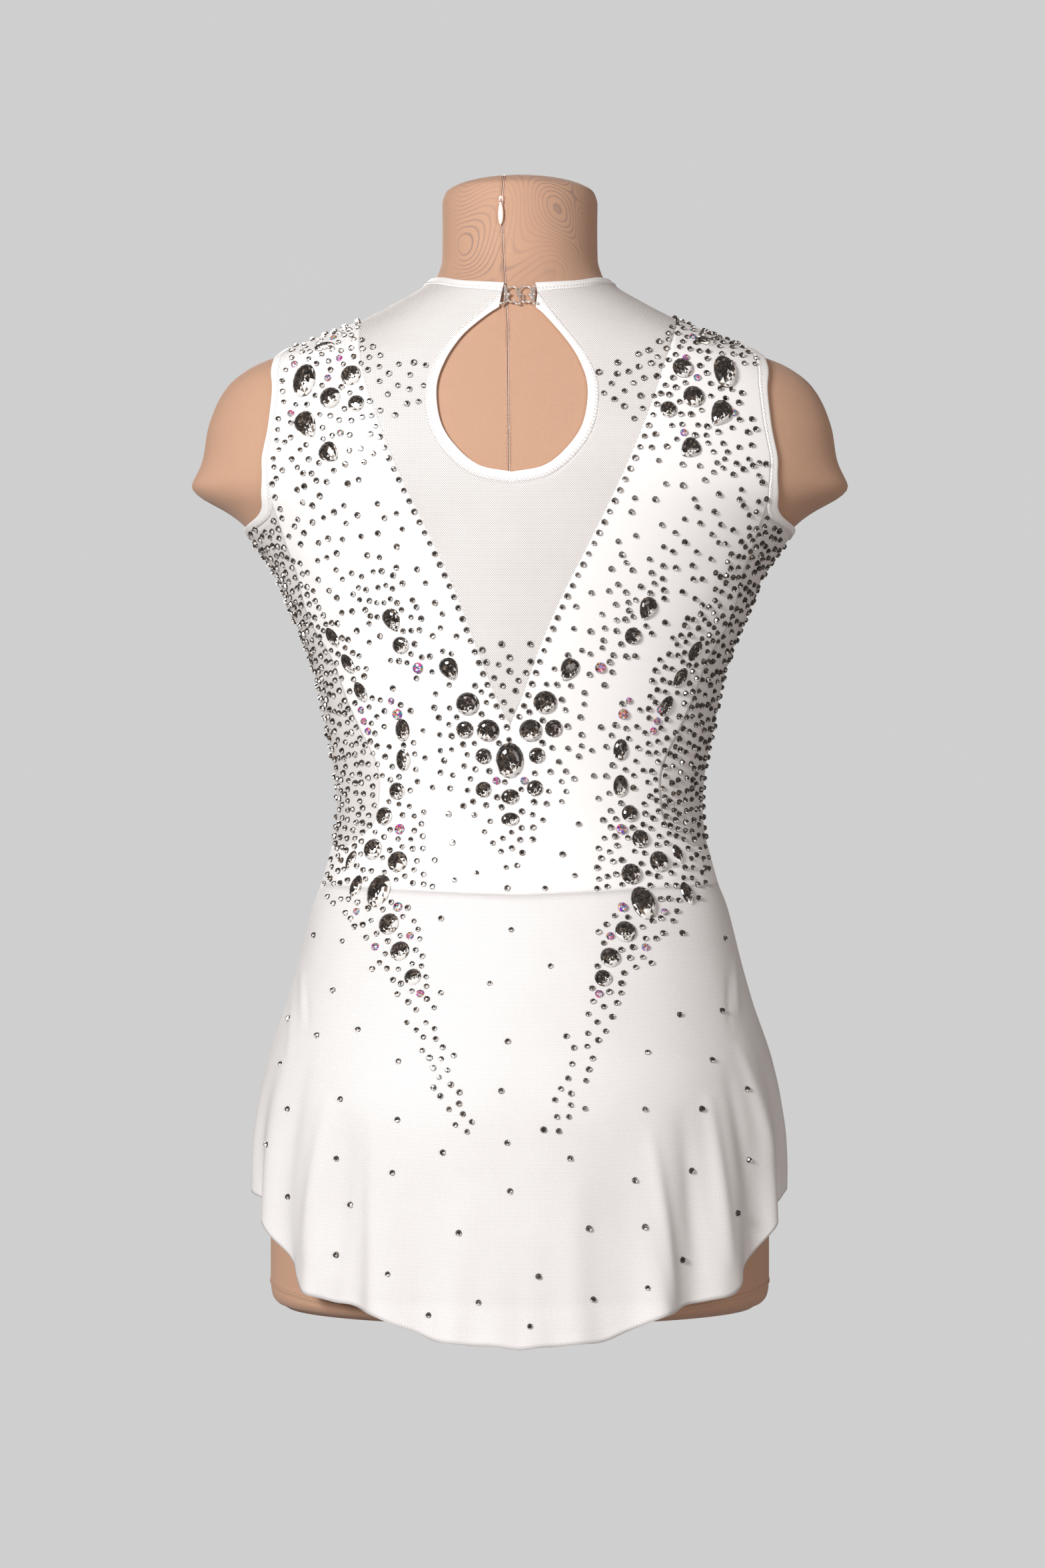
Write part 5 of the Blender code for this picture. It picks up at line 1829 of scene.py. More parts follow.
@dataclass
class Stitching:
    """Rows of stitches, each stitch a slim spindle half sunk in the cloth."""

    outfit: Outfit
    pitch: float = 2.6
    length: float = 1.7
    thickness: float = 0.42

    def spindles(self, places: Array, along: Array, normal: Array) -> tuple[Array, Array, Array]:
        """Six-sided spindles: rings of the template placed by each stitch's three directions.

        Args:
            places: middle of each stitch.
            along: direction of each stitch.
            normal: way out of the cloth.

        Returns:
            Points, quads and triangles.
        """
        sides = 6
        angle = np.arange(sides) * math.tau / sides
        rings = np.array([(-0.36, 0.5), (0.36, 0.5)])
        ring = np.stack([np.cos(angle), np.sin(angle)], axis=-1)
        hoops = [
            np.column_stack([np.full(sides, at * self.length), ring * size * self.thickness])
            for at, size in rings
        ]
        tips = np.array([(-0.5, 0.0, -0.1), (0.5, 0.0, -0.1)]) * (self.length, 1.0, 1.0)
        local = np.concatenate([*hoops, tips])
        side = unit(np.cross(normal, along))
        basis = np.stack([along, side, normal], axis=1)
        points = places[:, None, :] + local[None] @ basis
        count = len(local)
        step = np.arange(sides)
        after = (step + 1) % sides
        quads = np.stack([step, after, after + sides, step + sides], axis=1)[:, ::-1]
        low = np.stack([after, step, np.full(sides, 2 * sides)], axis=1)[:, ::-1]
        high = np.stack([step + sides, after + sides, np.full(sides, 2 * sides + 1)], axis=1)[:, ::-1]
        starts = (np.arange(len(places)) * count)[:, None, None]
        quads = (quads[None] + starts).reshape(-1, 4)
        triangles = (np.concatenate([low, high])[None] + starts).reshape(-1, 3)
        return points.reshape(-1, 3), quads, triangles

    def row(self, chart: Array, offset: float, closed: bool = False) -> Row:
        """Stitches along a line on the skin.

        Args:
            chart: fine (turn, height) points.
            offset: way out of the thread's middle.
            closed: whether the line is a loop.

        Returns:
            Places, directions and normals.
        """
        if closed:
            chart = np.vstack([chart, chart[:1]])
        place = BODY.bare(chart[:, 0], chart[:, 1])
        total = float(np.linalg.norm(np.diff(place, axis=0), axis=1).sum())
        even = BODY.evenly(chart, max(int(total / self.pitch), 2))
        middle = 0.5 * (even[1:] + even[:-1])
        place = BODY.skin(middle[:, 0], middle[:, 1], offset)
        along = unit(BODY.bare(even[1:, 0], even[1:, 1]) - BODY.bare(even[:-1, 0], even[:-1, 1]))
        normal = unit(np.cross(*BODY.slopes(middle[:, 0], middle[:, 1])))
        return place, along, normal

    def piece(self, name: str, rows: list[Row], finish: Thread, slot: str) -> bpy.types.Object:
        """One joined piece of several rows.

        Args:
            name: the piece's name.
            rows: places, directions and normals of each row.
            finish: the thread's finish.
            slot: the record's slot.

        Returns:
            The piece.
        """
        places, along, normal = (np.concatenate([row[k] for row in rows]) for k in range(3))
        points, quads, triangles = self.spindles(places, along, normal)
        mesh = mesh_of(name, points, [quads, triangles])
        return self.outfit.add(name, mesh, finish.material(name), slot)


@dataclass
class Bodice:
    """Front and back panels, side panels and yokes."""

    outfit: Outfit
    base: float = CLOTH_FACE - FINE_WALL

    def lift(self, chart: Array, drop: float = 0.0) -> Array:
        """Points of a chart on the cloth's inner face, with the creases of the back.

        Args:
            chart: (turn, height) grid.
            drop: how much deeper it lies than the opaque cloth.

        Returns:
            Grid of points.
        """
        turn, height = chart[..., 0], chart[..., 1]
        across = BODY.half_width(height) * np.cos(np.radians(turn))
        rise = relief(BACK_CREASES, across, height)
        return BODY.skin(turn, height, self.base - drop + np.maximum(rise, -0.5))

    def opaque(self, name: str, face: Face, loop: Array) -> bpy.types.Object:
        """Front or back panel: hip band, waist and both straps round the V.

        Args:
            name: the piece's name and its CAD node's.
            face: back or front.
            loop: the panels' edge round the left arm.

        Returns:
            The piece.
        """
        tip_row = PATTERN.tip_row(face)
        side = PATTERN.side(loop[STRAP_ROWS])
        armhole = loop[: STRAP_ROWS + 1][::-1].copy()
        armhole[-1, 0] = 0.0
        outer = np.vstack([side[tip_row:], armhole[1:]])
        straps = [
            ruled(faced(outer, face, right), PATTERN.v_line(face, right), STRAP_COLUMNS)
            for right in (False, True)
        ]
        top = np.vstack([straps[0][0], straps[1][0][::-1][1:]])
        even = np.linspace(0.0, 1.0, len(top))
        uneven = (top[:, 0] - top[0, 0]) / (top[-1, 0] - top[0, 0])
        blend = (np.arange(tip_row + 1) / tip_row)[:, None]
        left, right_side = (faced(side[: tip_row + 1], face, right) for right in (False, True))
        share = even * (1.0 - blend) + uneven * blend
        turn = left[:, :1] + (right_side[:, :1] - left[:, :1]) * share
        height = left[:, 1:] + (top[:, 1] - side[tip_row, 1]) * blend
        waist = np.stack([turn, height], axis=-1)
        corners = np.linspace(0.0, 1.0, HIP_CORNER_STEPS + 1)[:-1]
        first = face.value * side[0, 0] * corners
        last = face.value * (180.0 - side[0, 0] * corners[::-1])
        hip_turn = np.concatenate([first, waist[0, :, 0], last])
        blend = (np.arange(HIP_ROWS + 1) / HIP_ROWS)[:, None]
        hip_height = (PATTERN.waist(hip_turn) + SEAM_GAP) * (1.0 - blend) + SIDE_PANEL_FOOT * blend
        hips = np.stack([np.broadcast_to(hip_turn, hip_height.shape), hip_height], axis=-1)
        charts = [*straps, waist, hips]
        grids = [self.lift(chart) for chart in charts]
        grids[:3] = [spread_out(grid, ("first", "last"), SEAM_LAP) for grid in grids[:3]]
        grids[3] = spread_out(grids[3], ("low",), TUCK)
        tip = grids[2][-1, STRAP_COLUMNS].copy()
        grids[0][0, 0], grids[1][0, 0] = grids[2][-1, 0], grids[2][-1, -1]
        grids[0][0, -1], grids[1][0, -1] = tip, tip
        grids[3][-1, HIP_CORNER_STEPS: -HIP_CORNER_STEPS] = grids[2][0]
        mesh = cloth_mesh(name + "_cloth", grids, [cloth_points(chart) for chart in charts])
        finish = StretchCloth().material(name)
        piece = self.outfit.add(name + "_cloth", mesh, finish, "white_lycra", replaces=[name])
        give_wall(piece, FINE_WALL)
        return piece

    def under_arm(self, name: str, right: bool, loop: Array) -> bpy.types.Object:
        """Sheer panel under one arm.

        Args:
            name: the piece's name and its CAD node's.
            right: whether it is the wearer's right one.
            loop: the panels' edge round the left arm.

        Returns:
            The piece.
        """
        top = loop[STRAP_ROWS: STRAP_ROWS + 2 * SIDE_TOP_STEPS + 1]
        side = PATTERN.side(loop[STRAP_ROWS])
        even = np.linspace(0.0, 1.0, len(top))
        uneven = (top[0, 0] - top[:, 0]) / (top[0, 0] - top[-1, 0])
        blend = (np.arange(len(side)) / (len(side) - 1))[:, None]
        share = even * (1.0 - blend) + uneven * blend
        height = side[:, 1:] + (top[:, 1] - top[0, 1]) * blend**2
        chart = faced(np.stack([side[:, :1] * (1.0 - 2.0 * share), height], axis=-1), Face.BACK, right)
        grid = spread_out(self.lift(chart, SHEER_DROP), ("low", "high", "first", "last"), TUCK)
        mesh = cloth_mesh(name + "_net", [grid], [cloth_points(chart)])
        finish = SheerCloth(thin=0.66, thick=0.92).material(name)
        piece = self.outfit.add(name + "_net", mesh, finish, "sheer_mesh", replaces=[name])
        give_wall(piece, FINE_WALL)
        return piece

    def yoke(self, name: str, face: Face, hole_outer: Array) -> bpy.types.Object:
        """Sheer yoke between the neck and the V.

        Args:
            name: the piece's name and its CAD node's.
            face: back or front.
            hole_outer: outer edge of the keyhole binding.

        Returns:
            The piece.
        """
        grids, flats = [], []
        for right in (False, True):
            outer = PATTERN.v_line(face, right)[::-1]
            if face is Face.BACK:
                turn = np.linspace(0.0, CLASP_END_TURN, YOKE_NECK_STEPS + 1)
                neck = faced(np.stack([turn, PATTERN.neck_low(turn)], axis=1), Face.BACK, right)
                hole = hole_outer[::-1] if right else hole_outer
                inner = np.vstack([neck, hole[1: KEYHOLE_STEPS + 1]])
            else:
                fine = np.linspace(0.0, 90.0, CURVE_STEPS * 4)
                line = np.stack([fine, PATTERN.neck_low(-fine)], axis=1)
                inner = faced(BODY.evenly(line, len(outer) - 1), Face.FRONT, right)
            chart = ruled(inner, outer, YOKE_COLUMNS)
            grids.append(spread_out(self.lift(chart, SHEER_DROP), ("first", "last"), TUCK))
            flats.append(cloth_points(chart))
        for border in (0, -1):
            grids[1][-1, border] = grids[0][-1, border]
        mesh = cloth_mesh(name + "_net", grids, flats)
        finish = SheerCloth().material(name)
        piece = self.outfit.add(name + "_net", mesh, finish, "sheer_mesh", replaces=[name])
        give_wall(piece, FINE_WALL)
        return piece


@dataclass
class Bindings:
    """Folded elastic round the neck, keyhole and armholes."""

    outfit: Outfit
    flatness: float = 0.62
    edge_gap: float = 0.02
    slack: float = 0.12
    fold_depth: float = 0.16
    fold_place: float = 0.72
    fold_width: float = 0.1

    def tube(self, edge: Array, inner: Array) -> tuple[Array, Array]:
        """A flattened tube: a rounded box, (1 - cos^p)/2 of the way over and out by sin^p.

        Args:
            edge: line along its open edge.
            inner: line along its sewn edge.

        Returns:
            Grid of points and where they lie on the flat cloth.
        """
        angle = np.arange(PROFILE_STEPS) * math.tau / PROFILE_STEPS
        cosine, sine = np.cos(angle), np.sin(angle)
        share = 0.5 - (0.5 - self.edge_gap) * powered(cosine, self.flatness)
        middle, half = CLOTH_GAP + 0.5 * BINDING_WALL, 0.5 * BINDING_WALL - self.slack
        out = middle + half * powered(sine, self.flatness)
        fold = self.fold_depth * np.exp(-(((share - self.fold_place) / self.fold_width) ** 2)) * (sine > 0.0)
        over = share[None, :, None]
        chart = edge[:, None, :] * (1.0 - over) + inner[:, None, :] * over
        grid = BODY.skin(chart[..., 0], chart[..., 1], out - fold)
        steps = np.linalg.norm(np.diff(BODY.bare(edge[:, 0], edge[:, 1]), axis=0), axis=1)
        run = np.concatenate([[0.0], np.cumsum(steps)])
        flat = np.stack(np.broadcast_arrays(run[:, None], share * KEYHOLE_BINDING_WIDTH, 0.0), axis=-1)
        return grid, flat

    def band(self, name: str, node: str, edge: Array, inner: Array, closed: bool) -> bpy.types.Object:
        """One binding as a closed tube with filled ends.

        Args:
            name: the piece's name.
            node: the CAD node that it stands for.
            edge: line along its open edge.
            inner: line along its sewn edge.
            closed: whether it is a loop.

        Returns:
            The piece.
        """
        grid, flat = self.tube(edge, inner)
        mesh = mesh_of(name, *tube_of(grid, closed))
        place_attribute(mesh, flat.reshape(-1, 3))
        mend(mesh, outward=True)
        finish = FoldedElastic().material(name)
        return self.outfit.add(name, mesh, finish, "white_elastic", replaces=[node], sharp=60.0)


@dataclass
class Skirt:
    """The two halves of the flared skirt and the brief under it."""

    outfit: Outfit
    flare_share: float = 0.12
    brief_lift: float = 0.4
    hem_rise: float = 0.35
    hem_width: float = 5.0

    def half(self, name: str, face: Face) -> bpy.types.Object:
        """Half of the skirt.

        Args:
            name: the piece's name and its CAD node's.
            face: back or front.

        Returns:
            The piece.
        """
        turn = np.linspace(0.0, 180.0, SKIRT_COLUMNS + 1)[None, :] * face.value
        share = (np.linspace(0.0, 1.0, SKIRT_ROWS + 1) ** 0.9)[::-1][:, None]
        turn, share = np.broadcast_arrays(turn, share)
        grid = PATTERN.skirt(turn, share, face, CLOTH_WALL - FINE_WALL - 0.1)
        flat = cloth_points(np.stack([turn, grid[..., 2]], axis=-1))
        flat[..., 0] *= 1.0 + self.flare_share * share
        mesh = cloth_mesh(name + "_net", [grid], [flat])
        finish = SheerCloth((0.87, 0.86, 0.86), (0.79, 0.77, 0.77), 1.5, 0.74, 0.97).material(name)
        piece = self.outfit.add(name + "_net", mesh, finish, "skirt_mesh", replaces=[name])
        give_wall(piece, FINE_WALL)
        return piece

    def brief(self, name: str, face: Face) -> bpy.types.Object:
        """Half of the brief, from the waist seam down to the leg edge.

        Args:
            name: the piece's name and its CAD node's.
            face: back or front.

        Returns:
            The piece.
        """
        table = LEG_BACK if face is Face.BACK else LEG_FRONT
        turn = np.linspace(0.0, 180.0, BRIEF_COLUMNS + 1)
        low = table.read("turn", "height", PATTERN.fold(turn))
        high = PATTERN.waist(turn) - SEAM_GAP
        edge_low = np.stack([turn * face.value, low], axis=1)
        edge_high = np.stack([turn * face.value, high], axis=1)
        chart = ruled(edge_low, edge_high, BRIEF_ROWS).swapaxes(0, 1)
        hem = self.hem_rise * np.exp(-(((chart[..., 1] - low) / self.hem_width) ** 2))
        grid = BODY.skin(chart[..., 0], chart[..., 1], CLOTH_GAP + self.brief_lift + hem)
        mesh = cloth_mesh(name + "_cloth", [grid], [cloth_points(chart)])
        finish = StretchCloth().material(name)
        piece = self.outfit.add(name + "_cloth", mesh, finish, "white_lycra", replaces=[name])
        give_wall(piece, FINE_WALL)
        return piece


@dataclass(frozen=True)
class Seats:
    """Places on the cloth with their level, upward and outward directions."""

    place: Array
    level: Array
    up: Array
    out: Array

    def picked(self, index: Array) -> "Seats":
        """The seats at some indices."""
        return Seats(self.place[index], self.level[index], self.up[index], self.out[index])

    @staticmethod
    def framed(place: Array, normal: Array) -> "Seats":
        """Seats from points and normals.

        Args:
            place: points.
            normal: normals.

        Returns:
            The seats.
        """
        out = unit(normal)
        level = unit(np.cross(UP, out))
        return Seats(place, level, np.cross(out, level), out)

    @staticmethod
    def on_bodice(turn: Array, height: Array) -> "Seats":
        """Seats on the bodice's outer face.

        Args:
            turn: turns in degrees.
            height: heights.

        Returns:
            The seats.
        """
        across = BODY.half_width(height) * np.cos(np.radians(turn))
        lift = CLOTH_FACE + np.maximum(relief(BACK_CREASES, across, height), -0.5)
        return Seats.framed(BODY.skin(turn, height, lift), np.cross(*BODY.slopes(turn, height)))

    @staticmethod
    def on_skirt(turn: Array, height: Array) -> "Seats":
        """Seats on the back skirt's outer face.

        Args:
            turn: turns in degrees.
            height: heights.

        Returns:
            The seats.
        """
        seam = PATTERN.waist(turn)
        share = np.maximum((seam - height) / (seam - PATTERN.hem(turn, Face.BACK)), 0.0)
        step, nudge = FLAT_STEP, 0.002
        after, before = (PATTERN.skirt(turn + way, share, Face.BACK) for way in (step, -step))
        place = PATTERN.skirt(turn, share, Face.BACK)
        below = PATTERN.skirt(turn, share + nudge, Face.BACK)
        normal = unit(np.cross(after - before, place - below))
        return Seats.framed(place + normal * (CLOTH_WALL - 0.1), normal)

    @staticmethod
    def together(groups: Sequence["Seats"]) -> "Seats":
        """All seats of several groups."""
        keys = ("place", "level", "up", "out")
        return Seats(*(np.concatenate([getattr(group, key) for group in groups]) for key in keys))


@dataclass
class Gems:
    """Stones and small crystals, each a faceted solid whose facets carry painted reflections and painted
    shade.
    """

    outfit: Outfit
    seed: int = 7
    # Palette of painted reflections: dark, brown and smoke paint dark reflection and shade on the facets,
    # clear paints a bright reflection; smoke also colours the hidden bases.
    dark: Rgb = (0.004, 0.003, 0.003)
    brown: Rgb = (0.040, 0.026, 0.018)
    smoke: Rgb = (0.17, 0.13, 0.10)
    clear: Rgb = (0.90, 0.885, 0.87)
    # Painted light: each facet is painted bright or dark by its direction against this fixed light
    # direction, with some chance.
    light_turn: float = 0.6
    light_swing: float = 0.36
    light_chance: float = 0.11
    dark_share: float = 0.66
    brown_share: float = 0.92
    clear_share: float = 0.8
    flash_share: float = 0.72
    radius: float = 2.3
    room: float = 0.7
    large_height: float = 0.24
    small_height: float = 0.42
    rainbow_height: float = 0.36
    large_rings: Rings = (
        (1.0, -0.22), (1.0, 0.12), (0.88, 0.52), (0.70, 0.86), (0.52, 1.0), (0.26, 1.02),
    )
    large_shares: tuple[float, ...] = (0.10, 0.44, 0.34, 0.26, 0.14, 0.10)
    small_rings: Rings = ((1.0, -0.12), (0.9, 0.4), (0.6, 1.0))
    small_shares: tuple[float, ...] = (0.10, 0.40, 0.20)
    rainbow_rings: Rings = ((1.0, -0.12), (0.94, 0.35), (0.72, 0.85), (0.42, 1.0))
    rainbow_shares: tuple[float, ...] = (0.3, 0.5, 0.5, 0.4)
    hues: tuple[Rgb, ...] = (
        (0.60, 0.03, 0.28), (0.03, 0.34, 0.30), (0.14, 0.06, 0.50), (0.62, 0.25, 0.08),
    )
    placed: list[Array] = field(default_factory=list)
    reach: list[Array] = field(default_factory=list)

    def __post_init__(self) -> None:
        """Start the random draws."""
        self.rng = np.random.default_rng(self.seed)

    def outline(self, cut: Cut, sides: int) -> Array:
        """Outline of a cut about its centre, of width and length one, long axis upright.

        Args:
            cut: the cut.
            sides: its corners.

        Returns:
            The outline's points.
        """
        angle = np.arange(sides) * math.tau / sides
        x, y = 0.5 * np.sin(angle), 0.5 * np.cos(angle)
        if cut is Cut.DROP:
            point = np.clip(-np.cos(angle), 0.0, 1.0) ** 6
            x = x * (1.0 + 0.35 * np.cos(angle)) * (1.0 - 0.3 * point)
        if cut is Cut.NAVETTE:
            x = x * (0.82 + 0.18 * np.abs(np.sin(angle)))
        return np.stack([x, y], axis=1)

    def faceted(
        self, cut: Cut, sides: int, rings: Sequence[tuple[float, float]]
    ) -> tuple[Array, list[Array], Array]:
        """A stone's template: rings of the outline, each smaller and higher, closed by a fan.

        Args:
            cut: the cut.
            sides: its corners.
            rings: size and height of each ring, of width and height one.

        Returns:
            Points, face groups and the middle direction of each face with its ring.
        """
        outline = self.outline(cut, sides)
        levels = [np.column_stack([outline * size, np.full(sides, up)]) for size, up in rings]
        points = np.concatenate([*levels, [[0.0, 0.0, rings[-1][1] * 1.04]]])
        step = np.arange(sides)
        after = (step + 1) % sides
        triangles, rows, angles = [], [], []
        for level in range(len(rings) - 1):
            low, high = level * sides, (level + 1) * sides
            flip = (step + level) % 2 == 0
            first = np.where(flip[:, None], np.stack([low + after, low + step, high + step], 1),
                             np.stack([low + after, low + step, high + after], 1))
            second = np.where(flip[:, None], np.stack([low + after, high + step, high + after], 1),
                              np.stack([low + step, high + step, high + after], 1))
            for part, shift in ((first, 0.35), (second, 0.65)):
                triangles.append(part)
                rows.append(np.full(sides, float(level)))
                angles.append((step + shift) * math.tau / sides)
        top = (len(rings) - 1) * sides
        fan = np.stack([top + after, top + step, np.full(sides, len(points) - 1)], axis=1)
        triangles.append(fan)
        rows.append(np.full(sides, float(len(rings) - 1)))
        angles.append((step + 0.5) * math.tau / sides)
        facts = np.stack([np.concatenate(angles), np.concatenate(rows)], axis=1)
        return points, [np.concatenate(triangles), step[None, :]], facts

    def painted_reflections(
        self, facts: Array, count: int, shares: Sequence[float], rainbow: bool, turned: Array
    ) -> Array:
        """Painted reflections and painted shade of each stone's facets: painted bright where its direction's
        cosine and chance add to little, elsewhere painted dark, brown and smoky by a random draw.

        Args:
            facts: direction and ring of each facet.
            count: how many stones.
            shares: share of facets painted bright in each ring.
            rainbow: whether they flash in colours.
            turned: lean of each stone's light.

        Returns:
            Colours by stone and facet.
        """
        dark, brown, smoke, clear = np.array((self.dark, self.brown, self.smoke, self.clear))
        angle, ring = facts[None, :, 0] + turned[:, None], facts[:, 1].astype(int)
        # Painted light: the facet's tone follows its direction against a fixed light direction.
        level = 0.5 + self.light_swing * np.cos(angle + self.light_turn)
        level += self.rng.normal(0.0, self.light_chance, (count, len(facts)))
        bright = (level < np.array(shares)[ring][None, :])[..., None]
        draw = self.rng.random((count, len(facts), 1))
        colour = np.where(draw < self.dark_share, dark, np.where(draw < self.brown_share, brown, smoke))
        colour = np.where(bright, np.where(draw < self.clear_share, clear, smoke), colour)
        if rainbow:
            tint = np.array(self.hues)[self.rng.integers(0, len(self.hues), (count, len(facts)))]
            flash = self.rng.random((count, len(facts), 1)) < self.flash_share
            colour = np.where(flash, tint, colour)
        return colour

    def solids(
        self,
        seats: Seats,
        template: tuple[Array, list[Array], Array],
        size: Array,
        turn: Array,
        shares: Sequence[float],
        rainbow: bool = False,
    ) -> tuple[Array, list[Array], Array]:
        """Copies of a template on seats: P = seat + x level + y up + z out.

        Args:
            seats: the seats.
            template: points, faces and facts of the stone.
            size: width, length and height of each.
            turn: lean of each long axis in radians.
            shares: share of facets painted bright in each ring.
            rainbow: whether they flash in colours.

        Returns:
            Points, face groups and face colours.
        """
        points, groups, facts = template
        count = len(seats.place)
        local = points[None] * size[:, None, :]
        cosine, sine = np.cos(turn)[:, None], np.sin(turn)[:, None]
        x = local[..., 0] * cosine - local[..., 1] * sine
        y = local[..., 0] * sine + local[..., 1] * cosine
        grid = (
            seats.place[:, None] + x[..., None] * seats.level[:, None]
            + y[..., None] * seats.up[:, None] + local[..., 2:] * seats.out[:, None]
        )
        starts = (np.arange(count) * len(points))[:, None, None]
        faces = [(group[None] + starts).reshape(-1, group.shape[1]) for group in groups]
        shade = self.painted_reflections(facts, count, shares, rainbow, self.rng.normal(0.0, 0.3, count) - turn)
        base = np.broadcast_to(np.array(self.smoke), (count, 3))
        return grid.reshape(-1, 3), faces, np.concatenate([shade.reshape(-1, 3), base])

    def stone_list(self, pairs: Table, line: Table | None = None) -> list[tuple]:
        """Single stones with their way across, height and tilt.

        Args:
            pairs: stones in pairs.
            line: stones on the centre line, if any.

        Returns:
            Cut, length, width, across, height and tilt of each.
        """
        found = []
        for cut, length, width, left, left_height, right, right_height, tilt in pairs.rows:
            found.append((cut, length, width, left, left_height, tilt))
            found.append((cut, length, width, -right, right_height, -tilt))
        return found + list(line.rows if line else ())

    def large(self, name: str, rows: list[tuple], on_skirt: bool) -> bpy.types.Object:
        """The large stones of the bodice or of the skirt as one piece.

        Args:
            name: the piece's name.
            rows: the stones.
            on_skirt: whether they sit on the skirt.

        Returns:
            The piece.
        """
        pile = Pile()
        for cut in Cut:
            chosen = [row for row in rows if row[0] is cut]
            if not chosen:
                continue
            length, width, across, height, tilt = np.array([row[1:] for row in chosen], float).T
            turn = BODY.turn_at(across, height)
            seats = Seats.on_skirt(turn, height) if on_skirt else Seats.on_bodice(turn, height)
            self.placed.append(seats.place)
            self.reach.append(0.5 * np.sqrt(length * width))
            size = np.stack([width, length, self.large_height * width], axis=1)
            template = self.faceted(cut, 16, self.large_rings)
            pile.put(*self.solids(seats, template, size, -np.radians(tilt), self.large_shares))
        return self.joined(name, pile)

    def joined(self, name: str, pile: Pile) -> bpy.types.Object:
        """One piece from several groups of stones, whose faces come as facets then bases.

        Args:
            name: the piece's name.
            pile: the stones.

        Returns:
            The piece.
        """
        mesh = mesh_of(name, np.concatenate(pile.points), pile.faces)
        colour_corners(mesh, "facet", np.concatenate(pile.colours))
        return self.outfit.add(name, mesh, CutCrystal().material(name), "clasp_metal", smooth=False)

    def inside(self, outline: Array | Points, points: Array) -> Array:
        """Which points lie in an outline, by counting the sides crossed by a level ray.

        Args:
            outline: its corners.
            points: points.

        Returns:
            True or False for each.
        """
        corner = np.array(outline)
        other = np.roll(corner, -1, axis=0)
        x, y = points[:, :1], points[:, 1:]
        spans = (corner[:, 1] > y) != (other[:, 1] > y)
        rise = np.where(other[:, 1] == corner[:, 1], 1e-9, other[:, 1] - corner[:, 1])
        cross = corner[:, 0] + (y - corner[:, 1]) / rise * (other[:, 0] - corner[:, 0])
        return (spans & (x < cross)).sum(1) % 2 == 1

    def kept(self, seats: Seats, spacing: float) -> Array:
        """Which seats are kept when each keeps off those before it and what is placed.

        Args:
            seats: seats in order.
            spacing: least distance between two.

        Returns:
            Indices of the kept seats.
        """
        taken = np.concatenate(self.placed) if self.placed else np.zeros((0, 3))
        reach = np.concatenate(self.reach) if self.reach else np.zeros(0)
        away = np.linalg.norm(seats.place[:, None] - taken[None], axis=-1)
        free = np.flatnonzero(~(away < reach + self.radius + self.room).any(1))
        chosen: list[int] = []
        spots = np.zeros((0, 3))
        for index in free:
            place = seats.place[index]
            if len(spots) and np.min(((spots - place) ** 2).sum(1)) < spacing**2:
                continue
            chosen.append(int(index))
            spots = np.vstack([spots, place])
        return np.array(chosen, dtype=int)

    def strewn(self, clusters: Sequence[Cluster], on_skirt: bool) -> list[Seats]:
        """Seats of small crystals over both mirrored halves of each cluster.

        Args:
            clusters: the clusters.
            on_skirt: whether they lie on the skirt.

        Returns:
            Seats by cluster.
        """
        found = []
        for cluster in clusters:
            corner = np.array(cluster.outline)
            low, high = corner.min(0), corner.max(0)
            tries = int(14 * np.prod(high - low) / cluster.spacing**2) + 40
            for sign in (1.0, -1.0):
                spot = low + self.rng.random((tries, 2)) * (high - low)
                spot = spot[self.inside(cluster.outline, spot)]
                across = sign * spot[:, 0] + BODY.lean(spot[:, 1])
                fits = np.abs(across) < BODY.half_width(spot[:, 1]) * 0.985
                turn, height = BODY.turn_at(across, spot[:, 1])[fits], spot[fits, 1]
                if not on_skirt:
                    cloth = self.on_cloth(turn, height)
                    turn, height = turn[cloth], height[cloth]
                seats = Seats.on_skirt(turn, height) if on_skirt else Seats.on_bodice(turn, height)
                chosen = self.kept(seats, cluster.spacing)
                seats = seats.picked(chosen)
                self.placed.append(seats.place)
                keep_off = max(self.radius, cluster.spacing - self.radius - self.room)
                self.reach.append(np.full(len(chosen), keep_off))
                found.append(seats)
        return found

    def on_cloth(self, turn: Array, height: Array) -> Array:
        """Which places on the bodice are cloth, clear of the arms and the keyhole with their bindings.

        Args:
            turn: turns in degrees.
            height: heights.

        Returns:
            True or False for each.
        """
        folded = np.stack([np.where(turn > 90.0, 180.0 - turn, turn), height], axis=1)
        arm = PATTERN.armhole()[1]
        outer = PATTERN.keyhole()[1]
        hole = np.vstack([outer[: KEYHOLE_STEPS + 1], outer[KEYHOLE_STEPS:], [KEYHOLE_TOP]])
        place = np.stack([turn, height], axis=1)
        return ~self.inside(arm, folded) & ~self.inside(hole, place)

    def flows(self, right: bool, outer: Array) -> list[Seats]:
        """Rows down one strap, each a line at a fixed share between its outer edge and the V.

        Args:
            right: whether it is the wearer's right strap.
            outer: the strap's outer edge on the left back.

        Returns:
            Seats by row.
        """
        edge, line = faced(outer, Face.BACK, right), PATTERN.v_line(Face.BACK, right)
        rows = []
        for share, top, low, pitch in STRAP_FLOWS.rows:
            chart = edge * (1.0 - share) + line * share
            chart = chart[(chart[:, 1] < top) & (chart[:, 1] > low)]
            rows.append(self.along(chart, pitch, 1.1))
        return rows

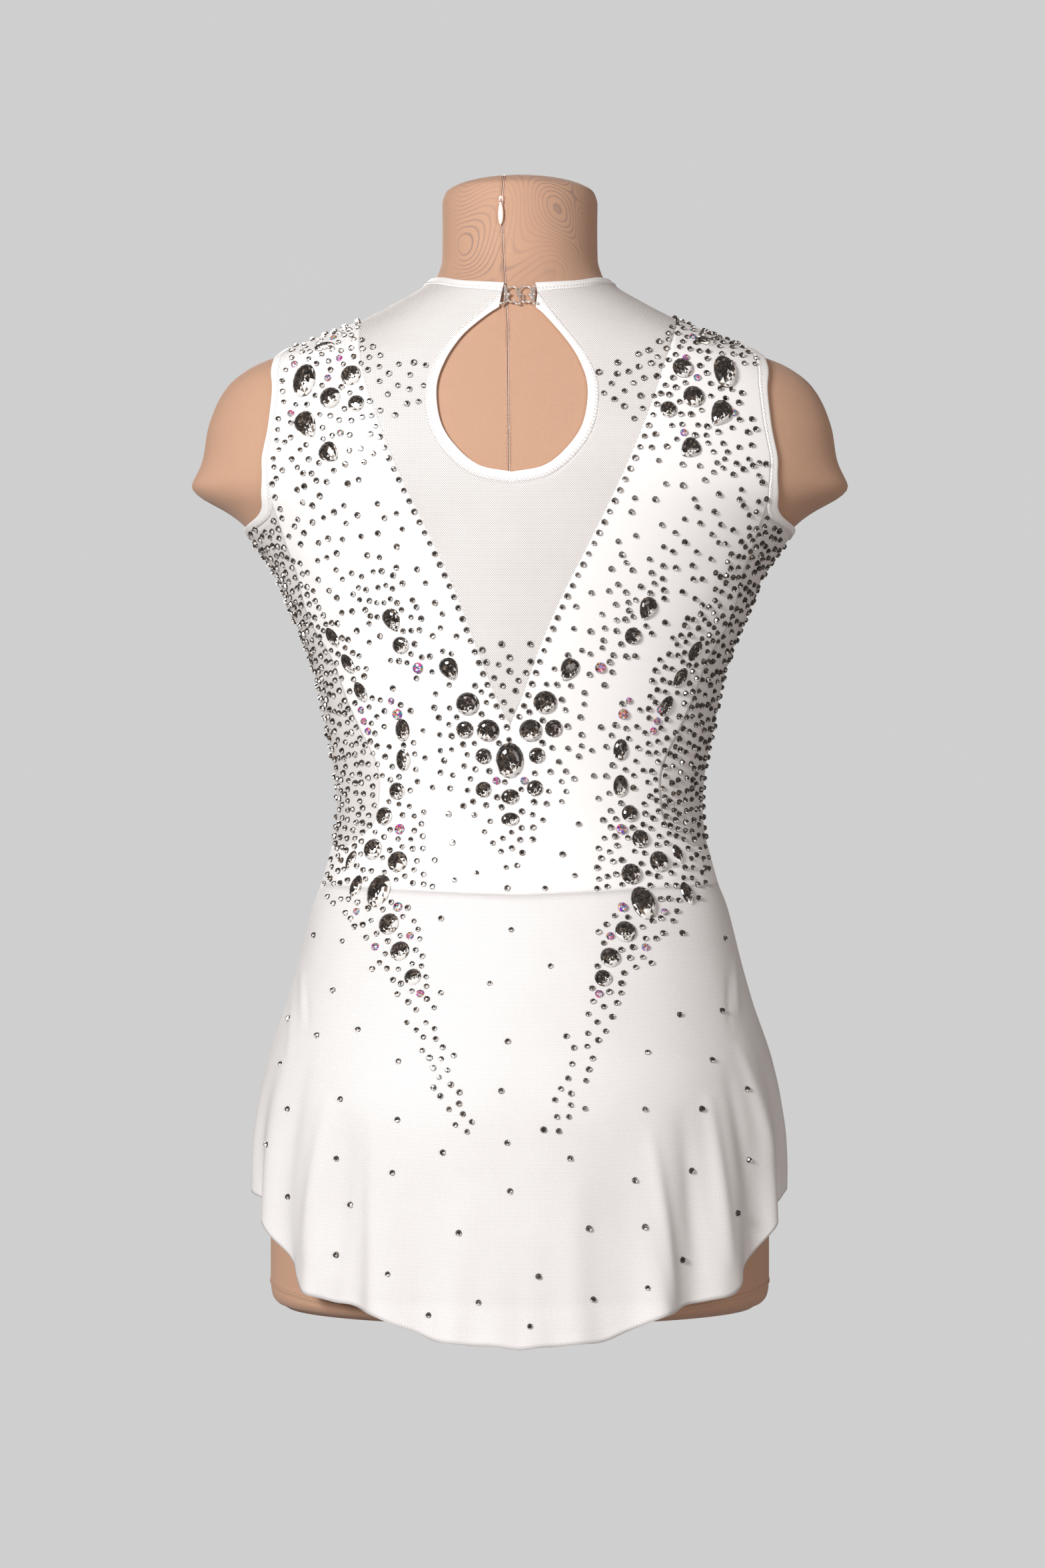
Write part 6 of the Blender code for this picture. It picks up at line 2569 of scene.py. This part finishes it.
    def along(self, chart: Array, pitch: float, sway: float = 0.0) -> Seats:
        """Seats in a row along a line on the bodice.

        Args:
            chart: (turn, height) points of the line.
            pitch: millimetres between two.
            sway: random sideways way in degrees of turn.

        Returns:
            The seats.
        """
        place = BODY.bare(chart[:, 0], chart[:, 1])
        total = float(np.linalg.norm(np.diff(place, axis=0), axis=1).sum())
        even = BODY.evenly(chart, max(int(total / pitch), 1))
        even += self.rng.normal(0.0, 1.0, even.shape) * (sway, 1.6 * sway)
        even = even[self.on_cloth(even[:, 0], even[:, 1])]
        seats = Seats.on_bodice(even[:, 0], even[:, 1])
        chosen = self.kept(seats, 0.85 * pitch)
        seats = seats.picked(chosen)
        self.placed.append(seats.place)
        self.reach.append(np.full(len(chosen), self.radius))
        return seats

    def small(self, name: str, groups: list[Seats]) -> bpy.types.Object:
        """Small crystals as one piece.

        Args:
            name: the piece's name.
            groups: seats.

        Returns:
            The piece.
        """
        seats = Seats.together(groups)
        count = len(seats.place)
        width = 2.0 * self.radius * self.rng.uniform(0.86, 1.1, count)
        size = np.stack([width, width, self.small_height * width], axis=1)
        template = self.faceted(Cut.ROUND, 8, self.small_rings)
        lean = self.rng.uniform(-0.4, 0.4, count)
        pile = Pile()
        pile.put(*self.solids(seats, template, size, lean, self.small_shares))
        return self.joined(name, pile)

    def rainbow(self, name: str) -> bpy.types.Object:
        """The stones that flash in colours, on both sides of the bodice and the skirt.

        Args:
            name: the piece's name.

        Returns:
            The piece.
        """
        template = self.faceted(Cut.ROUND, 12, self.rainbow_rings)
        pile = Pile()
        for table, on_skirt in ((RAINBOW_PAIRS, False), (SKIRT_RAINBOW_PAIRS, True)):
            across, height, width = (np.tile(table.column(key), 2) for key in table.columns)
            sign = np.repeat([1.0, -1.0], len(table.rows))
            turn = BODY.turn_at(sign * across + BODY.lean(height), height)
            seats = Seats.on_skirt(turn, height) if on_skirt else Seats.on_bodice(turn, height)
            self.placed.append(seats.place)
            self.reach.append(0.5 * width)
            size = np.stack([width, width, self.rainbow_height * width], axis=1)
            pile.put(*self.solids(seats, template, size, 0.0 * width, self.rainbow_shares, True))
        return self.joined(name, pile)


def hoop(centre: tuple[float, float], radius: float, start: float, end: float) -> Points:
    """Points of an arc: centre + radius (cos a, sin a).

    Args:
        centre: its centre.
        radius: its radius.
        start: first angle in degrees.
        end: last angle in degrees.

    Returns:
        Nine points.
    """
    angles = np.radians(np.linspace(start, end, 9))
    arc = np.array(centre) + radius * np.column_stack([np.cos(angles), np.sin(angles)])
    return tuple((float(x), float(y)) for x, y in arc)


# The clasp seen from outside, each half's wires and beads in its own frame
LEFT_WIRES = (
    ((-2.4, -0.4), *hoop((-5.6, 2.5), 3.8, 8.0, 212.0), (-7.9, -0.2)),
    ((-2.6, -0.3), (-1.0, -0.3), (0.2, -0.35)),
    ((-0.1, 0.1), (-0.1, -4.0), (-0.1, -8.0)),
    ((-8.8, -1.8), (-7.9, -4.8), (-5.8, -6.6), (-4.1, -5.5), (-2.6, -7.4), (-0.4, -8.0)),
    ((-10.4, 6.3), (-10.6, 2.0), (-10.4, -7.2)),
    ((-9.6, 5.4), (-8.9, 0.4), (-9.6, -4.4)),
    ((-13.0, -8.0), (-11.2, -7.2), (-9.4, -5.8), (-7.9, -4.8)),
)
LEFT_BEADS = Table(
    ("x", "y", "level", "radius"),
    (
        (-7.6, -0.2, 1.3, 1.25),
        (-8.7, -2.1, 1.2, 0.95),
        (-4.2, -5.6, 1.2, 0.8),
        (-7.2, -6.0, 1.2, 0.85),
        (-10.4, 6.5, 1.3, 0.85),
        (-10.5, 0.0, 1.2, 0.75),
        (-11.2, -7.2, 1.6, 0.9),
        (-12.9, -8.2, 2.2, 1.15),
        (-0.1, -8.1, 1.2, 0.8),
    ),
)
RIGHT_WIRES = (
    ((0.1, -0.2), *hoop((3.9, 2.5), 4.2, 190.0, -22.0), (7.3, -0.4)),
    ((0.2, -0.3), (1.2, -0.2), (2.0, -0.4), (2.1, -3.0), (2.0, -6.0)),
    ((8.4, -1.8), (8.0, -4.6), (6.4, -6.6), (4.8, -5.4), (3.4, -6.6), (2.0, -6.0)),
    ((9.9, 6.3), (10.1, 2.0), (9.8, -7.4)),
    ((9.1, 5.2), (8.6, 0.6), (9.1, -4.4)),
    ((12.3, -8.0), (10.9, -7.4), (9.6, -7.9)),
)
RIGHT_BEADS = Table(
    ("x", "y", "level", "radius"),
    (
        (7.0, -0.5, 1.3, 1.25),
        (7.9, -2.3, 1.2, 0.95),
        (4.8, -5.6, 1.2, 0.8),
        (7.3, -5.8, 1.2, 0.8),
        (9.9, 6.5, 1.3, 0.9),
        (10.0, 0.0, 1.2, 0.75),
        (9.7, -7.9, 1.6, 1.0),
        (12.2, -8.1, 2.2, 1.15),
        (2.0, -6.1, 1.2, 0.75),
    ),
)

# Strands of the closed zip and its two rows of stitches, aside being towards the wearer's left
ZIP_STRANDS = Table(
    ("name", "aside", "thick", "colour", "shade"),
    (
        ("zip_lip_left", 0.55, 0.40, (0.62, 0.39, 0.28), (0.50, 0.30, 0.21)),
        ("zip_lip_right", -0.60, 0.44, (0.78, 0.55, 0.46), (0.62, 0.42, 0.34)),
        ("zip_coil", 0.0, 0.26, (0.06, 0.03, 0.02), (0.03, 0.015, 0.01)),
    ),
)
ZIP_STITCHES = (1.7, -1.9)


@dataclass
class Hardware:
    """The zip with its slider and pull, and the clasp at the neck."""

    outfit: Outfit
    zip_low: float = 598.0
    zip_top: float = 823.0
    clasp_height: float = 731.0
    wire_level: float = 1.1
    wire: float = 0.55
    slider_turn: float = 76.6
    slider_height: float = 801.0
    slider_sink: float = 1.25
    bail: float = 1.25
    bail_foot: float = 1.75
    bail_rise: float = 1.7
    hinge_level: float = 2.35
    eye: float = 1.15
    leaf_top: float = 2.1
    leaf_length: float = 16.2
    leaf_half_width: float = 2.1
    leaf_half_thickness: float = 0.44

    def swept(self, path: Array, out: Array, radius: Array | float, sides: int = 10) -> Solid:
        """A wire: a circle carried along a path, P = path + r (side cos a + up sin a).

        Args:
            path: points of its middle.
            out: way out of the ground at each point.
            radius: its radius along the path.
            sides: sides of the circle.

        Returns:
            Points and face groups.
        """
        along = unit(np.gradient(path, axis=0))
        side = unit(np.cross(along, out))
        up = np.cross(side, along)
        angle = np.arange(sides) * math.tau / sides
        radius = np.broadcast_to(np.asarray(radius, float), (len(path),)).copy()
        radius[[0, -1]] *= 0.35
        cosine, sine = np.cos(angle)[None, :, None], np.sin(angle)[None, :, None]
        ring = side[:, None] * cosine + up[:, None] * sine
        return tube_of(path[:, None] + ring * radius[:, None, None])

    def ball(self, centre: Array, radius: Array, power: float = 1.0) -> Solid:
        """A rounded solid: a ball's grid of two angles, each cosine and sine raised to the power.

        Args:
            centre: its middle.
            radius: its three half sizes.
            power: 1 for a ball, less for a rounded box.

        Returns:
            Points and face groups.
        """
        lean = np.linspace(-0.5, 0.5, 11)[1:-1, None] * math.pi
        turn = np.arange(16)[None, :] * math.tau / 16
        level = powered(np.cos(lean), power)
        x, y = level * powered(np.cos(turn), power), level * powered(np.sin(turn), power)
        unit_ball = np.stack(np.broadcast_arrays(x, y, powered(np.sin(lean), power)), axis=-1)
        return tube_of(unit_ball * radius + centre)

    def joined(
        self,
        name: str,
        parts: list[Solid],
        finish: bpy.types.Material,
        slot: str,
        seat: tuple[Array, Array] | None = None,
        body: str = "form",
        replaces: Sequence[str] = (),
    ) -> bpy.types.Object:
        """One piece from several wires and balls, laid in a seat's frame.

        Args:
            name: the piece's name.
            parts: points and faces of each.
            finish: its material.
            slot: the record's slot.
            seat: origin and rows of axes, or none where the points are in place.
            body: the body it rides on.
            replaces: CAD nodes that it stands for.

        Returns:
            The piece.
        """
        pile = Pile()
        for part in parts:
            pile.put(*part)
        place = np.concatenate(pile.points)
        if seat is not None:
            place = seat[0] + place @ seat[1]
        mesh = mesh_of(name, place, pile.faces)
        mend(mesh, outward=True)
        return self.outfit.add(name, mesh, finish, slot, body=body, replaces=replaces, sharp=50.0)

    def seat(self, turn: float, height: float, offset: float) -> tuple[Array, Array]:
        """Frame on the skin: level to the right seen from outside, up the slope, and out.

        Args:
            turn: turn in degrees.
            height: height.
            offset: way out.

        Returns:
            Origin and rows of axes.
        """
        at, level = np.array(turn), np.array(height)
        by_turn, by_height = BODY.slopes(at, level)
        out = unit(np.cross(by_turn, by_height))
        across = unit(by_turn)
        return BODY.skin(at, level, offset), np.stack([across, np.cross(out, across), out])

    def bent(self, points: Points) -> Solid:
        """A wire of the clasp, bent smoothly through flat points.

        Args:
            points: (x, y) points in the clasp's frame.

        Returns:
            Points and faces.
        """
        flat = curve_through(points)
        path = np.column_stack([flat, np.full(len(flat), self.wire_level)])
        return self.swept(path, np.broadcast_to(UP, path.shape), self.wire, 8)

    def clasp(self, name: str, wires: Sequence[Points], beads: Table) -> None:
        """One half of the clasp: bent wires with beads on their ends, beside the binding's end.

        Args:
            name: the CAD node that it stands for.
            wires: points of each wire.
            beads: place and radius of each bead.
        """
        parts = [self.bent(points) for points in wires]
        for x, y, level, radius in beads.rows:
            parts.append(self.ball(np.array((x, y, level)), np.full(3, radius)))
        turn = float(BODY.turn_at(np.array(0.0), np.array(self.clasp_height)))
        seat = self.seat(turn, self.clasp_height, CLOTH_GAP)
        metal = Plating().material(name)
        self.joined(name + "_wire", parts, metal, "clasp_metal", seat, replaces=[name])

    def zip_line(self, form: DressForm, aside: float, steps: int) -> Array:
        """The zip's line on the skin, moved aside.

        Args:
            form: the form whose zip it is.
            aside: way towards the wearer's left.
            steps: steps along it.

        Returns:
            (turn, height) points from its low end up.
        """
        height = np.linspace(self.zip_low, self.zip_top, steps + 1)
        return np.stack([BODY.turn_at(form.zip_across(height) + aside, height), height], axis=1)

    def zip(self, form: DressForm, stitching: Stitching) -> None:
        """The closed zip: two lips of the cover, the dark coil between them and rows of stitches.

        Args:
            form: the form whose zip it is.
            stitching: maker of the stitch rows.
        """
        for name, aside, thick, colour, shade in ZIP_STRANDS.rows:
            chart = self.zip_line(form, aside, 260)
            path = BODY.skin(chart[:, 0], chart[:, 1], -FORM_INSET + 0.12)
            out = unit(np.cross(*BODY.slopes(chart[:, 0], chart[:, 1])))
            finish = Lacquer(colour, shade, 0.6).material(name)
            self.joined(name, [self.swept(path, out, thick, 8)], finish, "zip_plastic")
        thread = Thread((0.74, 0.52, 0.41), (0.55, 0.36, 0.27))
        lines = [self.zip_line(form, aside, 120) for aside in ZIP_STITCHES]
        rows = [stitching.row(line, -FORM_INSET - 0.02) for line in lines]
        stitching.piece("zip_stitches", rows, thread, "cover_knit")

    def pull(self) -> None:
        """Slider with its bail, and the leaf-shaped pull that hangs in the bail."""
        seat = self.seat(self.slider_turn, self.slider_height, -self.slider_sink)
        angle = np.linspace(0.0, math.pi, 24)
        rise = self.bail_foot + self.bail_rise * np.sin(angle)
        bail = np.stack([0.0 * angle, self.bail * np.cos(angle), rise], axis=-1)
        body = self.ball(np.array((0.0, 0.0, 0.8)), np.array((1.8, 3.5, 0.8)), 0.45)
        parts = [body, self.swept(bail, np.broadcast_to((1.0, 0.0, 0.0), bail.shape), 0.34)]
        finish = Lacquer((0.80, 0.58, 0.47), (0.66, 0.45, 0.35), 0.3)
        cast = finish.material("zip_slider")
        self.joined("zip_slider_cast", parts, cast, "zip_plastic", seat, replaces=["zip_slider"])
        origin, axes = seat
        hinge = (origin + axes[2] * self.hinge_level, axes)
        angle = np.linspace(0.0, math.tau, 33)
        drop = self.eye * (np.cos(angle) - 1.0)
        eye = np.stack([self.bail * np.sin(angle), drop, 0.0 * angle], axis=-1)
        parts = [self.swept(eye, np.broadcast_to(UP, eye.shape), 0.36), tube_of(self.leaf())]
        cast = finish.material("zip_pull")
        self.joined(
            "zip_pull_cast", parts, cast, "zip_plastic", hinge, body="pull", replaces=["zip_pull"]
        )

    def leaf(self) -> Array:
        """The pull's leaf: rounded sections that swell as a sine's power and close at the tip.

        Returns:
            Grid of points.
        """
        share = np.linspace(0.0, 1.0, 40)[:, None]
        turn = np.arange(20)[None, :] * math.tau / 20
        swell = 0.40 + 0.60 * np.sin(math.pi * np.clip(share * 1.02, 0.0, 1.0)) ** 0.9
        half = self.leaf_half_width * swell * (1.0 - share**14)
        across = half * powered(np.cos(turn), 0.55)
        out = self.leaf_half_thickness * powered(np.sin(turn), 0.8) * (1.0 - share**20)
        down = -self.leaf_top - self.leaf_length * share
        return np.stack(np.broadcast_arrays(across, down, out), axis=-1)


def sew(stitching: Stitching, form: DressForm, lines: dict[str, tuple[Array, Array, bool]]) -> None:
    """Rows of stitches along the bindings and the form's base seam.

    Args:
        stitching: maker of the rows.
        form: the dress form.
        lines: open edge, sewn edge and whether it is a loop, by binding.
    """
    white = Thread((0.74, 0.72, 0.71), (0.50, 0.47, 0.46))
    rows = []
    level = CLOTH_GAP + BINDING_WALL - THREAD_SINK
    for edge, inner, closed in lines.values():
        for share in BINDING_STITCHES:
            rows.append(stitching.row(edge * (1.0 - share) + inner * share, level, closed))
    stitching.piece("binding_stitches", rows, white, "white_elastic")
    turn = np.linspace(-180.0, 180.0, 721)[:-1]
    seam = np.stack([turn, form.seam_height(turn) + BASE_STITCH_RISE], axis=1)
    brown = Thread((0.42, 0.27, 0.19), (0.30, 0.18, 0.12))
    row = stitching.row(seam, -FORM_INSET + WELT_RISE, True)
    stitching.piece("base_stitches", [row], brown, "cover_knit")


def trim(outfit: Outfit, arm_in: Array) -> None:
    """Stones and crystals.

    Args:
        outfit: where pieces go.
        arm_in: the panels' edge round the left arm.
    """
    gems = Gems(outfit)
    gems.large("bodice_stones", gems.stone_list(STONE_PAIRS, STONE_LINE), False)
    gems.large("skirt_stones", gems.stone_list(SKIRT_STONE_PAIRS), True)
    gems.rainbow("rainbow_stones")
    side = PATTERN.side(arm_in[STRAP_ROWS])
    outer = np.vstack([side[BACK_TIP_ROW:], arm_in[:STRAP_ROWS][::-1]])
    rows = []
    for right in (False, True):
        line = PATTERN.v_line(Face.BACK, right)
        line = line[line[:, 1] < V_ROW.top]
        aside = -V_ROW.aside if right else V_ROW.aside
        rows.append(gems.along(BODY.shifted(line, aside, False), V_ROW.pitch))
        for part in SIDE_ROW_PARTS:
            column = side[side[:, 1] > SIDE_ROW_FOOT] * (part, 1.0)
            rows.append(gems.along(faced(column, Face.BACK, right), SIDE_ROW_PITCH, SIDE_ROW_SWAY))
        rows.extend(gems.flows(right, outer))
    gems.small("bodice_crystals", rows + gems.strewn(BACK_CLUSTERS, False))
    gems.small("yoke_crystals", gems.strewn(YOKE_CLUSTERS, False))
    gems.small("skirt_crystals", gems.strewn(SKIRT_CLUSTERS, True))


@dataclass
class Studio:
    """Floor, backdrop, lights and camera."""

    distance: float = 2.6
    eye: float = 0.390
    lens: float = 82.9
    aside: float = -0.0019
    aim: Rgb = (0.0, 0.0, 0.45)
    floor: float = 4.2
    curve: float = 1.4
    top: float = 7.0
    grey: Rgb = (0.628, 0.628, 0.628)

    def sweep(self) -> None:
        """Round floor that curves up into a wall: floor, quarter circle and wall spun round."""
        bend = np.linspace(0.0, 0.5 * math.pi, 24)
        wall = self.floor + self.curve
        reach = np.concatenate([[0.02], self.floor + self.curve * np.sin(bend), [wall]])[:, None]
        level = np.concatenate([[0.0], self.curve * (1.0 - np.cos(bend)), [self.top]])[:, None]
        turn = np.arange(96)[None, :] * math.tau / 96
        grid = np.stack(np.broadcast_arrays(reach * np.cos(turn), reach * np.sin(turn), level), axis=-1)
        rows, columns = grid.shape[:2]
        faces = [quads_of(rows, columns, 0, False, True)[:, ::-1], np.arange(columns)[None, :]]
        mesh = mesh_of("sweep", grid.reshape(-1, 3) / MM, faces)
        mesh.shade_smooth()
        piece = bpy.data.objects.new("sweep", mesh)
        bpy.context.scene.collection.objects.link(piece)
        plain = {"Base_Color": (0.0, 0.0, 0.0, 1.0), "Roughness": 1.0, "Specular_IOR_Level": 0.0}
        weaver = Weaver("studio_paper", **plain, Emission_Strength=1.0)
        grain = weaver.noise(3.0, 2.0)
        low = tuple(0.99 * part for part in self.grey)
        weaver.feed(Emission_Color=weaver.tint(grain, low, self.grey))
        mesh.materials.append(weaver.material)
        piece.visible_diffuse = False
        piece.visible_glossy = False
        piece.visible_shadow = False

    def lamp(self, name: str, place: Rgb, size: float, power: float, colour: Rgb) -> None:
        """An area light that looks at the form's middle.

        Args:
            name: the lamp's name.
            place: where it stands, in metres.
            size: its side in metres.
            power: its power in watts.
            colour: its colour.
        """
        light = bpy.data.lights.new(name, "AREA")
        light.size, light.energy, light.color = size, power, colour
        lamp = bpy.data.objects.new(name, light)
        bpy.context.scene.collection.objects.link(lamp)
        lamp.location = place
        lamp.rotation_euler = (Vector(self.aim) - Vector(place)).to_track_quat("-Z", "Y").to_euler()

    def build(self) -> None:
        """Make the studio."""
        self.sweep()
        self.lamp("key", (1.6, 2.8, 1.4), 0.9, 110.0, (1.0, 0.995, 0.985))
        self.lamp("fill", (-1.5, 3.0, 0.5), 1.6, 26.0, (1.0, 0.96, 0.94))
        self.lamp("front", (0.5, -3.1, 1.3), 1.6, 62.0, (1.0, 0.99, 0.98))
        world = bpy.data.worlds.new("studio")
        bpy.context.scene.world = world
        world.use_nodes = True
        glow = world.node_tree.nodes["Background"].inputs
        glow["Color"].default_value = (1.0, 0.88, 0.82, 1.0)
        glow["Strength"].default_value = 0.23
        bpy.context.scene.view_settings.view_transform = "Standard"
        camera = bpy.data.cameras.new("camera")
        camera.lens, camera.sensor_width = self.lens, 36.0
        eye = bpy.data.objects.new("camera", camera)
        bpy.context.scene.collection.objects.link(eye)
        eye.location = (self.aside, self.distance, self.eye)
        eye.rotation_euler = (0.5 * math.pi, 0.0, math.pi)
        bpy.context.scene.camera = eye


def main() -> None:
    """Build the form, the leotard, its stones and the studio."""
    logging.basicConfig(level=logging.INFO, format="%(message)s")
    outfit = Outfit()
    form = DressForm(outfit)
    form.build()
    arm_edge, arm_in = PATTERN.armhole()
    hole_edge, hole_outer = PATTERN.keyhole()
    bodice = Bodice(outfit)
    back_panel = bodice.opaque("back_panel", Face.BACK, arm_in)
    front_panel = bodice.opaque("front_panel", Face.FRONT, arm_in)
    left_side = bodice.under_arm("side_panel_left", False, arm_in)
    right_side = bodice.under_arm("side_panel_right", True, arm_in)
    back_yoke = bodice.yoke("back_yoke", Face.BACK, hole_outer)
    front_yoke = bodice.yoke("front_yoke", Face.FRONT, hole_outer)
    back = np.linspace(CLASP_END_TURN, 0.0, 4 * DETAIL + 1)
    front = np.linspace(0.0, -180.0, NECK_FRONT_STEPS + 1)
    turn = np.concatenate([back, front[1:], -180.0 - back[::-1][1:]])
    upper = np.stack([turn, PATTERN.neck_top(turn)], axis=1)
    lower = np.stack([turn, PATTERN.neck_low(turn)], axis=1)
    right_edge, right_in = faced(arm_edge, Face.BACK, True), faced(arm_in, Face.BACK, True)
    lines = {
        "armhole_binding_left": (arm_edge, arm_in, True),
        "armhole_binding_right": (right_edge, right_in, True),
        "keyhole_binding": (hole_edge, hole_outer, False),
        "neck_binding": (upper, lower, False),
    }
    bindings = Bindings(outfit)
    bands = {
        node: bindings.band(node + "_elastic", node, edge, inner, closed)
        for node, (edge, inner, closed) in lines.items()
    }
    skirt = Skirt(outfit)
    skirt_back, skirt_front = skirt.half("skirt_back", Face.BACK), skirt.half("skirt_front", Face.FRONT)
    brief_back = skirt.brief("brief_back", Face.BACK)
    brief_front = skirt.brief("brief_front", Face.FRONT)
    stitching = Stitching(outfit)
    sew(stitching, form, lines)
    hardware = Hardware(outfit)
    hardware.clasp("clasp_left", LEFT_WIRES, LEFT_BEADS)
    hardware.clasp("clasp_right", RIGHT_WIRES, RIGHT_BEADS)
    hardware.zip(form, stitching)
    hardware.pull()
    trim(outfit, arm_in)
    Studio().build()
    LOG.info("%d pieces", len(outfit.names))


if __name__ == "__main__":
    main()
